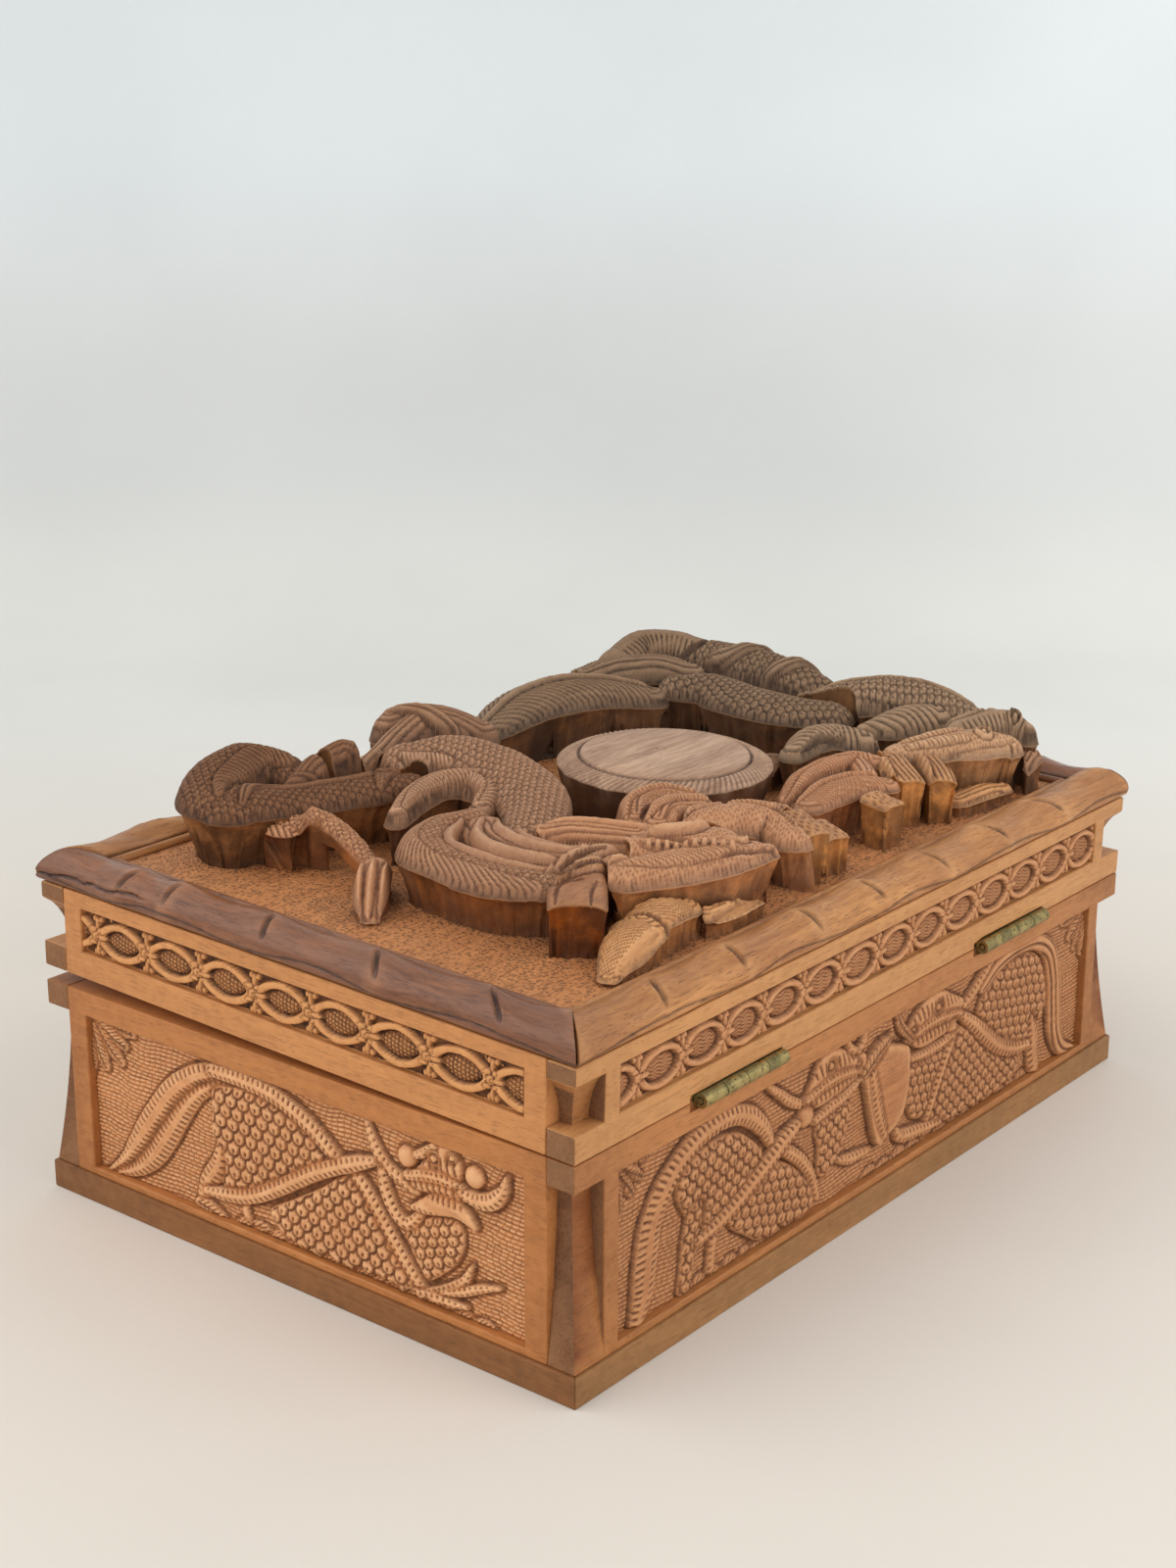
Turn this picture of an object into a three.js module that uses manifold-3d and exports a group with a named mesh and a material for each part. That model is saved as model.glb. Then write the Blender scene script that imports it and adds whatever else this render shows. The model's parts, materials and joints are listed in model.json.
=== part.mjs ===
// Carved wooden box with a hinged lid and two dragons in high relief on top.
// Millimetres, +Z up, origin at the centre of the plinth's underside.
// +X is a short end, +Y is the hinge side, -Y is the front where the lid opens.

import * as THREE from 'three';
import { mergeVertices } from 'three/addons/utils/BufferGeometryUtils.js';
import Module from 'manifold-3d';

const wasm = await Module();
wasm.setup();

// Overall sizes
const LENGTH = 278;
const DEPTH = 195.6;
const BOARD = 9;
const GAP = 0.3;
const PLINTH_H = 8.5;
const PLINTH_OUT = 1;
const PLINTH_W = 14;
const BOTTOM_T = 5;
const SEAM_Z = 65.4;
const RAIL_H = 7.6;
const LID_TOP_Z = 91;
const TOP_BOARD_T = 8;
const GROUND_Z = 95.5;
const LID_ANGLE = 1.25;

// Carved fields
const PANEL_SINK = 3.2;
const PANEL_FOOT = 2.2;
const LONG_STILE = 17.5;
const SHORT_STILE = 16.3;
const CHAIN_SINK = 2.2;
const CHAIN_Z0 = 73.4;
const CHAIN_H = 13;

// Corner mouldings
const CORNER_LONG = 11.7;
const COVE_D = 4.5;
const OVOLO_D = 5.2;
const OVOLO_H = 13.2;

// Bamboo border
const BAMBOO_W = 13;
const BEAD_W = 3;
const BAMBOO_H = 9.2;
const BAMBOO_OUT = 0.8;
const NODES_LONG = 8;
const NODES_SHORT = 5;

// Hinges
const HINGE_L = 37.5;
const HINGE_X = 70.5;
const HINGE_END = 3.4;
const AXIS_OUT = 0.8;
const KNUCKLE_R = 2.1;
const PIN_R = 0.8;
const LEAF_T = 1;
const LEAF_W = 7;
const KNUCKLES = 4;

// Round boss between the dragons
const DISC_X = -18.5;
const DISC_Y = 4;
const DISC_R = 26;
const DISC_RING = 7;
const DISC_H = 18.4;

// Relief heights above the ground
const RIM = 16.5;
const CROWN = 24;
const UNDERCUT = 3;

// The field inside the bead that the figures below are drawn for; on another field they stretch with it
const DRAWN_L = 246;
const DRAWN_D = 163.6;

const halfL = LENGTH / 2;
const halfD = DEPTH / 2;
const innerL = halfL - BOARD;
const innerD = halfD - BOARD;
const axisY = halfD + AXIS_OUT;
const baseTop = SEAM_Z - GAP / 2;
const lidBottom = SEAM_Z + GAP / 2;
const ledgeZ = SEAM_Z - RAIL_H;
const stretchX = (LENGTH - 2 * (BAMBOO_W + BEAD_W)) / DRAWN_L;
const stretchY = (DEPTH - 2 * (BAMBOO_W + BEAD_W)) / DRAWN_D;
const stretch = Math.min(stretchX, stretchY);
const blockZ = SEAM_Z + RAIL_H;

// Solid helpers

// A solid from a closed geometry, turned right side out if its faces point inward
function toManifold(geometry) {
  const bare = geometry.clone();
  bare.deleteAttribute('normal');
  bare.deleteAttribute('uv');
  const merged = mergeVertices(bare, 1e-4);
  const triVerts = new Uint32Array(merged.index.array);
  const vertProperties = new Float32Array(merged.attributes.position.array);
  const solid = new wasm.Manifold(new wasm.Mesh({ numProp: 3, vertProperties, triVerts }));
  if (solid.volume() > 0) {
    return solid;
  }
  for (let i = 0; i < triVerts.length; i += 3) {
    [triVerts[i], triVerts[i + 1]] = [triVerts[i + 1], triVerts[i]];
  }
  return new wasm.Manifold(new wasm.Mesh({ numProp: 3, vertProperties, triVerts }));
}

function toGeometry(solid) {
  const mesh = solid.getMesh();
  const geometry = new THREE.BufferGeometry();
  geometry.setAttribute('position', new THREE.BufferAttribute(new Float32Array(mesh.vertProperties), 3));
  geometry.setIndex(new THREE.BufferAttribute(new Uint32Array(mesh.triVerts), 1));
  return geometry;
}

// A box given by its two extreme corners
function box(x0, y0, z0, x1, y1, z1) {
  const geometry = new THREE.BoxGeometry(x1 - x0, y1 - y0, z1 - z0);
  geometry.translate((x0 + x1) / 2, (y0 + y1) / 2, (z0 + z1) / 2);
  return toManifold(geometry);
}

// An outline in (u, v) pushed out along w, then stood up by the given basis
function prism(outline, length, basis) {
  const shape = new THREE.Shape(outline.map(([u, v]) => new THREE.Vector2(u, v)));
  const geometry = new THREE.ExtrudeGeometry(shape, { depth: length, bevelEnabled: false });
  geometry.applyMatrix4(basis);
  return toManifold(geometry);
}

function basis(u, v, w, origin) {
  const matrix = new THREE.Matrix4();
  matrix.makeBasis(new THREE.Vector3(...u), new THREE.Vector3(...v), new THREE.Vector3(...w));
  matrix.setPosition(new THREE.Vector3(...origin));
  return matrix;
}

function union(solids) {
  return solids.reduce((sum, solid) => sum.add(solid));
}

// The biggest body of a solid, so that slivers left by a cut fall away
function mainBody(solid) {
  const bodies = solid.decompose();
  return bodies.reduce((best, body) => (body.volume() > best.volume() ? body : best));
}

// Skin over rings of points; every ring has the same number of points
function loft(rings) {
  const count = rings[0].length;
  const positions = rings.flat(2);
  const index = [];
  for (let r = 0; r + 1 < rings.length; r += 1) {
    for (let k = 0; k < count; k += 1) {
      const a = r * count + k;
      const b = r * count + ((k + 1) % count);
      index.push(a, b, a + count, b, b + count, a + count);
    }
  }
  for (let k = 1; k + 1 < count; k += 1) {
    const last = (rings.length - 1) * count;
    index.push(0, k + 1, k, last, last + k, last + k + 1);
  }
  const geometry = new THREE.BufferGeometry();
  geometry.setAttribute('position', new THREE.BufferAttribute(new Float32Array(positions), 3));
  geometry.setIndex(index);
  return toManifold(geometry);
}

// Relief helpers

// One carved stroke: stations along its middle line are [x, y, half width, crown, rim, foot],
// heights above the ground. The sides lean inward going down and the top is domed.
function stroke(stations, options = {}) {
  const { grow = 0, under = UNDERCUT, flat = false, round = [true, true] } = options;
  const full = stations.map(([x, y, half, crown = CROWN, rim = RIM, foot = 0]) => (
    [x * stretchX, y * stretchY, half * stretch, crown, Math.min(rim, crown - 0.6), foot]));
  const plan = new THREE.CatmullRomCurve3(full.map(([x, y, half]) => new THREE.Vector3(x, y, half)));
  const rise = new THREE.CatmullRomCurve3(full.map((s) => new THREE.Vector3(s[3], s[4], s[5])));
  const spans = full.length - 1;
  const length = plan.getLength();
  const ease = Math.min(0.32, full[0][2] / length);
  const tail = Math.min(0.32, full[spans][2] / length);
  const middle = 1 - ease - tail;
  const inner = Array.from({ length: 2 * spans - 1 }, (_, i) => ease + middle * (i / (2 * spans - 2)));
  const head = round[0] ? [0, ease * 0.12, ease * 0.45] : [0];
  const end = round[1] ? [1 - tail * 0.45, 1 - tail * 0.12, 1] : [1];
  const marks = spans === 1 ? [...head, 0.5, ...end] : [...head, ...inner, ...end];
  const [shoulder, lift] = flat ? [0.9, 1] : [0.72, 0.7];
  const rings = marks.map((t) => {
    const { x, y, z: half } = plan.getPoint(t);
    const { x: crown, y: rim, z: foot } = rise.getPoint(t);
    const way = plan.getTangent(t).setZ(0).normalize();
    const fromStart = round[0] ? Math.min(1, t / ease) : 1;
    const fromEnd = round[1] ? Math.min(1, (1 - t) / tail) : 1;
    const near = Math.min(fromStart, fromEnd);
    const swell = 0.22 + 0.78 * Math.sqrt(1 - (1 - near) ** 2);
    const w = half * swell + grow;
    const foots = Math.max(0.5, w - under * (0.3 + 0.7 * swell));
    const top = rim + (crown - rim) * swell;
    const across = [[-foots, foot], [-w, rim], [-w * shoulder, rim + (top - rim) * lift], [0, top],
      [w * shoulder, rim + (top - rim) * lift], [w, rim], [foots, foot]];
    return across.map(([s, h], k) => {
      const up = k === 0 || k === 6 ? h - grow : h + grow;
      return [x - way.y * s, y + way.x * s, GROUND_Z + GAP + up];
    });
  });
  return loft(rings);
}

// Base

// Curve of the hollow under the rail block at a base corner: deepest at the top
function coveOutline() {
  const steps = 10;
  const low = PLINTH_H;
  const curve = Array.from({ length: steps + 1 }, (_, i) => {
    const s = i / steps;
    return [COVE_D * (1 - s ** 1.6), ledgeZ - s * (ledgeZ - low)];
  });
  return [[-2, low], [-2, ledgeZ], ...curve];
}

// Curve of the round under the bamboo at a lid corner: deepest on the block's top
function ovoloOutline() {
  const steps = 8;
  const curve = Array.from({ length: steps + 1 }, (_, i) => {
    const s = i / steps;
    return [OVOLO_D * Math.sqrt(1 - (1 - s) ** 2) ** 1.35, blockZ + OVOLO_H * (1 - s)];
  });
  return [[-2, blockZ], [-2, blockZ + OVOLO_H], ...curve];
}

// Cuts an outline of (depth, height) into both outer faces of a long board's two ends
function cutCorners(board, side, outline) {
  let cut = board;
  for (const end of [-1, 1]) {
    const face = basis([0, -side, 0], [0, 0, 1], [-end, 0, 0], [end * (halfL + 1), side * halfD, 0]);
    const tip = basis([-end, 0, 0], [0, 0, 1], [0, -side, 0], [end * halfL, side * (halfD + 1), 0]);
    cut = cut.subtract(prism(outline, CORNER_LONG + 1, face));
    cut = cut.subtract(prism(outline, BOARD + 2, tip));
  }
  return cut;
}

// The notch that lets a hinge barrel into both rails
function hingeNotches() {
  return union([-1, 1].map((side) => {
    const x0 = side * HINGE_X - HINGE_L / 2 - GAP;
    const x1 = side * HINGE_X + HINGE_L / 2 + HINGE_END;
    const reach = KNUCKLE_R + GAP;
    return box(x0, axisY - reach, SEAM_Z - reach, x1, axisY + 5, SEAM_Z + reach);
  }));
}

// The shallow beds for the hinge leaves
function leafBeds() {
  return union([-1, 1].map((side) => {
    const x0 = side * HINGE_X - HINGE_L / 2 - GAP;
    const x1 = side * HINGE_X + HINGE_L / 2 + GAP;
    const deep = LEAF_T + GAP;
    return box(x0, axisY - KNUCKLE_R - LEAF_W, SEAM_Z - deep, x1, axisY, SEAM_Z + deep);
  }));
}

function longWall(side) {
  const [y0, y1] = side > 0 ? [innerD, halfD] : [-halfD, -innerD];
  let wall = box(-halfL, y0, PLINTH_H, halfL, y1, baseTop);
  const field = halfL - LONG_STILE;
  const face = side * (halfD - PANEL_SINK);
  const reach = side * (halfD + 1);
  const low = PLINTH_H + PANEL_FOOT;
  wall = wall.subtract(box(-field, Math.min(face, reach), low, field, Math.max(face, reach), ledgeZ));
  wall = cutCorners(wall, side, coveOutline());
  return side > 0 ? wall.subtract(hingeNotches()).subtract(leafBeds()) : wall;
}

function shortWall(side) {
  const [x0, x1] = side > 0 ? [innerL, halfL] : [-halfL, -innerL];
  const wall = box(x0, -innerD, PLINTH_H, x1, innerD, baseTop);
  const field = halfD - SHORT_STILE;
  const face = side * (halfL - PANEL_SINK);
  const reach = side * (halfL + 1);
  const low = PLINTH_H + PANEL_FOOT;
  return wall.subtract(box(Math.min(face, reach), -field, low, Math.max(face, reach), field, ledgeZ));
}

// Plinth strips, mitred at the corners
function plinthStrip(long, side) {
  const outX = halfL + PLINTH_OUT;
  const outY = halfD + PLINTH_OUT;
  const far = long ? outX : outY;
  const near = far - PLINTH_W;
  const edge = long ? outY : outX;
  const outline = [[-far, edge], [-near, edge - PLINTH_W], [near, edge - PLINTH_W], [far, edge]];
  const matrix = long
    ? basis([side, 0, 0], [0, side, 0], [0, 0, 1], [0, 0, 0])
    : basis([0, -side, 0], [side, 0, 0], [0, 0, 1], [0, 0, 0]);
  return prism(outline, PLINTH_H, matrix);
}

function bottomBoard() {
  return box(-innerL, -innerD, PLINTH_H, innerL, innerD, PLINTH_H + BOTTOM_T);
}

// Lid frame

function lidLongBoard(side) {
  const [y0, y1] = side > 0 ? [innerD, halfD] : [-halfD, -innerD];
  let board = box(-halfL, y0, lidBottom, halfL, y1, LID_TOP_Z);
  const field = halfL - LONG_STILE;
  const face = side * (halfD - CHAIN_SINK);
  const reach = side * (halfD + 1);
  const top = CHAIN_Z0 + CHAIN_H;
  board = board.subtract(box(-field, Math.min(face, reach), CHAIN_Z0, field, Math.max(face, reach), top));
  board = cutCorners(board, side, ovoloOutline());
  return side > 0 ? board.subtract(hingeNotches()).subtract(leafBeds()) : board;
}

function lidShortBoard(side) {
  const end = innerD - GAP;
  const [x0, x1] = side > 0 ? [innerL, halfL] : [-halfL, -innerL];
  const board = box(x0, -end, lidBottom, x1, end, LID_TOP_Z);
  const field = halfD - SHORT_STILE;
  const face = side * (halfL - CHAIN_SINK);
  const reach = side * (halfL + 1);
  const top = CHAIN_Z0 + CHAIN_H;
  return board.subtract(box(Math.min(face, reach), -field, CHAIN_Z0, Math.max(face, reach), field, top));
}

function topBoard() {
  const x = innerL - GAP;
  const y = innerD - GAP;
  return box(-x, -y, GROUND_Z - TOP_BOARD_T, x, y, GROUND_Z);
}

// Bamboo moulding and the bead inside it: [inset from the face, height, how much it swells]
function bambooSection() {
  const z = LID_TOP_Z + GAP;
  const lip = GROUND_Z + GAP;
  const top = LID_TOP_Z + BAMBOO_H;
  const inner = BAMBOO_W + BEAD_W;
  return [[0.2, z, 0], [-BAMBOO_OUT, z + 1.4, 0.8], [-0.3, z + 4, 1], [2, top - 2.2, 1],
    [5.4, top - 0.3, 1], [8.6, top, 1], [11.2, top - 1.6, 0.7], [BAMBOO_W, lip + 1, 0],
    [BAMBOO_W + 0.9, lip + 1.6, 0], [inner - 0.4, lip + 1.2, 0], [inner, lip, 0],
    [BOARD + 0.1, lip, 0], [BOARD + 0.1, z, 0]];
}

function bambooStrip(long, side) {
  const half = (long ? halfL : halfD) - GAP / 2;
  const face = long ? halfD : halfL;
  const nodes = long ? NODES_LONG : NODES_SHORT;
  const steps = nodes * 4;
  const rings = Array.from({ length: steps + 1 }, (_, i) => {
    const u = (2 * i) / steps - 1;
    const bulge = Math.cos(((i % 4) / 4) * 2 * Math.PI) * 0.5;
    const ends = Math.abs(u) > 0.999 ? 0 : bulge;
    return bambooSection().map(([inset, z, swell]) => {
      const along = (half - inset) * u;
      const out = face - inset + (inset < 3 ? ends * swell * 0.6 : 0);
      const up = z + (inset > 1 ? ends * swell * 0.9 : 0);
      return long ? [side * along, side * out, up] : [side * out, -side * along, up];
    });
  });
  return loft(rings);
}

// Hinges

function barrel(x0, x1, outer, inner) {
  const points = inner > 0
    ? [[inner, x0], [outer, x0], [outer, x1], [inner, x1], [inner, x0]]
    : [[0, x0], [outer, x0], [outer, x1], [0, x1]];
  const geometry = new THREE.LatheGeometry(points.map(([r, y]) => new THREE.Vector2(r, y)), 16);
  geometry.applyMatrix4(basis([0, 1, 0], [1, 0, 0], [0, 0, -1], [0, axisY, SEAM_Z]));
  return toManifold(geometry);
}

// One leaf with every second knuckle; level 0 is the base's leaf and 1 the lid's
function hingeLeaf(side, level) {
  const start = side * HINGE_X - HINGE_L / 2;
  const pitch = HINGE_L / KNUCKLES;
  const z0 = level ? SEAM_Z + GAP / 2 : SEAM_Z - GAP / 2 - LEAF_T;
  const back = axisY - KNUCKLE_R - LEAF_W + GAP;
  let leaf = box(start, back, z0, start + HINGE_L, axisY - PIN_R - GAP - 0.2, z0 + LEAF_T);
  for (let k = 0; k < KNUCKLES; k += 1) {
    const x0 = start + k * pitch + GAP / 2;
    const x1 = start + (k + 1) * pitch - GAP / 2;
    if (k % 2 === level) {
      leaf = leaf.add(barrel(x0, x1, KNUCKLE_R, PIN_R + GAP));
    } else {
      const clear = KNUCKLE_R + GAP;
      leaf = leaf.subtract(box(x0 - GAP, axisY - clear, SEAM_Z - 3, x1 + GAP, axisY + 3, SEAM_Z + 3));
    }
  }
  return mainBody(leaf);
}

function hingePin(side) {
  return barrel(side * HINGE_X - HINGE_L / 2, side * HINGE_X + HINGE_L / 2, PIN_R, 0);
}

// The boss: flat face, groove, sloping ring and sides that lean inward going down
function disc(grow) {
  const face = DISC_R * stretch;
  const ring = face + DISC_RING * stretch;
  const low = GROUND_Z + GAP - grow;
  const high = low + DISC_H + 2 * grow;
  const profile = [[0, low], [ring - 4 + grow, low], [ring + grow, high - 3.4], [ring - 0.8, high - 2.6],
    [face + 0.9, high - 0.7], [face + 0.3, high - 1.2], [face - 0.4, high], [0, high]];
  const geometry = new THREE.LatheGeometry(profile.map(([r, z]) => new THREE.Vector2(r, z)), 40);
  geometry.applyMatrix4(basis([1, 0, 0], [0, 0, 1], [0, -1, 0], [DISC_X * stretchX, DISC_Y * stretchY, 0]));
  return toManifold(geometry);
}

// The carving on the lid, figure by figure. Each entry is a name, a colour key and its strokes;
// where two figures meet, the later one is cut back to leave a fine gap. A stroke that starts at 11
// above the ground is a ridge raised on the back of its own figure.
const RELIEF = [
  ['near_tail_coil', 'brown', [
    { at: [[74, -60, 7, 23, 16], [75, -68, 9, 26, 18], [83, -73, 9.5, 28.5, 19], [94, -72, 10, 27.5, 19],
      [103, -65, 10.5, 24, 17], [104, -57, 9.5, 21.5, 16]], under: 6 },
    { at: [[104, -62, 9.5, 23, 17], [97, -55, 9.5, 22, 16], [86, -50, 8, 20.5, 15], [73, -46, 8, 20, 14.5],
      [61, -42, 8, 20, 14.5], [50, -38, 6.5, 19, 14]], under: 5 },
    { at: [[106, -59, 1.4, 23.2, 22.1, 11], [101, -63.5, 2.2, 24.5, 23.4, 11],
      [94, -65.6, 2.8, 25.6, 24.5, 11], [86, -67.6, 2.9, 26.9, 25.8, 11], [79, -67.4, 2.7, 27, 25.9, 11],
      [75, -62.5, 1.8, 24.7, 23.6, 11]], under: 0.2 },
    { at: [[99, -55.5, 1.6, 23.2, 22, 11], [87, -54.3, 3, 20.9, 19.7, 11], [75, -50.4, 3.2, 20.2, 19, 11],
      [63, -46.5, 3, 20.2, 19, 11], [53, -42, 1.8, 19.8, 18.6, 11]], under: 0.2 },
  ]],
  ['near_front_leg', 'red', [
    { at: [[91, -56, 6.5, 20.5, 17], [95, -48, 6.5, 19.5, 16.5], [98, -39, 3, 16, 14]] },
    { at: [[105, -56, 1, 18, 17.4], [103, -48, 1, 12, 11.4],
      [101, -40, 1, 4, 3.4]], flat: true, under: 0.2 },
    { at: [[93, -46, 4.4, 20, 16], [89, -33, 4.4, 18, 14]] },
    { at: [[88, -39, 4, 18, 15, 9], [89, -27, 3.8, 15, 12, 8], [92, -15, 3, 11, 8, 2],
      [95, -8, 2.2, 6, 4, 0.2]],
      under: 1 },
  ]],
  ['near_fin', 'brown', [
    { at: [[82, -56, 1.6, 21, 16], [74, -57.5, 4.4, 24.5, 17], [65, -58.5, 5.2, 26.5, 17],
      [58, -58.5, 4.2, 26, 17], [54, -58, 1.4, 24.5, 17]] },
  ]],
  ['ground_claw', 'red', [
    { at: [[96, -9, 4.5, 12, 9], [102, -4, 5, 11, 8], [108, 1, 4, 6, 4], [111, 4, 2.6, 3, 2]], under: 1 },
  ]],
  ['near_arch', 'brown', [
    { at: [[41, -48, 8, 24, 17], [33, -38, 11.5, 26.5, 18], [30, -22, 12, 26, 17], [35, -6, 12, 23.5, 16.5],
      [46, 7, 10, 21, 15], [58, 14, 8, 19, 14]] },
    { at: [[73, -22, 3.5, 18, 13], [61, -27, 4.5, 20.5, 14], [49, -28, 5, 21.5, 15],
      [40, -22, 5, 22, 15]] },
    { at: [[42, -20, 5, 21, 15], [44, -12, 4.5, 20.5, 15], [53, -8, 4, 18, 14]] },
    { at: [[70, -21.6, 1, 18.6, 17.6, 11], [61, -25, 1.6, 20.3, 19.3, 11], [50, -25.8, 2, 21.2, 20.2, 11],
      [43.5, -21, 2, 21.2, 20.2, 11]], under: 0.2 },
  ]],
  ['stalk_leaf', 'brown', [
    { at: [[56, -54, 3, 20, 15], [44, -58, 4, 21.5, 15], [32, -62, 4.5, 23, 16], [21, -64, 6, 26, 17]] },
    { at: [[25, -70, 6, 26, 18], [15, -66, 8, 27.5, 18], [7, -59, 8, 25.5, 17], [2, -51, 5, 22, 16]] },
    { at: [[24, -75, 1.2, 22.3, 21, 11], [21.5, -69, 2.2, 27.7, 26.4, 11], [16, -62, 2.4, 26.9, 25.6, 11],
      [12, -54, 1.5, 20.6, 19.3, 11]], under: 0.2 },
  ]],
  ['near_sweep', 'red', [
    { at: [[62, -3, 6, 19, 14], [76, -3, 8, 19.5, 14], [88, 4, 9, 19, 13.5], [91, 17, 9, 18.5, 13.5],
      [91, 31, 9, 18, 13], [86, 43, 8, 17.5, 13]] },
    { at: [[66, 6, 9, 19, 14], [74, 20, 10, 19.5, 14], [74, 36, 10, 19, 14], [66, 46, 8, 19, 14]] },
    { at: [[70, 0, 1, 19.7, 18.2, 11], [81, 6, 2.2, 18.3, 16.8, 11], [85.6, 17, 2.6, 18.5, 17, 11],
      [85.6, 30, 2.4, 17.9, 16.4, 11], [82, 42, 1.4, 17.9, 16.4, 11]], under: 0.2 },
    { at: [[66, 4, 1, 20.1, 18.6, 11], [75, 10, 2, 19.4, 17.9, 11], [79.6, 20, 2.3, 19.6, 18.1, 11],
      [79.4, 32, 2.2, 19.7, 18.2, 11], [76, 43, 1.2, 19.1, 17.6, 11]], under: 0.2 },
    { at: [[63, 8, 1, 19.6, 18.2, 11], [70, 14, 1.9, 20.5, 19.1, 11], [73.8, 23, 2.1, 20.6, 19.2, 11],
      [73.4, 34, 2, 20.2, 18.8, 11], [70, 44, 1.2, 20.1, 18.7, 11]], under: 0.2 },
  ]],
  ['near_shoulder', 'red', [
    { at: [[63, 20, 3.6, 20, 15], [56, 31, 6.4, 21.5, 15], [49, 45, 7, 21, 15]] },
    { at: [[60, 21, 1, 20.6, 19.2, 11], [53, 32, 1.8, 22.2, 20.8, 11],
      [46, 45, 2, 21.4, 20, 11]], under: 0.2 },
  ]],
  ['near_crest', 'dark', [
    { at: [[95, 62, 7.8, 16, 15.4], [84, 53, 7.8, 18.5, 16.5], [73, 45, 7, 20, 16.5]], flat: true,
      round: [false, true], under: 1 },
    { at: [[90, 51, 1.8, 18.8, 17.2, 11], [80, 45.5, 2.4, 20.3, 18.7, 11],
      [74, 42.5, 1.8, 21, 19.4, 11]], under: 0.2 },
  ]],
  ['near_head', 'red', [
    { at: [[71, 58, 8, 20, 15], [58, 64, 9, 20.5, 15], [45, 69, 9, 21, 15.5],
      [34, 72, 6.4, 19.5, 15], [27.5, 74, 3.6, 17.5, 14.5]], under: 4 },
    { at: [[62, 48, 8, 21, 15], [46, 55, 10, 21.5, 15.5], [33, 60, 9, 20, 15]], under: 4 },
    { at: [[70, 48.5, 1.4, 16.5, 14.8, 11], [60, 50, 2.8, 22.5, 20.8, 11], [50, 53.6, 2.6, 23, 21.3, 11],
      [41, 55, 1.4, 22.5, 20.8, 11]], under: 0.2 },
    { at: [[60, 59.5, 1, 21.2, 19.6, 11], [51, 61.6, 1.7, 21, 19.4, 11], [42, 63.4, 1.6, 20.5, 18.9, 11],
      [36, 63.6, 1, 20.7, 19.1, 11]], under: 0.2 },
    { at: [[38, 67.8, 2.6, 20.8, 19.6, 11], [36, 67.8, 2.6, 20.2, 19, 11]], under: 0.2 },
  ]],
  ['near_mane', 'red', [
    { at: [[33, 33, 5, 19, 14], [25, 28, 6.5, 21, 14.5], [15, 29, 6.5, 21, 14.5], [8, 36, 5, 19, 14]] },
    { at: [[35, 42, 6, 20, 15], [25, 38, 7, 21.5, 15], [14, 40, 6, 20, 15]] },
    { at: [[36, 31, 1.2, 18.2, 16.7, 11], [29, 25.6, 2.3, 20.2, 18.7, 11], [20, 24.6, 2.6, 21.4, 19.9, 11],
      [11, 28.4, 2, 21, 19.5, 11]], under: 0.2 },
    { at: [[36, 39, 1.2, 20.2, 18.8, 11], [28, 36.8, 2, 22.2, 20.8, 11], [20, 37.4, 2, 22.1, 20.7, 11],
      [12, 41, 1.2, 20.7, 19.3, 11]], under: 0.2 },
  ]],
  ['near_cheek', 'red', [
    { at: [[24, 49, 8.5, 21, 15], [14, 54, 9.5, 21, 15], [7, 62, 9, 20, 14.5],
      [11, 71, 7, 18, 13]], under: 4 },
    { at: [[9, 47.6, 1, 18.5, 17.1, 11], [2.6, 54, 1.8, 18.5, 17.1, 11], [0.6, 62, 2, 19, 17.6, 11],
      [4, 70, 1.4, 18.1, 16.7, 11]], under: 0.2 },
  ]],
  ['beard_slab_a', 'ochre', [
    { at: [[3, 64, 5.5, 18, 17], [9, 77, 4, 16, 15]], flat: true, round: [false, false], under: 0.8 },
  ]],
  ['beard_slab_b', 'ochre', [
    { at: [[-7, 66, 4.6, 14, 13],
      [-4, 77, 4.6, 12.5, 11.5]], flat: true, round: [false, false], under: 0.8 },
  ]],
  ['leaf_pair', 'ochre', [
    { at: [[102, 78, 3, 3, 2], [93, 75, 6.2, 8.5, 5], [84, 72.5, 8, 10.5, 7], [78, 71.5, 6.5, 9, 6.5]],
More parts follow.
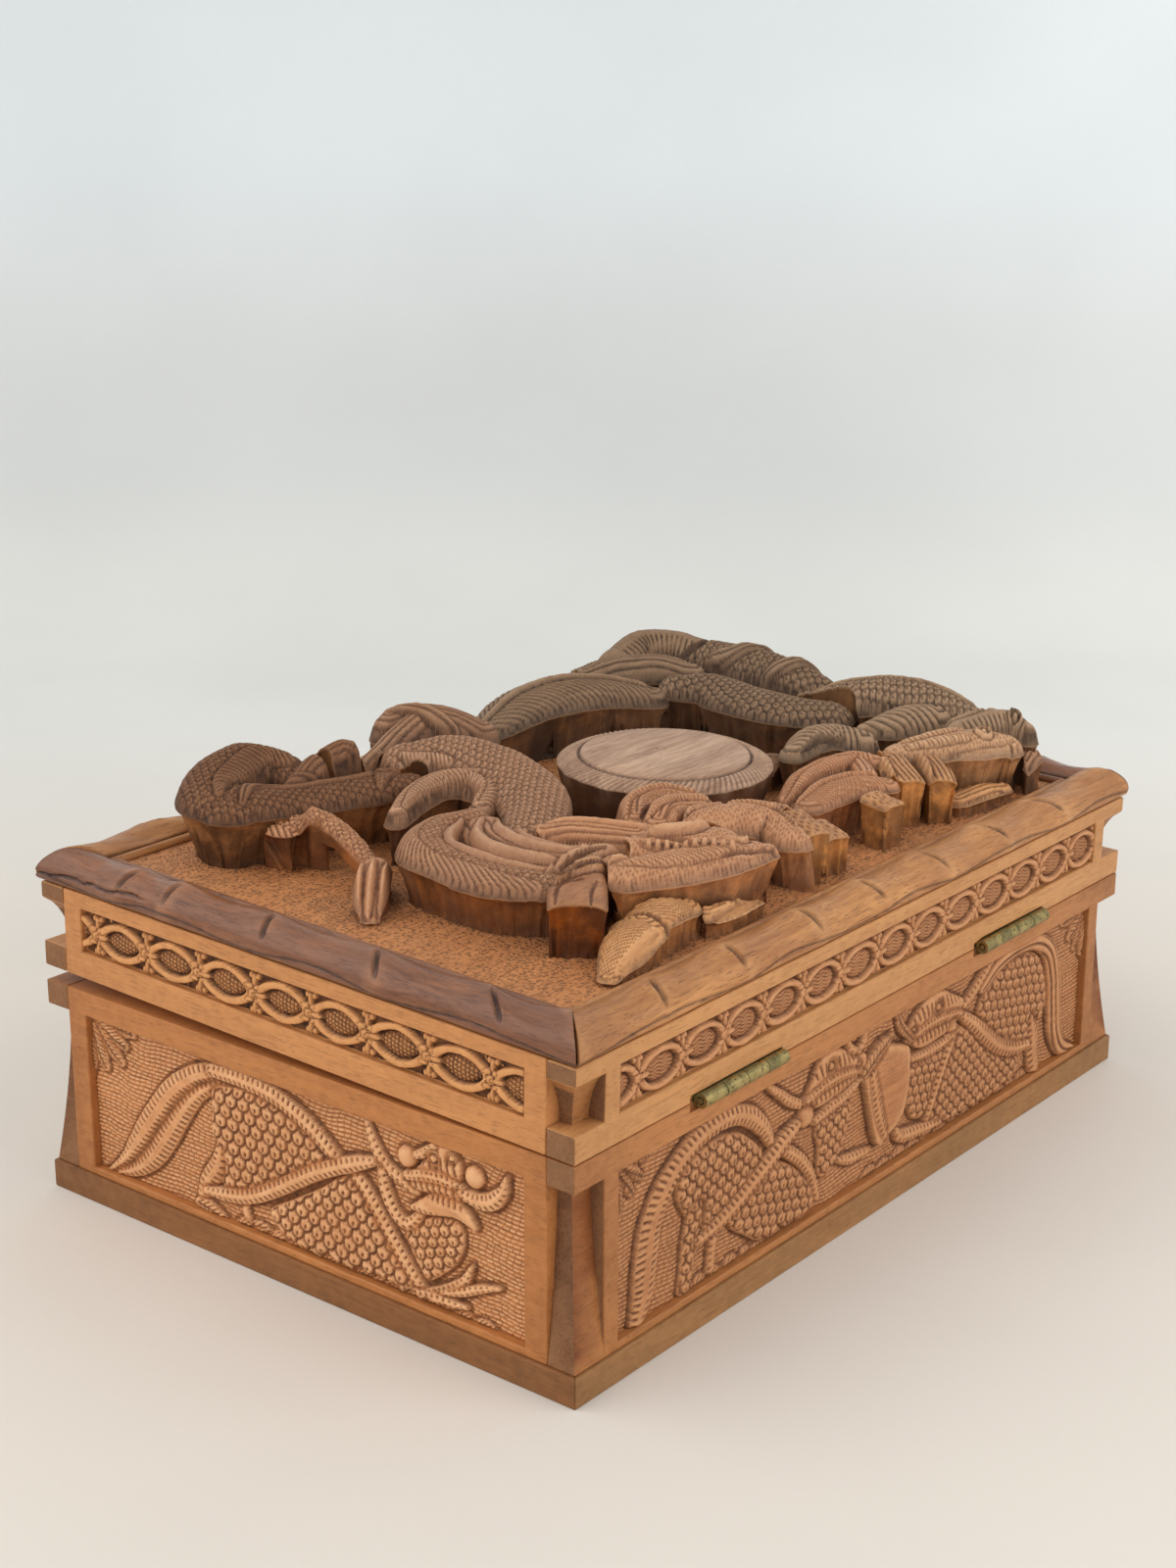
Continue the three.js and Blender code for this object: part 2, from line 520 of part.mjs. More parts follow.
      under: 1 },
    { at: [[79, 71, 6.5, 9.5, 6.5], [71, 70.6, 8.4, 12, 7.5], [63, 71, 6, 10, 6]], under: 1 },
  ]],
  ['leaf_small', 'ochre', [
    { at: [[57, 75, 5, 8, 5.5], [48, 76, 5.6, 8.5, 6], [39, 76, 4.8, 7.5, 5]], under: 1 },
  ]],
  ['wing_leaf', 'grey', [
    { at: [[1, -55, 4, 19, 14], [-12, -59, 8, 21, 15], [-28, -62, 10, 23.5, 16],
      [-44, -60, 11.5, 24.5, 16.5],
      [-58, -51, 10.5, 24, 17], [-67, -38, 6, 21, 16]] },
    { at: [[2, -54.5, 0.8, 19.8, 18.5, 11], [-12, -59, 1.1, 22.1, 20.8, 11],
      [-28, -62, 1.3, 24.6, 23.3, 11], [-44, -60, 1.3, 25.6, 24.3, 11], [-58, -51, 1.1, 25.1, 23.8, 11],
      [-65, -41, 0.8, 22.8, 21.5, 11]], under: 0.2 },
  ]],
  ['rear_arch', 'grey', [
    { at: [[-64, -65, 6, 23, 17], [-77, -62, 7, 24.5, 17], [-90, -54, 7, 24.5, 17],
      [-97, -44, 6, 22, 16]] },
    { at: [[-65, -68, 1, 22.8, 21.6, 11], [-78, -66, 1.7, 23.5, 22.3, 11], [-91, -58, 1.7, 24.1, 22.9, 11],
      [-98, -47, 1, 22.7, 21.5, 11]], under: 0.2 },
  ]],
  ['far_body', 'grey', [
    { at: [[-90, -71, 7.5, 24, 17], [-103, -71, 8.5, 27.5, 18], [-111, -62, 8, 27.5, 18],
      [-113, -49, 8, 26, 17]] },
    { at: [[-113, -53, 8, 26, 17], [-112.5, -38, 8.5, 27, 17], [-112, -22, 8.5, 27, 17],
      [-111, -7, 8, 25, 16], [-111, 4, 6, 21, 14]] },
    { at: [[-106, -44, 1.4, 23.1, 21.4, 11], [-108, -36, 2.8, 26.5, 24.8, 11],
      [-114, -29, 2.8, 28.4, 26.7, 11], [-118, -25, 1.6, 24.9, 23.2, 11]], under: 0.2 },
    { at: [[-104.5, -20, 1.4, 22, 20.3, 11], [-109, -13, 2.8, 27, 25.3, 11],
      [-115, -8, 2.6, 25.1, 23.4, 11], [-118, -4, 1.4, 19.2, 17.5, 11]], under: 0.2 },
  ]],
  ['scaly_body', 'grey', [
    { at: [[-80, -39, 6, 22, 16], [-87, -29, 10, 23, 16], [-86, -13, 11, 22, 15.5], [-88, 2, 11, 21, 15],
      [-94, 13, 9, 20, 14.5]] },
    { at: [[-65, -33, 1.6, 3, 2], [-72, -38, 1.8, 12, 11], [-79, -40, 2.6, 18, 16]], under: 0.4 },
  ]],
  ['right_arch', 'grey', [
    { at: [[-99, 4, 9, 21, 15], [-106, 14, 9.5, 25, 16], [-111, 27, 9, 27.5, 17], [-112.5, 42, 8, 27, 17],
      [-112, 55, 6.5, 24, 16]] },
    { at: [[-106, 2, 1, 19.9, 18.7, 11], [-113, 12, 1.7, 22.2, 21, 11], [-118, 27, 1.8, 23.6, 22.4, 11],
      [-119, 42, 1.7, 22.6, 21.4, 11], [-117, 54, 1, 21.7, 20.5, 11]], under: 0.2 },
  ]],
  ['ribbed_fan', 'grey', [
    { at: [[-88, 31, 3.4, 18, 14], [-93, 35, 7.2, 20.5, 15], [-99, 40, 9, 23, 16], [-105, 47, 8, 23.5, 16]] },
  ]],
  ['rear_head', 'grey', [
    { at: [[-100, 58, 5.5, 22, 16], [-108, 63, 6.5, 24, 16], [-114, 69, 5, 24, 15],
      [-114.5, 75, 3.6, 21, 15]] },
    { at: [[-99, 56, 1, 22.4, 21.1, 11], [-106, 58.5, 1.7, 23.4, 22.1, 11],
      [-112, 63, 1.2, 24.3, 23, 11]], under: 0.2 },
  ]],
  ['right_head', 'red', [
    { at: [[-76, 52, 6, 18, 14], [-87, 60, 9, 20.5, 14.5], [-97, 67, 9, 21, 14],
      [-104, 73, 6, 19, 14]], under: 5 },
    { at: [[-78, 48.6, 1.2, 18, 16.5, 11], [-88, 54.6, 2.4, 20, 18.5, 11], [-98, 61, 2.2, 20.6, 19.1, 11],
      [-104, 66.5, 1.2, 19.5, 18, 11]], under: 0.2 },
    { at: [[-98.6, 69.5, 2.6, 21.5, 20.3, 11], [-100.4, 69.5, 2.6, 21.3, 20.1, 11]], under: 0.2 },
  ]],
  ['right_lobe', 'ochre', [
    { at: [[-76, 73, 5, 6, 4], [-87, 75, 5.8, 7, 5], [-96, 76, 4.6, 6, 4]], under: 1 },
  ]],
  ['low_leaf', 'brown', [
    { at: [[-104, 77.5, 3, 8, 6], [-111, 77, 4.2, 12, 9], [-117.5, 76, 3.4, 13, 10]], under: 1 },
  ]],
  ['ear_lump', 'grey', [
    { at: [[-58, 24, 4.5, 16, 12], [-67, 24, 6.5, 19.5, 14], [-75, 29, 6.5, 20, 14.5],
      [-77, 38, 5, 19, 14]] },
  ]],
  ['claw_arc', 'red', [
    { at: [[-24, 45, 3.6, 12, 9], [-36, 42, 4.8, 16, 12], [-48, 42, 5, 17.5, 13], [-60, 45, 5, 18, 13],
      [-62, 52, 4, 17.5, 13.5]] },
    { at: [[-60, 46, 4, 17.5, 13.5], [-54, 53, 4, 17, 13.5], [-46, 60, 4, 17, 14]] },
    { at: [[-20, 56, 5, 15, 12], [-31, 56, 7, 17, 13], [-41, 59, 6.5, 17.5, 14],
      [-47, 65, 4.5, 16.5, 14]] },
    { at: [[-18.5, 53, 1, 15.1, 13.8, 11], [-30, 52, 1.7, 17, 15.7, 11], [-41, 55, 1.6, 17.8, 16.5, 11],
      [-47.4, 60.5, 1, 17.9, 16.6, 11]], under: 0.2 },
  ]],
  ['claw_slab_a', 'ochre', [
    { at: [[-35, 67, 5, 16, 15],
      [-34, 77, 4.6, 14.5, 13.5]], flat: true, round: [false, false], under: 0.8 },
  ]],
  ['claw_slab_b', 'ochre', [
    { at: [[-66, 54, 5.6, 17.5, 16], [-59, 62, 6, 17, 15.5], [-53, 70, 5, 16, 14.5]], flat: true,
      round: [true, false], under: 1.5 },
  ]],
  ['claw_slab_c', 'ochre', [
    { at: [[-74, 63, 4.4, 17, 15.5], [-68, 70, 5, 16.5, 15], [-62, 76, 4.4, 15.5, 14]], flat: true,
      round: [true, false], under: 1.5 },
  ]],
  ['leaf_by_disc', 'brown', [
    { at: [[-54, 12, 6, 8, 5], [-61, 14, 8, 10, 7], [-63, 22, 5, 9, 6]], under: 1 },
  ]],
];

function figure(strokes, grow) {
  return union(strokes.map(({ at, ...options }) => stroke(at, { ...options, grow })));
}

function reliefPieces() {
  const pieces = [['disc', 'red', disc(0)]];
  let taken = disc(GAP);
  for (const [name, colour, strokes] of RELIEF) {
    pieces.push([name, colour, mainBody(figure(strokes, 0).subtract(taken))]);
    taken = taken.add(figure(strokes, GAP));
  }
  return pieces;
}

// Assembly

const FINISH = {
  gold: [0x9c6232, 0.5, 0],
  rail: [0xa3703a, 0.5, 0],
  plinth: [0x7a5234, 0.6, 0],
  ground: [0xa8673a, 0.75, 0],
  glossy: [0x6b3f2a, 0.35, 0],
  tan: [0xa06c3a, 0.45, 0],
  brown: [0x7d5a45, 0.65, 0],
  red: [0x8f5a3e, 0.6, 0],
  grey: [0x6c5646, 0.7, 0],
  ochre: [0x9a6a3c, 0.6, 0],
  dark: [0x5a3826, 0.6, 0],
  brass: [0x8c8250, 0.45, 0.9],
};

function named(name, finish, solid) {
  const [colour, roughness, metalness] = FINISH[finish];
  const material = new THREE.MeshStandardMaterial({ color: colour, roughness, metalness });
  const geometry = toGeometry(solid);
  geometry.computeVertexNormals();
  const mesh = new THREE.Mesh(geometry, material);
  mesh.name = name;
  return mesh;
}

function basePieces() {
  return [
    named('plinth_front', 'plinth', plinthStrip(true, -1)),
    named('plinth_back', 'plinth', plinthStrip(true, 1)),
    named('plinth_left', 'plinth', plinthStrip(false, -1)),
    named('plinth_right', 'plinth', plinthStrip(false, 1)),
    named('bottom_board', 'plinth', bottomBoard()),
    named('front_wall', 'gold', longWall(-1)),
    named('back_wall', 'gold', longWall(1)),
    named('left_wall', 'gold', shortWall(-1)),
    named('right_wall', 'gold', shortWall(1)),
    named('hinge_a_lower_leaf', 'brass', hingeLeaf(1, 0)),
    named('hinge_b_lower_leaf', 'brass', hingeLeaf(-1, 0)),
    named('hinge_a_pin', 'brass', hingePin(1)),
    named('hinge_b_pin', 'brass', hingePin(-1)),
  ];
}

function lidPieces() {
  return [
    named('lid_front_board', 'rail', lidLongBoard(-1)),
    named('lid_back_board', 'rail', lidLongBoard(1)),
    named('lid_left_board', 'rail', lidShortBoard(-1)),
    named('lid_right_board', 'rail', lidShortBoard(1)),
    named('lid_top_board', 'ground', topBoard()),
    named('bamboo_front', 'tan', bambooStrip(true, -1)),
    named('bamboo_back', 'tan', bambooStrip(true, 1)),
    named('bamboo_left', 'glossy', bambooStrip(false, -1)),
    named('bamboo_right', 'glossy', bambooStrip(false, 1)),
    named('hinge_a_upper_leaf', 'brass', hingeLeaf(1, 1)),
    named('hinge_b_upper_leaf', 'brass', hingeLeaf(-1, 1)),
    ...reliefPieces().map(([name, colour, solid]) => named(name, colour, solid)),
  ];
}

// Everything in the lid is raised a little about the hinge line, front edge up
function raised(meshes) {
  const turn = new THREE.Matrix4().makeTranslation(0, axisY, SEAM_Z);
  turn.multiply(new THREE.Matrix4().makeRotationX(-THREE.MathUtils.degToRad(LID_ANGLE)));
  turn.multiply(new THREE.Matrix4().makeTranslation(0, -axisY, -SEAM_Z));
  return meshes.map((mesh) => {
    mesh.geometry.applyMatrix4(turn);
    return mesh;
  });
}

const part = new THREE.Group();
part.name = 'carved_dragon_box';
part.add(...basePieces(), ...raised(lidPieces()));

export default part;
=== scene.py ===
"""Looks of the carved wooden box with a hinged lid and two dragons in high relief.

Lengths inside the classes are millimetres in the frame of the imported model; MM turns them into metres.
Lid pieces are laid out with the lid closed and then turned with LID_TURN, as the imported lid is.
"""

import json
import logging
import math
from dataclasses import dataclass, replace
from enum import Enum
from functools import cache, partial
from typing import Callable, NamedTuple, Sequence

import bmesh
import bpy
import numpy as np
from mathutils import Matrix, Vector


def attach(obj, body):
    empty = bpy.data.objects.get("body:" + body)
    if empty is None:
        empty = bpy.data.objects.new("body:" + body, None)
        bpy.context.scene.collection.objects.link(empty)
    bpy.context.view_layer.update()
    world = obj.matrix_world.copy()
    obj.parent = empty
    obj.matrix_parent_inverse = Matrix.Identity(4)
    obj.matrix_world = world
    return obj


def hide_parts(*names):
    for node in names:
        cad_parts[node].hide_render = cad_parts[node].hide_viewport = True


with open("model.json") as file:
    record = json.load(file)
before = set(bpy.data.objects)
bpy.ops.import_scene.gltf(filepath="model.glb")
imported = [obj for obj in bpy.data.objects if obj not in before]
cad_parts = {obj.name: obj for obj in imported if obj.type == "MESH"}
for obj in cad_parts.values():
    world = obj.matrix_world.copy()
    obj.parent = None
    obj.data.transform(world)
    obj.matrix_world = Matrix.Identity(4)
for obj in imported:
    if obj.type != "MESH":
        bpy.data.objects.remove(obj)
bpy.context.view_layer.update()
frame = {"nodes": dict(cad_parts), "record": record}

LOG = logging.getLogger("carved_box")
MM = 0.001
SEAM_Z = 65.4
HINGE_Y = 98.6
GROUND_Z = 95.5
AJAR_DEGREES = 1.25
PANEL_LONG = (-121.4, 121.4)
PANEL_SHORT = (-81.4, 81.4)

Array = np.ndarray
Colour = tuple[float, float, float]
Stations = tuple[tuple[float, ...], ...]
Work = bmesh.types.BMesh
Edges = list[bmesh.types.BMEdge]
Socket = bpy.types.NodeSocket


def lid_turn() -> Matrix:
    """Gives the turn of the resting lid on its hinge, for meshes in metres."""
    turn = (Matrix.Translation((0, HINGE_Y, SEAM_Z)) @ Matrix.Rotation(math.radians(-AJAR_DEGREES), 4, "X")
            @ Matrix.Translation((0, -HINGE_Y, -SEAM_Z)))
    turn.translation *= MM
    return turn


LID_TURN = lid_turn()


# ---------------------------------------------------------------- numbers on arrays


def scatter(i: Array, j: Array, seed: float) -> Array:
    """Gives a fixed random number from 0 to 1 for each pair of whole numbers.

    Args:
        i: First whole numbers.
        j: Second whole numbers.
        seed: Picks another set of numbers.

    Returns:
        Numbers from 0 to 1.
    """
    n = np.sin(i * 127.1 + j * 311.7 + seed * 74.7) * 43758.5453
    return n - np.floor(n)


def soft_noise(x: Array, y: Array, seed: float) -> Array:
    """Gives smooth noise with a cell of one unit.

    Args:
        x: First coordinates.
        y: Second coordinates.
        seed: Picks another noise.

    Returns:
        Numbers from -1 to 1.
    """
    i, j = np.floor(x), np.floor(y)
    fx, fy = x - i, y - j
    fx, fy = fx * fx * (3 - 2 * fx), fy * fy * (3 - 2 * fy)
    low = scatter(i, j, seed) * (1 - fx) + scatter(i + 1, j, seed) * fx
    high = scatter(i, j + 1, seed) * (1 - fx) + scatter(i + 1, j + 1, seed) * fx
    return 2 * (low * (1 - fy) + high * fy) - 1


def ramp(value: Array, low: float, high: float) -> Array:
    """Rises smoothly from 0 at low to 1 at high.

    Args:
        value: Numbers to judge.
        low: Where the rise starts.
        high: Where it ends; it may be below low for a fall.

    Returns:
        Numbers from 0 to 1.
    """
    t = np.clip((value - low) / (high - low), 0, 1)
    return t * t * (3 - 2 * t)


def blur(grid: Array, reach: float) -> Array:
    """Softens a grid of heights.

    Args:
        grid: Heights on a regular grid.
        reach: Width of the softening in grid steps.

    Returns:
        The softened grid.
    """
    pad = int(reach * 3) + 1
    wide = np.pad(grid, pad, mode="edge")
    fx = np.fft.fftfreq(wide.shape[0])[:, None]
    fy = np.fft.fftfreq(wide.shape[1])[None, :]
    soft = np.exp(-2 * (math.pi * reach) ** 2 * (fx**2 + fy**2))
    return np.fft.ifft2(np.fft.fft2(wide) * soft).real[pad:-pad, pad:-pad]


def smooth_line(stations: Stations, closed: bool = False, per_span: int = 7) -> Array:
    """Runs a smooth line through stations.

    Args:
        stations: Points with any number of coordinates.
        closed: Whether the line returns to its start.
        per_span: Points on each span.

    Returns:
        The points of the line.
    """
    p = np.array(stations, float)
    if closed:
        p = np.vstack([p[-1], p, p[0], p[1]])
    else:
        p = np.vstack([2 * p[0] - p[1], p, 2 * p[-1] - p[-2]])
    t = np.linspace(0, 1, per_span, endpoint=False)[:, None]
    spans = []
    for a, b, c, d in zip(p[:-3], p[1:-2], p[2:-1], p[3:]):
        spans.append(0.5 * (2 * b + (c - a) * t + (2 * a - 5 * b + 4 * c - d) * t**2
                            + (3 * b - a - 3 * c + d) * t**3))
    return np.vstack([*spans, p[-2][None]])


def nearest(line: Array, x: Array, y: Array) -> tuple[Array, Array, Array, list[Array]]:
    """Measures points against a line.

    Args:
        line: Points of the line: two coordinates, then any further values.
        x: First coordinates.
        y: Second coordinates.

    Returns:
        Distance from the line, distance along it, signed offset, and the further values there.
    """
    step = np.diff(line, axis=0)
    size = np.maximum(np.hypot(step[:, 0], step[:, 1]), 1e-6)
    run = np.concatenate([[0], np.cumsum(size)[:-1]])
    gap, along, off = np.full(x.shape, 1e9), np.zeros_like(x), np.zeros_like(x)
    values = [np.zeros_like(x)] * (line.shape[1] - 2)
    for a, d, length, before in zip(line[:-1], step, size, run):
        t = np.clip(((x - a[0]) * d[0] + (y - a[1]) * d[1]) / length**2, 0, 1)
        ox, oy = x - a[0] - t * d[0], y - a[1] - t * d[1]
        here = np.hypot(ox, oy)
        near = here < gap
        gap = np.where(near, here, gap)
        along = np.where(near, before + t * length, along)
        off = np.where(near, here * np.sign(d[0] * oy - d[1] * ox), off)
        values = [np.where(near, a[k] + t * d[k], value) for k, value in enumerate(values, 2)]
    return gap, along, off, values


# ---------------------------------------------------------------- tool marks


class Mark(Enum):
    """What the carver cut into a surface."""

    PLAIN = "plain"
    SCALES = "scales"
    HATCH = "hatch"
    RIBS = "ribs"
    FEATHER = "feather"
    LEAF = "leaf"
    RAYS = "rays"
    TEETH = "teeth"
    SLANT = "slant"
    FUR = "fur"


class Spot(NamedTuple):
    """Points measured against a shape: depth inside it, distance along, signed offset and half width."""

    depth: Array
    along: Array
    off: Array
    half: Array


@dataclass(frozen=True)
class Cut:
    """Tool marks of one kind: their spacing, depth and turn in degrees."""

    mark: Mark = Mark.PLAIN
    pitch: float = 2.0
    depth: float = 0.35
    turn: float = 0.0

    def depths(self, x: Array, y: Array, spot: Spot) -> Array:
        """Works out how deep the marks are at each point.

        Args:
            x: First coordinates.
            y: Second coordinates.
            spot: The points measured against the marked shape.

        Returns:
            Depths from 0 to 1.
        """
        turn, pitch = math.radians(self.turn), self.pitch
        a = (x * math.cos(turn) + y * math.sin(turn)) / pitch
        b = (y * math.cos(turn) - x * math.sin(turn)) / pitch
        along, off, half = spot.along, spot.off, np.maximum(spot.half, 0.1)
        side = np.clip(np.abs(off) / half, 0, 1.2)
        match self.mark:
            case Mark.SCALES:
                return scale_depths(a, b)
            case Mark.HATCH:
                lean = along / pitch + 0.25 * off / pitch
                return stroke_lines(lean) * ramp(side, 0.22, 0.4) * ramp(side, 1.0, 0.86)
            case Mark.RIBS:
                return stroke_lines(off / pitch + 0.12 * soft_noise(along / 9, off / 3, 4))
            case Mark.FEATHER:
                lean = (along - 1.3 * np.abs(off)) / pitch
                return np.maximum(stroke_lines(lean) * ramp(side, 0.08, 0.2), ramp(np.abs(off), 0.6, 0.15))
            case Mark.LEAF:
                lean = (along - 2.2 * np.abs(off) + 0.05 * off**2) / pitch
                return np.maximum(stroke_lines(lean) * 0.8, ramp(np.abs(off), 0.9, 0.2))
            case Mark.RAYS:
                return stroke_lines(off / half / pitch + 0.06 * along)
            case Mark.TEETH:
                return ramp(np.abs(along / pitch - np.round(along / pitch)), 0.34, 0.12)
            case Mark.SLANT:
                lean = math.tan(turn) if self.turn else 0.8
                return stroke_lines((along + lean * off) / pitch + 0.1 * soft_noise(along / 4, off / 4, 6))
            case Mark.FUR:
                return 0.7 * punch_depths(a * 0.45, b)
        return np.zeros_like(x)


def stroke_lines(phase: Array) -> Array:
    """Gives the depth, from 0 to 1, of fine grooves at every whole phase."""
    return ramp(np.abs(phase - np.round(phase)), 0.26, 0.05)


SCALE_ROW = 0.76
SCALE_MIDDLE = 0.66
SCALE_RADIUS = 0.46


def scale_depths(a: Array, b: Array) -> Array:
    """Gives fish scales, each with a punched dot.

    Args:
        a: Position across the rows in scales.
        b: Position along the rows in scales.

    Returns:
        Depths from 0 to 1.
    """
    a = a + 0.1 * soft_noise(a * 0.6, b * 0.6, 11)
    b = (b + 0.1 * soft_noise(a * 0.6, b * 0.6, 12)) / SCALE_ROW
    row = np.floor(b)
    u = a + 0.5 * np.mod(row, 2)
    cu, cv = u - np.floor(u) - 0.5, b - row
    ring = np.hypot(cu, (cv - SCALE_MIDDLE) * SCALE_ROW)
    edge = np.where(cv < SCALE_MIDDLE, np.abs(ring - SCALE_RADIUS), np.abs(np.abs(cu) - SCALE_RADIUS))
    groove = ramp(edge, 0.12, 0.03)
    dot = 0.9 * ramp(np.hypot(cu / 0.075, (cv - 0.5) / 0.17), 1.5, 0.6)
    tilt = 0.25 * ramp(cv, 0.9, 0.1)
    return np.clip(np.maximum(groove, dot) + tilt * 0.4, 0, 1)


def punch_depths(a: Array, b: Array) -> Array:
    """Gives small punched pits on a loose lattice.

    Args:
        a: First position in pits.
        b: Second position in pits.

    Returns:
        Depths from 0 to 1.
    """
    row = np.floor(b)
    best = np.full(a.shape, 9.0)
    for j in (row - 1, row, row + 1):
        u = a + 0.5 * np.mod(j, 2)
        for di in (-1, 0, 1):
            i = np.floor(u) + di
            px = i + 0.5 + 0.36 * (scatter(i, j, 3) - 0.5)
            py = j + 0.5 + 0.36 * (scatter(i, j, 5) - 0.5)
            best = np.minimum(best, np.hypot(u - px, (b - py) * 0.9))
    return ramp(best, 0.42, 0.12)


hatch, scales, feather, ribs, slant, leaf, fur = (
    partial(Cut, Mark[name]) for name in ("HATCH", "SCALES", "FEATHER", "RIBS", "SLANT", "LEAF", "FUR"))
PLAIN = Cut()


# ---------------------------------------------------------------- drawn shapes


@dataclass
class Field:
    """Points of a carved face, their heights, and how dark their cuts are painted, as shade and grime; below 0 they
    are worn pale.
    """

    x: Array
    y: Array
    heights: Array
    cuts: Array


@dataclass(frozen=True)
class Band:
    """A shape along a smooth line; each station is first, second and half width."""

    stations: Stations

    def inside(self, x: Array, y: Array) -> Spot:
        """Measures points against the shape.

        Args:
            x: First coordinates.
            y: Second coordinates.

        Returns:
            Their measures.
        """
        _, along, off, (half,) = nearest(smooth_line(self.stations), x, y)
        half = np.maximum(half, 0.05)
        return Spot(half - np.abs(off), along, off, half)

    def mirrored(self) -> "Band":
        """Turns the shape left to right."""
        return Band(tuple((-x, y, w) for x, y, w in self.stations))


@dataclass(frozen=True)
class Patch:
    """A shape inside a smooth closed outline."""

    outline: Stations

    def inside(self, x: Array, y: Array) -> Spot:
        """Measures points against the shape.

        Args:
            x: First coordinates.
            y: Second coordinates.

        Returns:
            Their measures, with distances from the middle in place of along and offset.
        """
        line = smooth_line(self.outline, closed=True, per_span=5)
        best = np.full(x.shape, 1e9)
        odd = np.zeros(x.shape, bool)
        for (ax, ay), (bx, by) in zip(line[:-1], line[1:]):
            dx, dy = bx - ax, by - ay
            t = np.clip(((x - ax) * dx + (y - ay) * dy) / max(dx * dx + dy * dy, 1e-9), 0, 1)
            best = np.minimum(best, np.hypot(x - ax - t * dx, y - ay - t * dy))
            if ay != by:
                odd ^= ((ay > y) != (by > y)) & (x < dx * (y - ay) / dy + ax)
        middle = line.mean(axis=0)
        return Spot(np.where(odd, best, -best), x - middle[0], y - middle[1], np.full(x.shape, 6.0))

    def mirrored(self) -> "Patch":
        """Turns the shape left to right."""
        return Patch(tuple((-x, y) for x, y in reversed(self.outline)))


@dataclass(frozen=True)
class Figure:
    """One low-relief figure: its shape, height, doming and tool marks."""

    shape: Band | Patch
    height: float
    dome: float
    cut: Cut = PLAIN

    def paint(self, face: Field) -> None:
        """Carves the figure and a narrow moat round it.

        Args:
            face: Field to carve, changed in place.
        """
        spot = self.shape.inside(face.x, face.y)
        depth = spot.depth
        held, moat = depth > 0, (depth <= 0) & (depth > -1.1)
        swell = 1 - (1 - np.clip(depth / 3.0, 0, 1)) ** 2
        marks = self.cut.depths(face.x, face.y, spot) * ramp(depth, 0.1, 0.6)
        level = self.height - self.dome * (1 - swell) - 1.25 * self.cut.depth * marks
        face.heights[held] = level[held]
        # Marks are painted dark: shade and grime in them.
        face.cuts[held] = np.maximum(0.0, marks[held])
        face.heights[moat] -= 0.25
        # The moat is painted dark as shade round the figure.
        face.cuts[moat] = np.maximum(face.cuts[moat], 0.45 * ramp(depth[moat], -1.1, -0.2))


def ridge(stations: Stations, height: float, dome: float, cut: Cut = PLAIN) -> Figure:
    """Makes a figure along a line."""
    return Figure(Band(stations), height, dome, cut)


def plate(outline: Stations, height: float, dome: float, cut: Cut = PLAIN) -> Figure:
    """Makes a figure inside an outline."""
    return Figure(Patch(outline), height, dome, cut)


def fan(cx: float, cy: float, tips: Stations, width: float) -> list[Figure]:
    """Makes a small fan of leaf lobes.

    Args:
        cx: First coordinate of the stem.
        cy: Second coordinate of the stem.
        tips: Tip of each lobe.
        width: Half width of a lobe.

    Returns:
        One figure for each lobe.
    """
    lobes = []
    for k, (tx, ty) in enumerate(tips):
        mx, my = cx + 0.62 * (tx - cx), cy + 0.62 * (ty - cy)
        line = ((cx, cy, 0.8), (mx, my, width), (tx, ty, width * 0.45))
        lobes.append(ridge(line, 1.9 + 0.25 * (k % 2), 0.9, feather(1.6, 0.3)))
    return lobes


def mirrored(figures: Sequence[Figure]) -> list[Figure]:
    """Turns a drawing left to right."""
    return [replace(one, shape=one.shape.mirrored(), cut=replace(one.cut, turn=-one.cut.turn))
            for one in figures]


def scallops(first: float, last: float, low: float, size: float) -> list[Figure]:
    """Makes a row of small leaves along the foot of a panel.

    Args:
        first: Where the row starts.
        last: Where it ends.
        low: Height of its foot.
        size: Length of one leaf.

    Returns:
        The leaves.
    """
    row = []
    at = first
    while at + size < last:
        k = np.array(len(row))
        long = size * (0.8 + 0.35 * float(scatter(k, np.array(3), 7)))
        tall = 1.5 + 0.9 * float(scatter(k, np.array(5), 9))
        line = ((at, low, 0.9), (at + long * 0.5, low + tall * 0.4, tall), (at + long, low, 0.8))
        row.append(ridge(line, 1.8, 0.9, feather(1.5, 0.3)))
        at += long
    return row


def eye(x: float, y: float, size: float, height: float) -> list[Figure]:
    """Makes an animal's round eye: rim, hollow and ball.

    Args:
        x: First coordinate.
        y: Second coordinate.
        size: Radius of the rim.
        height: Height of the rim.

    Returns:
        The three figures.
    """
    return [ridge(((x - 0.05, y, size * part), (x + 0.05, y, size * part)), height - low, dome)
            for part, low, dome in ((1, 0, 0.5), (0.68, 0.9, 0.1), (0.42, 0.2, 0.5))]


SCALED = scales(4.6, 0.55)
FINE_SCALED = scales(4.1, 0.55, 14)
HATCHED = hatch(2.0, 0.5)

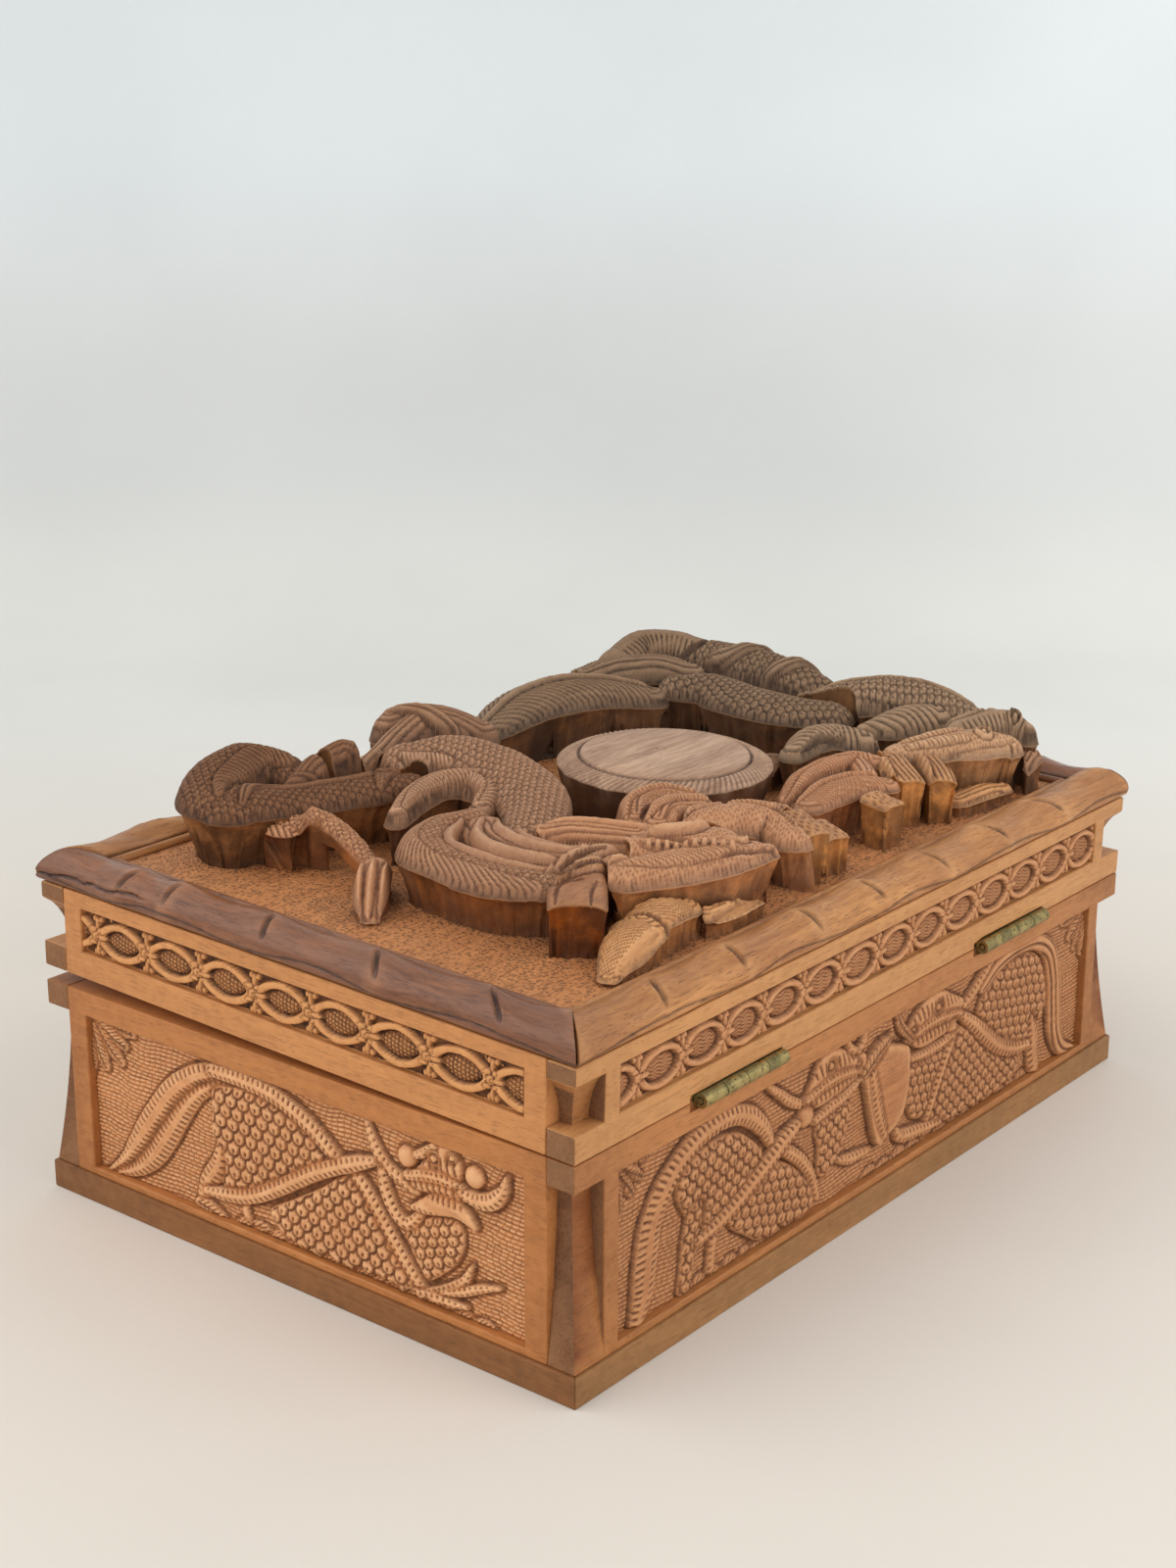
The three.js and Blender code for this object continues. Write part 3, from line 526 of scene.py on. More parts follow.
LONE_BEAST: tuple[Figure, ...] = (
    *fan(-83, 58, ((-64, 56), (-67.5, 51.5), (-69.5, 46), (-76, 43), (-82, 41.5)), 2.9),
    ridge(((-77, 10.5, 0.6), (-70, 16, 1.9), (-64.5, 22.5, 3.2), (-59.5, 29, 4), (-54, 36, 4.2), (-48.5, 42.7, 4),
        (-42.5, 47.8, 3.7), (-35.5, 52, 3.2), (-27, 54.8, 2.6)), 2.5, 0.9, HATCHED),
    ridge(((-75, 10.2, 0.6), (-65, 14.5, 2.3), (-57.5, 20.5, 3.4), (-52, 27.5, 3.8), (-46.8, 34.5, 3.4), (-41.8, 41,
        2.9), (-36.5, 46.2, 2.3), (-30, 50, 1.7), (-23, 52, 1)), 2.2, 0.9, HATCHED),
    plate(((-31, 49), (-24, 51.5), (-12, 52.5), (-3, 51), (5, 47.5), (11, 43.5), (16, 40), (12, 38), (5, 33), (-3, 28),
        (-12, 23), (-22, 20.5), (-29, 21), (-28, 26), (-30, 31), (-32, 37), (-31.5, 43)), 2.75, 0.9, SCALED),
    ridge(((-31, 54.8, 1.9), (-20, 55.2, 2.3), (-9, 54.4, 2.4), (-2, 52.6, 2.4), (5, 49.8, 2.4), (11, 46.2, 2.3), (16,
        42.6, 2.1), (20, 39.5, 1.6)), 2.9, 0.6, hatch(1.9, 0.55)),
    plate(((16, 37), (20, 38.5), (24, 36.5), (28, 32), (33, 26), (38, 19), (44, 13.5), (46, 10.5), (20, 9.8), (5, 9.8),
        (-3, 12), (-8, 16), (-10, 19.5), (-2, 24.5), (6, 29.5), (12, 33.5)), 2.75, 0.9, scales(4.6, 0.55, -12)),
    ridge(((20, 41, 1.4), (25, 38, 2), (29, 33.5, 2.1), (34, 27.5, 2.1), (39, 21.5, 2), (43, 17, 1.8), (47, 13.5,
        1.2)), 2.5, 0.6, hatch(1.9, 0.5)),
    ridge(((-29, 32, 2), (-30.5, 26, 3.2), (-35, 20, 3), (-38, 14, 1.8)), 2.2, 0.8, HATCHED),
    ridge(((-39, 12.5, 1.4), (-34, 11.8, 2.2), (-28, 9.8, 1.2)), 2.4, 0.8, feather(1.8, 0.4)),
    ridge(((-20, 11.5, 1.2), (-14, 11.8, 2.2), (-7, 9.8, 1.2)), 2.2, 0.8, feather(1.8, 0.4)),
    ridge(((-20, 17.5, 1), (-19.5, 14, 1.3), (-19, 11, 1.4)), 2.4, 0.6),
    ridge(((31, 46.2, 1), (24, 43.6, 2.1), (16, 40, 2.3), (8, 36, 2.4), (0, 31, 2.4), (-8, 26, 2.4), (-16, 21.7, 2.3),
        (-25, 18.9, 2.1), (-35, 17.4, 1.2)), 3.1, 0.8, hatch(2.1, 0.4)),
    plate(((40, 30), (46, 34), (52, 37), (58, 37.5), (60.5, 33), (58, 26), (53, 21), (48, 17.5), (45, 20), (42, 24.5)),
        2.4, 0.9, scales(3.8, 0.5, 20)),
    ridge(((27, 57, 0.8), (29.8, 50.5, 1.7), (33.5, 46, 1.8), (39, 43.6, 1.6), (44, 41.5, 1.2)), 2.4, 0.6, HATCHED),
    ridge(((32, 44.5, 1.2), (33.4, 39, 2), (36.5, 33.5, 2), (40.5, 31.4, 1.7), (44.5, 34.5, 1.5), (46, 39, 1.2)), 2.5,
        0.6, HATCHED),
    plate(((41, 46), (46, 50), (48, 54), (52, 57), (57, 56.8), (60, 53), (59.5, 49), (62, 46), (60, 43), (54, 42.3),
        (48, 42.5), (43, 43)), 2.8, 0.9, hatch(2.2, 0.4)),
    ridge(((41, 45.6, 1.1), (48, 47.6, 1.5), (55, 48.4, 1.5), (61, 47, 1.1)), 3.1, 0.5, hatch(1.7, 0.45)),
    ridge(((43, 51.6, 0.8), (47, 53.5, 1.3), (51, 56.6, 1)), 3.1, 0.5, hatch(1.7, 0.4)),
    ridge(((40.9, 50.4, 3), (41.1, 50.4, 3)), 2.8, 1.4),
    ridge(((63.9, 51.6, 3), (64.1, 51.6, 3)), 2.8, 1.4),
    ridge(((59, 46.4, 1), (65, 45.6, 2), (70, 47, 2.4), (73.5, 50.5, 1.8), (75, 55, 0.6)), 2.9, 0.8, hatch(1.8, 0.5)),
    plate(((42, 36.8), (46, 40), (50, 43), (56, 44), (62, 42), (65, 37.2), (58, 38.6), (48, 36.5)), 2.9, 0.8,
        hatch(1.9, 0.45)),
    *eye(51, 53.2, 2.2, 3.1),
    *eye(57, 55, 1.5, 3),
    ridge(((45, 12.5, 1.2), (54, 16.5, 1.8), (60, 21, 1.5), (63, 26.5, 0.5)), 2.7, 0.7, HATCHED),
    ridge(((52, 15.2, 0.9), (60, 18.4, 1.3), (66, 21.2, 1.2), (72.5, 23.5, 0.5)), 2.7, 0.7, HATCHED),
    ridge(((28, 10.6, 1.2), (40, 11.4, 1.8), (52, 13.2, 1.7), (61, 14.2, 0.7)), 2.9, 0.7, HATCHED),
    *scallops(-24, 76, 10.4, 6.5),
)

FACING_BEASTS: tuple[Figure, ...] = (
    *fan(-122, 58.5, ((-108, 56.5), (-110, 51.5), (-113.5, 48), (-119, 45.5)), 2.4),
    ridge(((-113.5, 9, 2.2), (-110, 18, 4.2), (-108.6, 27, 4.7), (-106.8, 36, 4.4), (-102, 43.8, 4), (-95, 49.5, 3.5),
        (-86, 53.4, 3), (-77, 54.6, 2.8), (-69, 53.6, 2.9), (-62, 50.2, 3), (-57, 45.5, 2.6), (-53.5, 40, 1.6)), 2.7,
        0.8, hatch(2, 0.5)),
    plate(((-95, 45), (-88, 48.6), (-78, 50), (-69.5, 48.6), (-63, 44.5), (-57.5, 38.5), (-62, 34), (-70, 30), (-79,
        27.5), (-85, 24), (-88.5, 26), (-91, 32), (-95, 39)), 2.7, 1, FINE_SCALED),
    ridge(((-87, 33, 3.4), (-89, 26, 3.6), (-90.5, 19, 3), (-92, 10.5, 2.6)), 2.3, 0.8, scales(3.6, 0.45)),
    ridge(((-79, 22, 1.6), (-80, 16, 1.6), (-80, 10.5, 2.2)), 2.3, 0.7, HATCHED),
    plate(((-72, 26.5), (-62, 31), (-55, 33.8), (-48, 32), (-42, 28.5), (-37, 24), (-32, 19), (-32, 14), (-38, 11.5),
        (-50, 10.8), (-58, 12.5), (-65, 17), (-71, 21.5)), 2.7, 1, scales(4.1, 0.55, -16)),
    ridge(((-51, 37.5, 1.4), (-44, 33.4, 2), (-38, 28.5, 2), (-33.4, 22.5, 1.9), (-30.5, 15, 1.3)), 2.5, 0.6, HATCHED),
    ridge(((-40, 41.4, 1.4), (-47, 38.7, 2.6), (-54, 35.4, 2.7), (-62, 31.8, 2.7), (-70, 28.3, 2.5), (-79, 25.6, 2.2),
        (-87, 24.2, 1.2)), 3.1, 0.8, HATCHED),
    plate(((-31, 36), (-22, 38.5), (-14, 37.5), (-15.5, 30), (-20, 23), (-26, 19.5), (-30, 22), (-29.5, 29)), 2.3, 0.9,
        scales(3.7, 0.5, 10)),
    ridge(((-56, 57.5, 0.8), (-50, 53, 1.4), (-44, 48.5, 1.6), (-38, 45.5, 1.2)), 2.5, 0.5, HATCHED),
    plate(((-38, 46.5), (-34, 52), (-30, 56.5), (-23, 57.3), (-17, 54.5), (-12, 51.8), (-7.5, 50.5), (-9, 46), (-18,
        43.5), (-28, 42.5), (-36, 43)), 2.9, 0.9, hatch(2.2, 0.4)),
    ridge(((-38, 46.5, 1), (-30, 48.3, 1.6), (-21, 48.5, 1.6), (-12, 47.2, 1)), 3.15, 0.5, hatch(1.7, 0.45)),
    ridge(((-36.6, 41.6, 3.4), (-36.4, 41.6, 3.4)), 2.8, 1.4),
    ridge(((-33, 38.6, 1), (-26, 40, 1.7), (-18, 41, 1.6), (-10, 43.4, 0.8)), 2.8, 0.6, hatch(1.7, 0.4)),
    *eye(-25.5, 52.8, 2.4, 3.1),
    *eye(-11.5, 48.8, 1.2, 3),
    ridge(((-17, 57.6, 0.8), (-15, 54.5, 1.3), (-11, 52.5, 0.9)), 2.6, 0.5, HATCHED),
    ridge(((-8, 57.8, 0.8), (-8.5, 55, 1.4), (-11, 52.4, 0.8)), 2.5, 0.5, HATCHED),
    ridge(((-20, 22, 0.9), (-13, 20, 1.8), (-4, 19.3, 1)), 2.4, 0.7, HATCHED),
    plate(((15, 38), (22, 39), (32, 38), (39, 36.5), (34, 28), (28, 20), (20, 20.5), (16, 28)), 2.3, 0.9, scales(3.7,
        0.5, -10)),
    ridge(((57, 49.5, 1.2), (67, 54.6, 1.9), (80, 56.2, 2.1), (91, 54.8, 2.7), (98.5, 49.8, 3.6), (102, 41, 4.2),
        (103.6, 31, 4.2), (105.2, 21, 3.8), (110, 13.5, 2.8), (119, 10, 1)), 2.8, 0.8, ribs(2.6, 0.4)),
    plate(((57, 46), (64, 50.5), (72, 53.4), (80, 54), (88, 52.4), (93.5, 48), (97, 40), (97.6, 32), (92, 27), (88,
        31), (87, 24), (79, 23.5), (70, 27.5), (62, 34), (56, 41)), 2.7, 1, scales(4.1, 0.55, -12)),
    ridge(((89, 31, 1.5), (90.5, 24, 3.4), (91.5, 17, 3.2), (93, 10.5, 3)), 2.4, 0.8, hatch(2.2, 0.4)),
    plate(((43, 41), (50, 40.5), (56, 36), (62, 30), (70, 25), (79, 22), (82, 17), (76, 12), (60, 11), (44, 11.5), (32,
        13.5), (30, 18), (34, 27), (39, 35)), 2.6, 1, scales(4.1, 0.55, 12)),
    ridge(((44, 46, 1.2), (52, 40.5, 2.4), (60, 34, 2.8), (68, 28, 2.7), (77, 24, 2.4), (87, 22.2, 1.4)), 3.1, 0.8,
        hatch(2.2, 0.3)),
    ridge(((43, 42, 1.2), (37, 34.5, 1.9), (32, 26.5, 1.9), (27.5, 18, 1.1)), 2.8, 0.6, HATCHED),
    plate(((15, 50), (20, 54.5), (27, 57.3), (34, 56.8), (40, 53.5), (46, 50), (44, 44.5), (34, 42.3), (24, 41.8), (17,
        45)), 2.9, 0.9, hatch(2.2, 0.4)),
    ridge(((15, 47, 1), (24, 48.6, 1.6), (34, 48.4, 1.6), (45, 46.5, 1)), 3.15, 0.5, hatch(1.7, 0.45)),
    *eye(31, 52.5, 2.3, 3.1),
    *eye(18, 49.5, 1.2, 3),
    ridge(((39.8, 43.4, 2.8), (40, 43.4, 2.8)), 2.9, 1.3),
    ridge(((17, 40.4, 0.9), (25, 39.8, 1.6), (34, 39.8, 1.6), (41, 40.6, 0.9)), 2.8, 0.6, hatch(1.7, 0.4)),
    ridge(((46, 47.5, 1.2), (52, 50.5, 1.8), (58, 54.5, 1.4), (63, 57.5, 0.6)), 2.6, 0.6, HATCHED),
    ridge(((10, 21, 1), (13, 17.6, 2), (22, 15.8, 2), (36, 14, 1)), 2.7, 0.7, HATCHED),
    ridge(((9, 57.6, 0.5), (12, 52, 1.6), (18, 46.5, 0.8)), 2.4, 0.5, feather(1.6, 0.3)),
    plate(((-8, 44.5), (-3, 49.5), (3.5, 49.5), (10, 47.5), (15.2, 44.5), (15.2, 33), (12.5, 25), (6, 21.5), (0, 19.5),
        (-3.4, 27), (-6.2, 36)), 3, 0.25),
    ridge(((-4.4, 43.5, 1.6), (-2.4, 36, 2.1), (0.2, 28, 2.1), (3, 22, 1.2)), 3.15, 0.4, hatch(2, 0.5)),
    ridge(((-9.5, 43.5, 0.6), (-5, 46.8, 2), (0, 49.6, 2), (6, 51.8, 0.5)), 3.2, 0.7, feather(1.8, 0.25)),
    *fan(122.5, 58.5, ((108, 56), (112.5, 50), (116.5, 45.5), (121, 42.5)), 2.8),
    *scallops(-88, -36, 10.4, 7),
    *scallops(-6, 30, 10.6, 8),
    *scallops(34, 90, 10.4, 7),
)


# ---------------------------------------------------------------- meshes


class Facing(Enum):
    """Which side of the box a carved field looks out of."""

    RIGHT = ((1, 0), (0, 1))
    LEFT = ((-1, 0), (0, -1))
    BACK = ((0, 1), (-1, 0))
    FRONT = ((0, -1), (1, 0))

    def place(self, across: Array, up: Array, out: Array) -> Array:
        """Turns places on the field into places in the frame.

        Args:
            across: Distance to the right, as seen from outside.
            up: Height.
            out: Distance out from the box's middle.

        Returns:
            One row of three coordinates for each point.
        """
        (nx, ny), (rx, ry) = self.value
        return np.stack([nx * out + rx * across, ny * out + ry * across, up], axis=-1)


def mesh_from(name: str, work: Work) -> bpy.types.Mesh:
    """Turns a bmesh, which is freed, into a mesh.

    Args:
        name: Name of the mesh.
        work: The bmesh.

    Returns:
        The mesh.
    """
    mesh = bpy.data.meshes.new(name)
    work.to_mesh(mesh)
    work.free()
    return mesh


def new_object(name: str, data: bpy.types.ID) -> bpy.types.Object:
    """Makes an object at the world's origin.

    Args:
        name: Its name.
        data: Its mesh, camera or light.

    Returns:
        The object.
    """
    made = bpy.data.objects.new(name, data)
    bpy.context.scene.collection.objects.link(made)
    return made


def make_piece(name: str, shape: Work | bpy.types.Mesh, body: str, finishes: Sequence[str],
               replaces: Sequence[str] = (), smooth: bool = True) -> bpy.types.Object:
    """Makes a piece and sets it on its body.

    Args:
        name: Name of the piece.
        shape: Its mesh, or a bmesh, which is freed.
        body: Body that carries it.
        finishes: Its finishes in slot order.
        replaces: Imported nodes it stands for.
        smooth: Whether faces are shaded smooth.

    Returns:
        The new object.
    """
    mesh = mesh_from(name, shape) if isinstance(shape, Work) else shape
    mesh.polygons.foreach_set("use_smooth", np.full(len(mesh.polygons), smooth))
    for finish in finishes:
        mesh.materials.append(finished(finish))
    piece = new_object(name, mesh)
    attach(piece, body)
    if replaces:
        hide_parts(*replaces)
    LOG.info("%s: %d faces on %s", name, len(mesh.polygons), body)
    return piece


def put_attribute(mesh: bpy.types.Mesh, name: str, values: Array, rest: float = 0.0) -> None:
    """Stores one number for each vertex.

    Args:
        mesh: Mesh to mark.
        name: Name of the attribute.
        values: Numbers of the first vertices.
        rest: Number of all further vertices.
    """
    extra = np.full(len(mesh.vertices) - len(values), rest)
    layer = mesh.attributes.get(name) or mesh.attributes.new(name, "FLOAT", "POINT")
    layer.data.foreach_set("value", np.concatenate([values, extra]).astype(np.float32))


def cad_copy(node: str) -> Work:
    """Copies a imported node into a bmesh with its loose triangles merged."""
    work = bmesh.new()
    work.from_mesh(frame["nodes"][node].data)
    bmesh.ops.remove_doubles(work, verts=work.verts, dist=2e-6)
    return work


def dress_node(node: str, finish: str) -> bpy.types.Object:
    """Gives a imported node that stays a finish.

    Args:
        node: Name of the node.
        finish: The finish.

    Returns:
        The node's object.
    """
    kept = frame["nodes"][node]
    kept.data.materials.clear()
    kept.data.materials.append(finished(finish))
    return kept


def flat_grid(work: Work, columns: int, rows: int) -> tuple[Array, Array, Array]:
    """Makes a flat grid from -1 to 1.

    Args:
        work: Where it is made.
        columns: Its columns of faces.
        rows: Its rows of faces.

    Returns:
        The vertices' flat coordinates, their columns and their rows.
    """
    bmesh.ops.create_grid(work, x_segments=columns, y_segments=rows, size=1)
    flat = flat_places(work.verts)
    column = np.round((flat[:, 0] + 1) / 2 * columns).astype(int)
    row = np.round((flat[:, 1] + 1) / 2 * rows).astype(int)
    return flat, column, row


def flat_places(verts: Sequence[bmesh.types.BMVert]) -> Array:
    """Gives the first two coordinates of vertices."""
    return np.array([v.co[:2] for v in verts])


def move_to(verts: Sequence[bmesh.types.BMVert], places: Array) -> None:
    """Moves vertices to places, one row for each."""
    for vert, place in zip(verts, places):
        vert.co = place


def rim_edges(work: Work) -> Edges:
    """Gives the open edges."""
    return [e for e in work.edges if e.is_boundary]


def extruded(work: Work, edges: Edges) -> tuple[list[bmesh.types.BMVert], Edges]:
    """Extrudes edges, and gives the new vertices and edges."""
    made = bmesh.ops.extrude_edge_only(work, edges=edges)["geom"]
    return ([g for g in made if isinstance(g, bmesh.types.BMVert)],
            [g for g in made if isinstance(g, bmesh.types.BMEdge)])


def close_holes(work: Work) -> None:
    """Fills every open border."""
    bmesh.ops.holes_fill(work, edges=rim_edges(work))


def turn_with_lid(work: Work) -> None:
    """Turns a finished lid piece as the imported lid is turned."""
    bmesh.ops.transform(work, matrix=LID_TURN, verts=work.verts)


def vertex_rows(mesh: bpy.types.Mesh, key: str) -> Array:
    """Reads a vector of each vertex.

    Args:
        mesh: Mesh to read.
        key: Which vector.

    Returns:
        One row for each vertex.
    """
    rows = np.zeros(len(mesh.vertices) * 3)
    mesh.vertices.foreach_get(key, rows)
    return rows.reshape(-1, 3)


def closed_lid(places: Array) -> Array:
    """Turns places on the resting lid, in metres, into millimetres on the closed lid."""
    back = np.array(LID_TURN.inverted())
    return (places @ back[:3, :3].T + back[:3, 3]) / MM


@dataclass
class CarvedSheet:
    """A closed thin sheet whose front follows a grid of heights."""

    facing: Facing
    floor: float
    across: tuple[float, float]
    up: tuple[float, float]
    step: float
    back: float = 0.6

    def build(self, name: str, paint: Callable[[Field], None], body: str, slot: str,
              finish: str) -> None:
        """Carves the sheet.

        Args:
            name: Name of the piece.
            paint: Carves heights and cut marks into a field, in place.
            body: Body that carries it; lid pieces are turned with the lid.
            slot: Material slot of the record; not used.
            finish: Its finish.
        """
        (left, right), (low, high) = self.across, self.up
        nx = max(2, round((right - left) / self.step))
        ny = max(2, round((high - low) / self.step))
        work = bmesh.new()
        _, column, row = flat_grid(work, nx, ny)
        x = left + (right - left) * column / nx
        y = low + (high - low) * row / ny
        face = Field(x, y, np.full(x.shape, 0.5), np.zeros(x.shape))
        paint(face)
        cuts, rubs = self.worn(face, column, row)
        border = np.minimum(np.minimum(x - left, right - x), np.minimum(y - low, high - y))
        heights = np.where(border < self.step * 0.5, np.minimum(face.heights, 0.4), face.heights)
        move_to(work.verts, self.facing.place(x, y, self.floor + heights) * MM)
        outward = Vector(self.facing.place(np.array(0.0), np.array(0.0), np.array(1.0)))
        for vert in extruded(work, rim_edges(work))[0]:
            vert.co += outward * ((self.floor - self.back) * MM - vert.co.dot(outward))
        close_holes(work)
        if body == "lid":
            turn_with_lid(work)
        piece = make_piece(name, work, body, [finish])
        # Every further vertex, on the sheet's back and rim, is painted fully dark as shade.
        put_attribute(piece.data, "cut", cuts, 1.0)
        put_attribute(piece.data, "rub", rubs)

    def worn(self, face: Field, column: Array, row: Array) -> tuple[Array, Array]:
        """Works out the painted shade and dirt in hollows, and where hands rub.

        Args:
            face: The carved field.
            column: Column of each point.
            row: Row of each point.

        Returns:
            How dark and how rubbed each point is.
        """
        board = np.zeros((column.max() + 1, row.max() + 1))
        board[column, row] = face.heights
        near, wide = blur(board, 0.9 / self.step), blur(board, 3.0 / self.step)
        # Hollows are painted darker: shade in them, with dirt.
        hollow = np.clip((near - board) / 0.35, 0, 1) + np.clip((wide - board) / 1.6, 0, 1) * 0.7
        proud = np.clip((board - near) / 0.25, 0, 1) * 0.6 + np.clip((board - wide) / 1.2, 0, 1) * 0.7
        pale = np.clip(-face.cuts, 0, 1)
        cuts = np.clip(np.maximum(face.cuts, 0) + hollow[column, row] * 0.6, 0, 1)
        return cuts, np.clip(proud[column, row] + pale - cuts * 0.6, 0, 1)


# ---------------------------------------------------------------- finishes


class Grain(Enum):
    """Which way the wood's fibres run, as the stretch of the pattern on each axis."""

    ALONG_X = (0.09, 1.0, 1.0)
    ALONG_Y = (1.0, 0.09, 1.0)
    END = (0.8, 0.8, 0.8)


class NodeSheet:
    """Lays out shader nodes in a tree."""

    def __init__(self, tree: bpy.types.NodeTree) -> None:
        """Keeps the tree."""
        self.tree = tree

    def add(self, kind: str, settings: dict | None = None, **inputs: object) -> bpy.types.Node:
        """Adds a node.

        Args:
            kind: Blender's name of the node type.
            settings: Values of the node's own settings.
            **inputs: Values or sockets for its inputs; spaces are written as underscores.

        Returns:
            The node.
        """
        node = self.tree.nodes.new(kind)
        for key, value in (settings or {}).items():
            setattr(node, key, value)
        for key, value in inputs.items():
            name = key.replace("_", " ").strip()
            self.feed(node.inputs[int(name) if name.isdigit() else name], value)
        return node

    def feed(self, socket: Socket, value: object) -> None:
        """Links or sets an input.

        Args:
            socket: The input.
            value: Another node's output, a colour or a number.
        """
        if isinstance(value, bpy.types.NodeSocket):
            self.tree.links.new(value, socket)
        elif isinstance(value, tuple) and len(value) == 3 and socket.type == "RGBA":
            socket.default_value = (*value, 1.0)
        else:
            socket.default_value = value

    def maths(self, operation: str, a: object, b: object = 0.0, clamp: bool = False) -> Socket:
        """Adds a Math node.

        Args:
            operation: Its operation.
            a: First value.
            b: Second value.
            clamp: Whether the result stays from 0 to 1.

        Returns:
            Its output.
        """
        return self.add("ShaderNodeMath", {"operation": operation, "use_clamp": clamp}, _0=a, _1=b).outputs[0]

    def times(self, a: object, b: object, clamp: bool = False) -> Socket:
        """Multiplies two values."""
        return self.maths("MULTIPLY", a, b, clamp)

    def blend(self, factor: object, a: object, b: object, kind: str = "MIX") -> Socket:
        """Adds a colour mix.

        Args:
            factor: How much of b.
            a: First colour.
            b: Second colour.
            kind: Blend type.

        Returns:
            Its output.
        """
        return self.add("ShaderNodeMix", {"data_type": "RGBA", "blend_type": kind}, Factor=factor, _6=a,
                        _7=b).outputs[2]

    def span(self, value: object, low: float, high: float, to_low: float = 0.0, to_high: float = 1.0) -> Socket:
        """Adds a smooth Map Range.

        Args:
            value: Number to map.
            low: Start of its range.
            high: End of its range.
            to_low: Result at the start.
            to_high: Result at the end.

        Returns:
            Its output.
        """
        return self.add("ShaderNodeMapRange", {"interpolation_type": "SMOOTHSTEP"}, Value=value, From_Min=low,
                        From_Max=high, To_Min=to_low, To_Max=to_high).outputs[0]

    def noise(self, vector: object, scale: object, detail: float, **more: float) -> Socket:
        """Adds a Noise Texture.

        Args:
            vector: Where it is read.
            scale: Its scale.
            detail: Its detail.
            **more: Values of its further inputs.

        Returns:
            Its factor.
        """
        return self.add("ShaderNodeTexNoise", Vector=vector, Scale=scale, Detail=detail, **more).outputs[0]

    def attribute(self, name: str) -> Socket:
        """Reads a number stored on the vertices."""
        return self.add("ShaderNodeAttribute", {"attribute_name": name}).outputs["Fac"]

    def bump(self, shader: bpy.types.Node, height: object, strength: float, deep: float) -> None:
        """Raises a shader's surface.

        Args:
            shader: The shader.
            height: Height of its surface.
            strength: How much of it shows.
            deep: Depth of the full height in millimetres.
        """
        node = self.add("ShaderNodeBump", Strength=strength, Distance=deep * MM, Height=height)
        self.feed(shader.inputs["Normal"], node.outputs[0])


def new_material(name: str) -> tuple[bpy.types.Material, NodeSheet, bpy.types.Node, Socket]:
    """Starts a material.

    Args:
        name: Its name.

    Returns:
        The material, its sheet, its shader and the object coordinates.
    """
    made = bpy.data.materials.new(name)
    made.use_nodes = True
    sheet = NodeSheet(made.node_tree)
    place = sheet.add("ShaderNodeTexCoord").outputs["Object"]
    return made, sheet, made.node_tree.nodes["Principled BSDF"], place


def new_group(name: str, inputs: dict[str, tuple[str, object]], outputs: dict[str, str],
              ) -> tuple[bpy.types.NodeTree, NodeSheet, bpy.types.NodeOutputs, bpy.types.NodeInputs]:
    """Starts a shader node group with named sockets.

    Args:
        name: Name of the group.
        inputs: Socket type and starting value for each input.
        outputs: Socket type for each output.

    Returns:
        The group, its sheet, and the sockets that lead in and out.
    """
    tree = bpy.data.node_groups.new(name, "ShaderNodeTree")
    for key, (kind, value) in inputs.items():
        socket = tree.interface.new_socket(key, in_out="INPUT", socket_type="NodeSocket" + kind)
        if value is not None:
            socket.default_value = value
    for key, kind in outputs.items():
        tree.interface.new_socket(key, in_out="OUTPUT", socket_type="NodeSocket" + kind)
    return (tree, NodeSheet(tree), tree.nodes.new("NodeGroupInput").outputs,
            tree.nodes.new("NodeGroupOutput").inputs)


@cache
def wood_grain_group() -> bpy.types.NodeTree:
    """Makes the group for fibres, figure and pores."""
    tree, sheet, source, sink = new_group(
        "wood_grain",
        {"Vector": ("Vector", None), "Stretch": ("Vector", (0.09, 1.0, 1.0)), "Fineness": ("Float", 900.0)},
        {"Streak": "Float", "Figure": "Float", "Pores": "Float"})
    stretched = sheet.add("ShaderNodeVectorMath", {"operation": "MULTIPLY"},
                          _0=source["Vector"], _1=source["Stretch"]).outputs[0]
    warp = sheet.add("ShaderNodeTexNoise", Vector=source["Vector"], Scale=24.0, Detail=2.0).outputs["Color"]
    pull = sheet.add("ShaderNodeVectorMath", {"operation": "SCALE"}, _0=warp, Scale=0.004).outputs[0]
    bent = sheet.add("ShaderNodeVectorMath", {"operation": "ADD"}, _0=stretched, _1=pull).outputs[0]
    streak = sheet.noise(bent, source["Fineness"], 5.0, Roughness=0.62)
    figure = sheet.noise(bent, 120.0, 3.0, Distortion=1.2)
    pores = sheet.noise(bent, 2300.0, 1.0)
    sheet.feed(sink["Streak"], sheet.span(streak, 0.32, 0.68))
    sheet.feed(sink["Figure"], sheet.span(figure, 0.33, 0.67))
    sheet.feed(sink["Pores"], sheet.span(pores, 0.6, 0.72))
    return tree


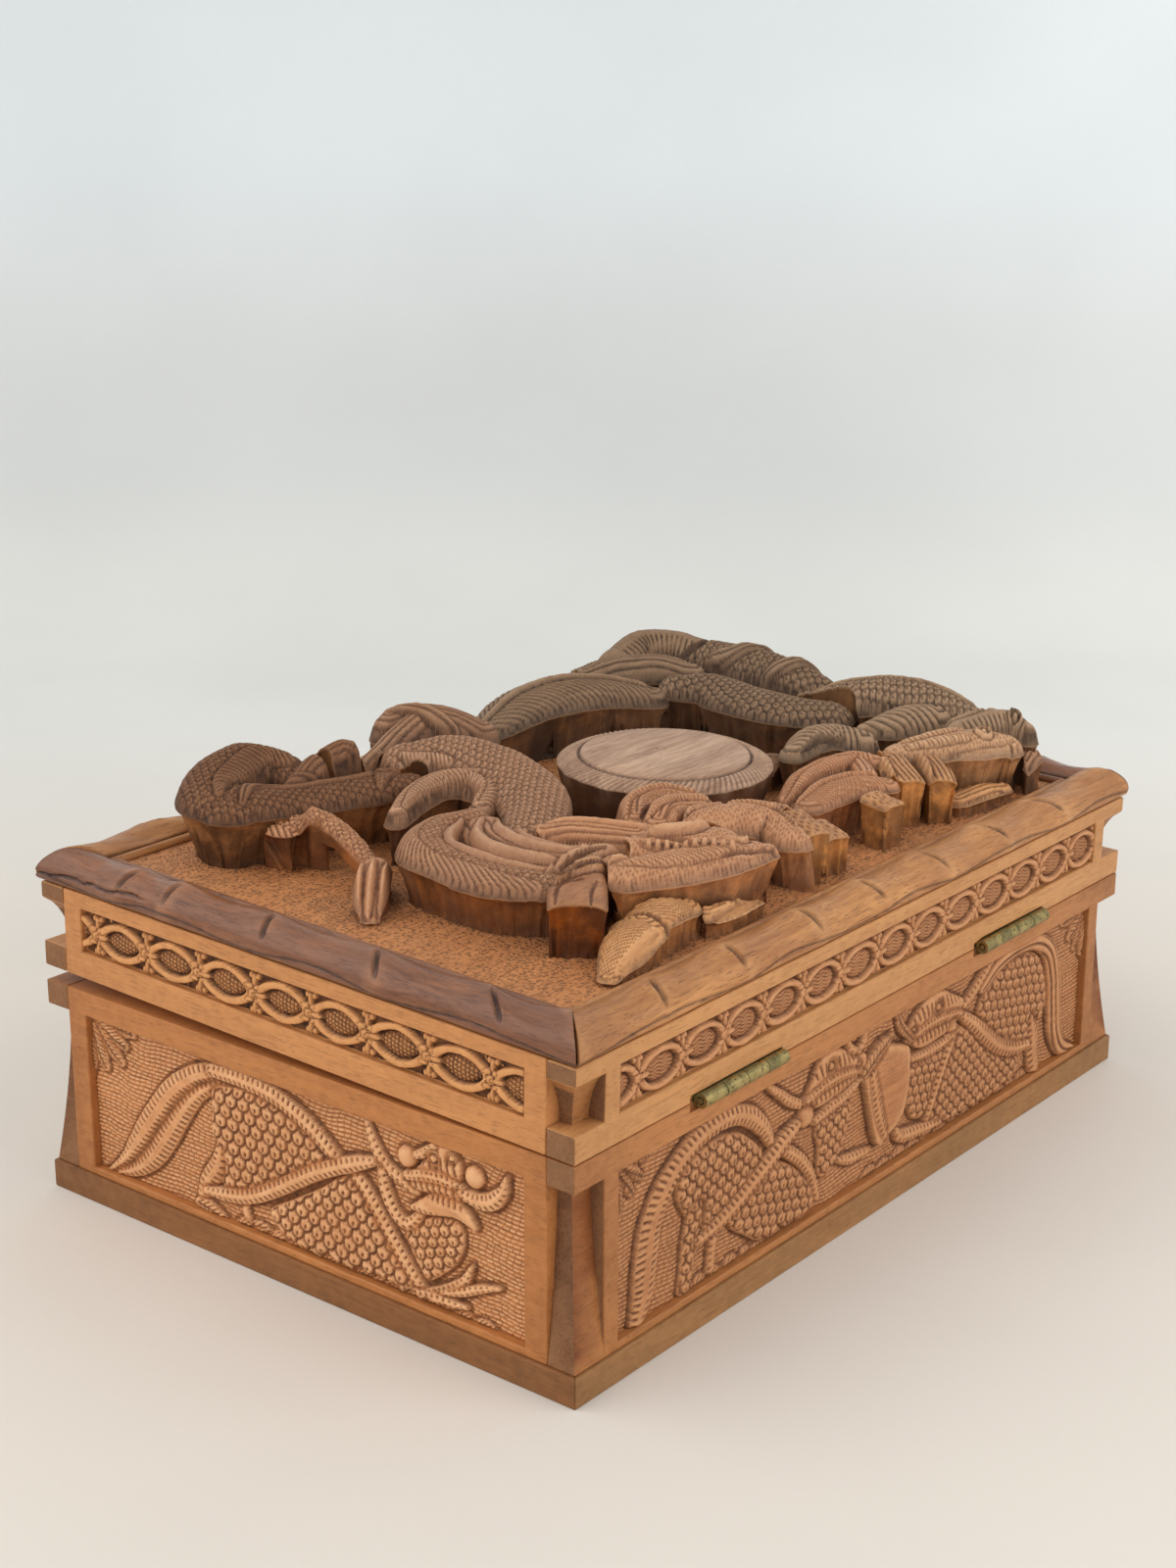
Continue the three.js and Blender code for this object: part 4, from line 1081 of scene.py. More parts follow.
@cache
def grime_wear_and_shade_group() -> bpy.types.NodeTree:
    """Makes the group for grime and painted shade in cuts and hollows, rubbed tops and patches."""
    tree, sheet, source, sink = new_group(
        "grime_wear_and_shade",
        {"Vector": ("Vector", None), "Wood": ("Color", None), "Grime": ("Color", (0.05, 0.02, 0.01, 1)),
         "Rubbed": ("Color", (0.5, 0.3, 0.2, 1)), "Patch": ("Color", (0.3, 0.15, 0.08, 1)),
         "Cut": ("Float", 0.0), "Rub": ("Float", 0.0), "Patches": ("Float", 0.4)},
        {"Colour": "Color", "Wear": "Float"})
    broad = sheet.noise(source["Vector"], 26.0, 4.0, Roughness=0.6)
    patch = sheet.times(sheet.span(broad, 0.42, 0.66), source["Patches"])
    tinted = sheet.blend(patch, source["Wood"], source["Patch"])
    speck = sheet.span(sheet.noise(source["Vector"], 330.0, 3.0), 0.3, 0.7, 0.65, 1.0)
    # Cut darkens towards the grime colour: painted shade in hollows, moats, grooves and hidden faces, together with
    # dirt.
    cut = sheet.times(source["Cut"], speck, True)
    rub = sheet.times(source["Rub"], speck, True)
    rubbed = sheet.blend(rub, tinted, source["Rubbed"])
    sheet.feed(sink["Colour"], sheet.blend(cut, rubbed, source["Grime"]))
    sheet.feed(sink["Wear"], sheet.maths("SUBTRACT", rub, cut))
    return tree


@dataclass(frozen=True)
class WoodFinish:
    """One wood finish: its colours, fibre direction, gloss and surface marks."""

    name: str
    light: Colour
    dark: Colour
    grime_and_shade: Colour
    rubbed: Colour
    patch: Colour
    grain: Grain
    roughness: float
    coat: float = 0.0
    patches: float = 0.4
    relief: float = 0.12
    punched: float = 0.0
    fineness: float = 900.0
    side: Colour | None = None
    stain: float = 0.0

    def material(self) -> bpy.types.Material:
        """Builds the material.

        Returns:
            The material.
        """
        made, sheet, shader, place = new_material(self.name)
        fibres = sheet.add("ShaderNodeGroup", {"node_tree": wood_grain_group()}, Vector=place,
                           Stretch=self.grain.value, Fineness=self.fineness).outputs
        tone = sheet.maths("ADD", sheet.times(fibres["Streak"], 0.55), sheet.times(fibres["Figure"], 0.45))
        wood = sheet.blend(tone, self.light, self.dark)
        wood = sheet.blend(sheet.times(fibres["Pores"], 0.45), wood, self.grime_and_shade)
        # Undercut sides take a mottled colour of their own that stands for the sides' wood and the shade on them:
        # partly painted shade, very dark on the boss.
        if self.side is not None:
            blotch = sheet.span(sheet.noise(place, 70.0, 5.0, Roughness=0.65), 0.36, 0.62)
            side_tone_and_shade = sheet.blend(blotch, tuple(1.7 * c for c in self.side), tuple(0.55 * c for c in self.side))
            side_tone_and_shade = sheet.blend(sheet.times(tone, 0.35), side_tone_and_shade, self.grime_and_shade)
            wood = sheet.blend(sheet.attribute("side"), wood, side_tone_and_shade)
        if self.punched > 0:
            # Punched pits take the grime colour: dirt and painted shade in them.
            wood = sheet.blend(sheet.times(self.pits(sheet, place), 0.55), wood, self.grime_and_shade)
        if self.stain > 0:
            wood = sheet.blend(self.corners(sheet, place), wood,
                               tuple(k * c for k, c in zip((0.42, 0.3, 0.24), self.patch)))
        # The cut attribute paints shade and grime into hollows; the rub attribute pales worn places.
        worn_and_shaded = sheet.add("ShaderNodeGroup", {"node_tree": grime_wear_and_shade_group()}, Vector=place, Wood=wood,
                         Grime=self.grime_and_shade, Rubbed=self.rubbed, Patch=self.patch, Cut=sheet.attribute("cut"),
                         Rub=sheet.attribute("rub"), Patches=self.patches).outputs
        sheet.feed(shader.inputs["Base Color"], worn_and_shaded["Colour"])
        rough = sheet.maths("ADD", sheet.times(worn_and_shaded["Wear"], -0.16), self.roughness)
        sheet.feed(shader.inputs["Roughness"], sheet.maths("ADD", rough, sheet.times(tone, 0.12), True))
        shader.inputs["Coat Weight"].default_value = self.coat
        shader.inputs["Coat Roughness"].default_value = 0.28
        shader.inputs["Specular IOR Level"].default_value = 0.3
        height = sheet.maths("SUBTRACT", sheet.times(tone, 0.6), sheet.times(fibres["Pores"], 0.8))
        if self.punched > 0:
            height = sheet.maths("SUBTRACT", height, sheet.times(self.pits(sheet, place), self.punched))
        sheet.bump(shader, height, 1.0, self.relief)
        return made

    def corners(self, sheet: NodeSheet, place: Socket) -> Socket:
        """Adds the dark stain that hands left towards the box's corners.

        Args:
            sheet: Where the nodes go.
            place: Object coordinates.

        Returns:
            Strength of the stain.
        """
        parts = sheet.add("ShaderNodeSeparateXYZ", Vector=place).outputs
        axis, low, high = ("X", 0.1, 0.134) if self.grain is Grain.ALONG_X else ("Y", 0.064, 0.092)
        near = sheet.span(sheet.maths("ABSOLUTE", parts[axis]), low, high)
        smear = sheet.span(sheet.noise(place, 42.0, 5.0, Roughness=0.65), 0.36, 0.62, 0.4, 1.0)
        return sheet.times(sheet.times(near, smear), self.stain, True)

    def pits(self, sheet: NodeSheet, place: Socket) -> Socket:
        """Adds the fine pits of a punched ground.

        Args:
            sheet: Where the nodes go.
            place: Object coordinates.

        Returns:
            Depth of the pits.
        """
        cells = sheet.add("ShaderNodeTexVoronoi", {"feature": "F1"}, Vector=place, Scale=780.0,
                          Randomness=0.75)
        return sheet.span(cells.outputs["Distance"], 0.5, 0.12)


@dataclass(frozen=True)
class BrassFinish:
    """Old brass with patches of green and dull flecks."""

    name: str = "old_brass"
    bright: Colour = (0.43, 0.33, 0.125)
    green: Colour = (0.2, 0.165, 0.058)
    dull: Colour = (0.09, 0.062, 0.024)

    def material(self) -> bpy.types.Material:
        """Builds the material.

        Returns:
            The material.
        """
        made, sheet, shader, place = new_material(self.name)
        broad, fine = sheet.noise(place, 180.0, 4.0), sheet.noise(place, 900.0, 3.0)
        colour = sheet.blend(sheet.span(broad, 0.4, 0.62), self.bright, self.green)
        colour = sheet.blend(sheet.span(fine, 0.5, 0.75), colour, self.dull)
        sheet.feed(shader.inputs["Base Color"], colour)
        sheet.feed(shader.inputs["Metallic"], sheet.span(broad, 0.4, 0.7, 0.85, 0.35))
        sheet.feed(shader.inputs["Roughness"], sheet.span(broad, 0.35, 0.7, 0.36, 0.62))
        sheet.bump(shader, fine, 0.6, 0.08)
        return made


# Dark colour for pores, dirt, and the painted shade in cuts, hollows and hidden faces.
GRIME_AND_SHADE: Colour = (0.055, 0.022, 0.010)
FINISHES: dict[str, WoodFinish | BrassFinish] = {f.name: f for f in (
    WoodFinish("plinth_oiled", (0.34, 0.158, 0.052), (0.17, 0.072, 0.022), GRIME_AND_SHADE, (0.45, 0.22, 0.08), (0.15, 0.08,
        0.033), Grain.ALONG_X, 0.55, relief=0.1, stain=0.6, patches=0.6),
    WoodFinish("plinth_oiled_short", (0.27, 0.108, 0.032), (0.13, 0.048, 0.014), GRIME_AND_SHADE, (0.38, 0.16, 0.055), (0.12,
        0.056, 0.021), Grain.ALONG_Y, 0.55, relief=0.1, stain=0.6, patches=0.6),
    WoodFinish("board_long", (0.46, 0.176, 0.051), (0.27, 0.09, 0.025), GRIME_AND_SHADE, (0.56, 0.241, 0.079), (0.33, 0.112,
        0.033), Grain.ALONG_X, 0.48, stain=0.95),
    WoodFinish("board_short", (0.52, 0.186, 0.048), (0.3, 0.094, 0.023), GRIME_AND_SHADE, (0.65, 0.275, 0.089), (0.403, 0.133,
        0.037), Grain.ALONG_Y, 0.48, stain=0.8),
    WoodFinish("rail_long", (0.572, 0.263, 0.088), (0.363, 0.144, 0.046), GRIME_AND_SHADE, (0.66, 0.33, 0.126), (0.418, 0.175,
        0.059), Grain.ALONG_X, 0.48, stain=0.35),
    WoodFinish("rail_short", (0.64, 0.259, 0.083), (0.382, 0.138, 0.041), GRIME_AND_SHADE, (0.74, 0.344, 0.123), (0.468, 0.172,
        0.056), Grain.ALONG_Y, 0.48, stain=0.35),
    WoodFinish("end_grain", (0.27, 0.115, 0.045), (0.14, 0.054, 0.02), GRIME_AND_SHADE, (0.36, 0.17, 0.072), (0.13, 0.07, 0.041),
        Grain.END, 0.6, fineness=1500.0),
    WoodFinish("carved_long", (0.52, 0.216, 0.08), (0.32, 0.117, 0.042), (0.1, 0.036, 0.015), (0.61, 0.286, 0.12),
        (0.336, 0.13, 0.047), Grain.ALONG_X, 0.55, relief=0.1),
    WoodFinish("carved_short", (0.73, 0.288, 0.097), (0.472, 0.167, 0.053), (0.155, 0.059, 0.024), (0.86, 0.46, 0.22),
        (0.5, 0.185, 0.058), Grain.ALONG_Y, 0.52, relief=0.1),
    WoodFinish("punched_ground", (0.6, 0.231, 0.078), (0.396, 0.132, 0.041), (0.07, 0.03, 0.015), (0.72, 0.33, 0.129),
        (0.38, 0.18, 0.085), Grain.ALONG_X, 0.62, relief=0.35, punched=1.6),
    WoodFinish("bamboo_warm", (0.6, 0.272, 0.088), (0.345, 0.132, 0.041), (0.06, 0.026, 0.012), (0.682, 0.347, 0.136),
        (0.33, 0.133, 0.051), Grain.ALONG_X, 0.42, coat=0.12, patches=0.5, stain=0.35),
    WoodFinish("bamboo_varnished", (0.319, 0.117, 0.044), (0.142, 0.049, 0.021), (0.03, 0.012, 0.007), (0.472, 0.204,
        0.084), (0.177, 0.066, 0.03), Grain.ALONG_Y, 0.34, coat=0.35, patches=0.55),
    WoodFinish("relief_brown_oiled", (0.315, 0.147, 0.07), (0.2, 0.084, 0.037), (0.06, 0.028, 0.015), (0.42, 0.223,
        0.116), (0.21, 0.104, 0.056), Grain.ALONG_X, 0.55, side=(0.252, 0.1, 0.034)),
    WoodFinish("relief_umber_oiled", (0.21, 0.083, 0.03), (0.13, 0.046, 0.016), (0.045, 0.018, 0.008), (0.3, 0.132,
        0.055), (0.14, 0.058, 0.024), Grain.ALONG_X, 0.55, side=(0.325, 0.135, 0.042)),
    WoodFinish("relief_fawn_oiled", (0.43, 0.207, 0.104), (0.27, 0.118, 0.055), (0.085, 0.04, 0.021), (0.56, 0.31,
        0.17), (0.29, 0.146, 0.08), Grain.ALONG_X, 0.55, side=(0.27, 0.105, 0.036)),
    WoodFinish("relief_dun_oiled", (0.34, 0.2, 0.107), (0.2, 0.11, 0.058), (0.05, 0.028, 0.017), (0.47, 0.295, 0.17),
        (0.22, 0.13, 0.072), Grain.ALONG_X, 0.58, side=(0.2, 0.088, 0.033)),
    WoodFinish("relief_russet_oiled", (0.42, 0.19, 0.086), (0.28, 0.112, 0.047), (0.105, 0.044, 0.021), (0.55, 0.295,
        0.156), (0.29, 0.126, 0.06), Grain.ALONG_X, 0.5, side=(0.245, 0.078, 0.012), patches=0.6),
    WoodFinish("relief_rose_oiled", (0.54, 0.245, 0.108), (0.365, 0.143, 0.06), (0.13, 0.054, 0.027), (0.69, 0.37,
        0.19), (0.37, 0.16, 0.075), Grain.ALONG_X, 0.5, side=(0.5, 0.2, 0.06), patches=0.6),
    WoodFinish("relief_pale_oiled", (0.57, 0.3, 0.14), (0.386, 0.178, 0.078), (0.1, 0.046, 0.024), (0.73, 0.44, 0.245),
        (0.4, 0.2, 0.1), Grain.ALONG_X, 0.5, side=(0.44, 0.2, 0.07)),
    WoodFinish("relief_red_oiled", (0.52, 0.226, 0.097), (0.351, 0.133, 0.053), (0.13, 0.052, 0.025), (0.676, 0.348,
        0.175), (0.364, 0.151, 0.069), Grain.ALONG_X, 0.5, side=(0.31, 0.104, 0.024), patches=0.6),
    WoodFinish("relief_grey_oiled", (0.254, 0.143, 0.073), (0.147, 0.078, 0.04), (0.035, 0.019, 0.012), (0.354, 0.212,
        0.116), (0.165, 0.093, 0.05), Grain.ALONG_X, 0.58, side=(0.153, 0.066, 0.024)),
    WoodFinish("relief_ochre_oiled", (0.72, 0.335, 0.12), (0.48, 0.19, 0.06), (0.1, 0.04, 0.017), (0.78, 0.42, 0.19),
        (0.41, 0.18, 0.066), Grain.ALONG_X, 0.5, side=(0.36, 0.135, 0.035)),
    WoodFinish("slab_oiled", (0.56, 0.25, 0.09), (0.36, 0.14, 0.045), (0.08, 0.03, 0.012), (0.7, 0.36, 0.16), (0.26,
        0.1, 0.035), Grain.ALONG_X, 0.48, side=(0.62, 0.255, 0.065), patches=0.6),
    WoodFinish("relief_dark_oiled", (0.4, 0.15, 0.055), (0.2, 0.07, 0.028), (0.05, 0.018, 0.008), (0.55, 0.27, 0.12),
        (0.12, 0.035, 0.014), Grain.ALONG_X, 0.4, patches=0.7, side=(0.24, 0.058, 0.004)),
    WoodFinish("boss_face", (0.58, 0.36, 0.225), (0.29, 0.155, 0.09), (0.1, 0.05, 0.03), (0.562, 0.371, 0.26), (0.389,
        0.227, 0.15), Grain.ALONG_X, 0.45, relief=0.06, side=(0.085, 0.031, 0.01)),
    WoodFinish("inside_wood", (0.4, 0.2, 0.076), (0.26, 0.115, 0.043), GRIME_AND_SHADE, (0.5, 0.27, 0.111), (0.28, 0.13, 0.051),
        Grain.ALONG_X, 0.6),
    BrassFinish(),
)}


@cache
def finished(name: str) -> bpy.types.Material:
    """Gives the material of a finish, which is built once."""
    return FINISHES[name].material()


# ---------------------------------------------------------------- base


@dataclass
class Board:
    """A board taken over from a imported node, its edges eased and its end grain marked."""

    node: str
    body: str
    slot: str
    finish: str
    ends: str = "end_grain"
    end: float = 139.0
    ease: float = 0.4
    shortest: float = 7.0

    def build(self) -> None:
        """Copies the node, eases its long edges and dresses it."""
        work = cad_copy(self.node)
        bmesh.ops.dissolve_limit(work, angle_limit=math.radians(0.6), verts=work.verts, edges=work.edges)
        sharp = [e for e in work.edges if e.is_manifold and e.calc_length() > self.shortest * MM
                 and e.calc_face_angle(0) > math.radians(35)]
        eased = bmesh.ops.bevel(work, geom=sharp, offset=self.ease * MM, offset_type="OFFSET", segments=2,
                                profile=0.5, affect="EDGES", clamp_overlap=False, material=-1)
        for face in work.faces:
            across = abs(face.normal.x) > 0.9
            far = abs(abs(face.calc_center_median().x) - self.end * MM) < 12 * MM
            face.material_index = int(across and far)
        work.verts.index_update()
        worn = {v.index for f in eased["faces"] if f.is_valid for v in f.verts}
        piece = make_piece(self.node + "_wood", work, self.body, [self.finish, self.ends],
                           [self.node], smooth=False)
        rub = np.zeros(len(piece.data.vertices))
        rub[list(worn)] = 0.5
        put_attribute(piece.data, "rub", rub)


@dataclass
class BaseBox:
    """The lower box: plinth, bottom and four carved boards."""

    floor_long: float = 94.6
    floor_short: float = 135.8
    low: float = 10.75
    high: float = 57.75

    def build_boards(self) -> None:
        """Builds the plinth, the bottom and the four boards."""
        for side in ("front", "back"):
            Board(f"plinth_{side}", "base", "plinth_wood", "plinth_oiled", "plinth_oiled").build()
            Board(f"{side}_wall", "base", "board_wood", "board_long").build()
        for side in ("left", "right"):
            Board(f"plinth_{side}", "base", "plinth_wood", "plinth_oiled_short", "plinth_oiled_short").build()
            Board(f"{side}_wall", "base", "board_wood", "board_short", "board_short").build()
        Board("bottom_board", "base", "plinth_wood", "inside_wood", "inside_wood").build()

    def build_panels(self) -> None:
        """Carves the four sunk panels."""
        long, short = (self.floor_long, PANEL_LONG), (self.floor_short, PANEL_SHORT)
        for side, facing, (floor, across), step, drawing, finish in (
                ("right", Facing.RIGHT, short, 0.36, LONE_BEAST, "carved_short"),
                ("back", Facing.BACK, long, 0.4, FACING_BEASTS, "carved_long"),
                ("left", Facing.LEFT, short, 0.5, mirrored(LONE_BEAST), "carved_short"),
                ("front", Facing.FRONT, long, 0.5, mirrored(FACING_BEASTS), "carved_long")):
            sheet = CarvedSheet(facing, floor, across, (self.low, self.high), step)
            sheet.build(f"panel_{side}", partial(self.carve, drawing), "base", "board_wood", finish)

    def carve(self, drawing: Sequence[Figure], face: Field) -> None:
        """Carves the chiselled ground and then the figures.

        Args:
            drawing: Figures from back to front.
            face: Field to carve, changed in place.
        """
        x, y = face.x, face.y
        wave = y + 0.45 * np.sin(x / 5.5) + 0.5 * soft_noise(x / 6, y / 6, 1)
        row = np.floor(wave / 1.25)
        across = np.abs(wave / 1.25 - row - 0.5) * 2
        dash = (x + 3 * scatter(row, row * 0 + 2, 4)) / 2.3
        gap = np.abs(dash - np.round(dash)) * 2
        pits = np.maximum(ramp(across, 0.25, 0.85), ramp(gap, 0.28, 0.05) * 0.8)
        face.heights = 0.85 - 0.42 * pits + 0.2 * soft_noise(x / 7, y / 5, 8)
        # Chisel rows are painted dark, as shade and dirt in them; the ground between them is worn pale.
        face.cuts = 0.75 * pits - 0.45
        for one in drawing:
            one.paint(face)
        face.heights = np.clip(face.heights + 0.05 * soft_noise(x / 1.1, y / 1.1, 21), 0.05, 3.2)


# ---------------------------------------------------------------- lid


TWIN_LOBES = ((-1.5, 1.9, 1.5, 0.8, 2.1), (0.9, 1.9, 1.1, 0.8, 2.0), (0.1, 3.9, 0.75, 1.9, 1.9),
              (-1.3, 4.9, 0.8, 1.0, 1.5), (1.4, 4.9, 0.8, 1.0, 1.5))
LOBES = ((-0.2, 0.0, 1.7, 1.5, 2.25), (2.3, 0.0, 2.3, 0.8, 2.15),
         *((x, way * y, *size) for x, y, *size in TWIN_LOBES for way in (1, -1)))


@dataclass
class ChainFrieze:
    """The sunk chain of oval links round the lid's frame."""

    floor_long: float = 95.6
    floor_short: float = 136.8
    low: float = 73.45
    high: float = 86.35

    def build(self) -> None:
        """Carves the four friezes."""
        long, short = (self.floor_long, PANEL_LONG), (self.floor_short, PANEL_SHORT)
        for side, facing, (floor, across), step, first, pitch, finish in (
                ("right", Facing.RIGHT, short, 0.3, -64.9, 20.87, "rail_short"),
                ("back", Facing.BACK, long, 0.33, -105.0, 18.2, "carved_long"),
                ("left", Facing.LEFT, short, 0.36, -62.4, 20.8, "rail_short"),
                ("front", Facing.FRONT, long, 0.4, -109.2, 18.2, "carved_long")):
            sheet = CarvedSheet(facing, floor, across, (self.low, self.high), step)
            sheet.build(f"chain_{side}", partial(self.carve, first, pitch, across == PANEL_LONG),
                        "lid", "rail_wood", finish)

    def carve(self, first: float, pitch: float, wavy: bool, face: Field) -> None:
        """Carves the links of one frieze, with knots of small lobes between them.

        Args:
            first: Middle of the first whole link.
            pitch: Distance from link to link.
            wavy: Whether the insides are wavy; the others are cross-hatched.
            face: Field to carve, changed in place.
        """
        heights, cuts, y = face.heights, face.cuts, face.y
        v = y - 0.5 * (self.low + self.high) + 0.2 * soft_noise(face.x / 15, y * 0, 5)
        x = face.x + 0.5 * soft_noise(face.x / 13, y * 0, 6)
        k = np.round((x - first) / pitch)
        u = x - first - k * pitch
        tall = 5.9 + 0.3 * (scatter(k, k * 0, 3) - 0.5)
        long = pitch * 0.5
        heights[:] = 0.06 + 0.06 * soft_noise(x / 1.2, y / 1.2, 9)
        # The sunk ground is painted almost black: painted shade and dirt.
        cuts[:] = 0.95
        if wavy:
            power = (2.0, 1.9)
            marks = stroke_lines((v + 0.35 * np.sin(u * 1.5 + k)) / 1.05) * 0.9
        else:
            power = (1.75, 1.5)
            marks = np.maximum(stroke_lines(u / 1.3), stroke_lines((v + 0.25 * u) / 1.2))
        oval = (np.abs(u) / (long + 0.7)) ** power[0] + (np.abs(v) / tall) ** power[1]
        edge = (oval - 1) * tall * 0.52
        deep = -edge - 1.7
        inside = deep > 0
        heights[inside] = (0.35 + 1.15 * np.sqrt(np.clip(deep / 1.4, 0, 1)) - 0.45 * marks)[inside]
        # Link hollows darken with their marks and towards their walls: painted shade.
        cuts[inside] = (0.1 + 0.75 * marks * ramp(deep, 0, 0.4) + 0.7 * ramp(deep, 0.5, 0.0))[inside]
        band = 0.64 + 0.1 * soft_noise(x / 3, y / 3, 14)
        ring = np.abs(edge + 0.8)
        on_ring = ring < band
        heights[on_ring] = (2.05 - 0.35 * (ring / band) ** 3)[on_ring]
        cuts[on_ring] = 0.0
        w = np.where(u > 0, u - long, u + long)
        for cx, cy, rx, ry, top in LOBES:
            lobe = 1 - ((w - cx) / rx) ** 2 - ((v - cy) / ry) ** 2
            rim = (lobe > -0.35) & (lobe <= 0) & (heights > 1.4)
            heights[rim] -= 0.35
            # The groove round each lobe is painted dark as shade in it.
            cuts[rim] = np.maximum(cuts[rim], 0.6)
            on = (lobe > 0) & (top - 0.6 * (1 - lobe) > heights - 0.3)
            heights[on] = (top - 0.6 * (1 - lobe))[on]
            cuts[on] = (0.6 * ramp(lobe, 0.35, 0.0))[on]
        heights += 0.03 * soft_noise(x / 0.8, y / 0.8, 22)


@dataclass
class BambooBorder:
    """The moulding round the lid, carved as bamboo with a bead inside it."""

    half_long: float = 139.0
    half_short: float = 97.8
    top: float = 91.0
    high: float = 9.2
    step: float = 0.55
    nodes_short: tuple[float, ...] = (-67.0, -49.2, -10.5, 30.5, 72.0)
    nodes_long: tuple[float, ...] = (-106.0, -72.5, -37.0, -5.5, 28.0, 62.5, 96.0)

    def section(self) -> Array:
        """Gives the closed section: inset from the face, height, and share of the bamboo's swelling."""
        z, lip, top = self.top + 0.3, GROUND_Z + 0.3, self.top + self.high
        outline = ((0.6, z, 0), (-0.6, z + 0.9, 0.5), (-0.9, z + 2.4, 0.9), (-0.5, z + 4.2, 1), (0.6, z + 6.0, 1),
                   (2.4, top - 1.5, 1), (4.6, top - 0.5, 1), (7.0, top, 1), (9.2, top - 0.35, 1),
                   (11.2, top - 1.5, 0.8), (12.6, lip + 1.9, 0.3), (13.0, lip + 1.0, 0), (13.4, lip + 1.2, 0),
                   (14.2, lip + 1.7, 0), (15.2, lip + 1.5, 0), (15.9, lip + 0.7, 0), (16.0, lip, 0))
        foot = np.array([(9.1, lip, 0), (9.1, z, 0), (5.0, z, 0), (0.6, z, 0)])
        return np.vstack([smooth_line(outline, per_span=4), foot])

    def build(self) -> None:
        """Builds the four strips."""
        short = (self.half_long, self.half_short, "bamboo_dark", "bamboo_varnished")
        long = (self.half_short, self.half_long, "bamboo_tan", "bamboo_warm")
        for side, facing, joints, (face, half, slot, finish) in (
                ("right", Facing.RIGHT, self.nodes_short, short),
                ("left", Facing.LEFT, tuple(-n for n in reversed(self.nodes_short)), short),
                ("back", Facing.BACK, self.nodes_long, long),
                ("front", Facing.FRONT, tuple(-n for n in reversed(self.nodes_long)), long)):
            work = self.strip(facing, face, half, joints)
            make_piece(f"bamboo_{side}_carved", work, "lid", [finish], [f"bamboo_{side}"])

    def strip(self, facing: Facing, face: float, half: float, joints: tuple[float, ...]) -> Work:
        """Builds one mitred strip.

        Args:
            facing: Side it lies on.
            face: Distance of the frame's face from the middle.
            half: Half length of that side.
            joints: Where the bamboo's nodes are.

        Returns:
            The strip.
        """
        outline = self.section()
        rows = len(outline) - 1
        work = bmesh.new()
        flat, _, row = flat_grid(work, round(2 * half / self.step), rows)
        inset, height, swell = outline[row].T
        along = (half - 0.15 - inset) * flat[:, 0]
        at = half * flat[:, 0] + 0.9 * (inset - 4.0) * 0.55
        ends = np.array([-half, *joints, half])
        k = np.clip(np.searchsorted(ends, at) - 1, 0, len(ends) - 2)
        t = (at - ends[k]) / (ends[k + 1] - ends[k])
        waist = 0.7 * (2 * np.abs(t - 0.5)) ** 3.0 - 0.75 * np.exp(-((t - 0.5) / 0.26) ** 2)
        gap = np.min(np.abs(at[:, None] - np.array(joints)[None, :]), axis=1)
        upper = ramp(height, self.top + 4.6, self.top + 6.6) * ramp(inset, 8.0, 5.4)
        notch = ramp(gap, 0.4 + 1.1 * upper, 0.15) * upper
        lip = 0.16 * ramp(gap, 2.6, 0.9) * ramp(gap, 0.5, 0.9) * upper
        wobble = 0.25 * soft_noise(along / 11, inset / 5, 31) + 0.1 * soft_noise(along / 3.1, inset / 2, 32)
        push = swell * (waist + lip - 1.25 * notch + wobble)
        groove = ramp(np.abs(height - self.top - 2.1 - 0.9 * np.sin(at / 9.0 + 0.7)), 0.55, 0.1)
        groove *= ramp(inset, 0.2, -0.4) * (row < rows - 4)
        out = face - inset + push * ramp(inset, 7.0, 0.0) * 0.8 - 0.45 * groove
        up = height + push * ramp(inset, -0.5, 4.0)
        crack = np.zeros_like(up)
        if facing is Facing.RIGHT:
            wander = 0.5 * soft_noise(along / 4, along * 0, 8)
            line = np.abs(height - self.top - 3.3 - 0.05 * (along + 90) + wander)
            crack = ramp(line, 0.6, 0.1) * ramp(along, -52.0, -62.0) * ramp(inset, 1.2, 0.4)
            out = out - 1.3 * crack
        move_to(work.verts, facing.place(along, up, out) * MM)
        # Nicks, the wavy groove, the crack and the line at the bead are painted dark: painted shade and dirt in them.
        cut = np.clip(notch + groove * 0.9 + crack + ramp(np.abs(inset - 13.0), 0.7, 0.1) * 0.8, 0, 1)
        spots = ramp(soft_noise(at / 7, inset / 3, 33), -0.4, 0.6)
        rub = np.clip(ramp(waist, 0.1, 0.6) * 0.4 * swell * spots, 0, 1)
        for name, values in (("cut", cut), ("rub", rub)):
            layer = work.verts.layers.float.new(name)
            for vert, value in zip(work.verts, values):
                vert[layer] = float(value)
        bmesh.ops.remove_doubles(work, verts=work.verts, dist=1e-6)
        close_holes(work)
        bmesh.ops.recalc_face_normals(work, faces=work.faces)
        turn_with_lid(work)
        return work


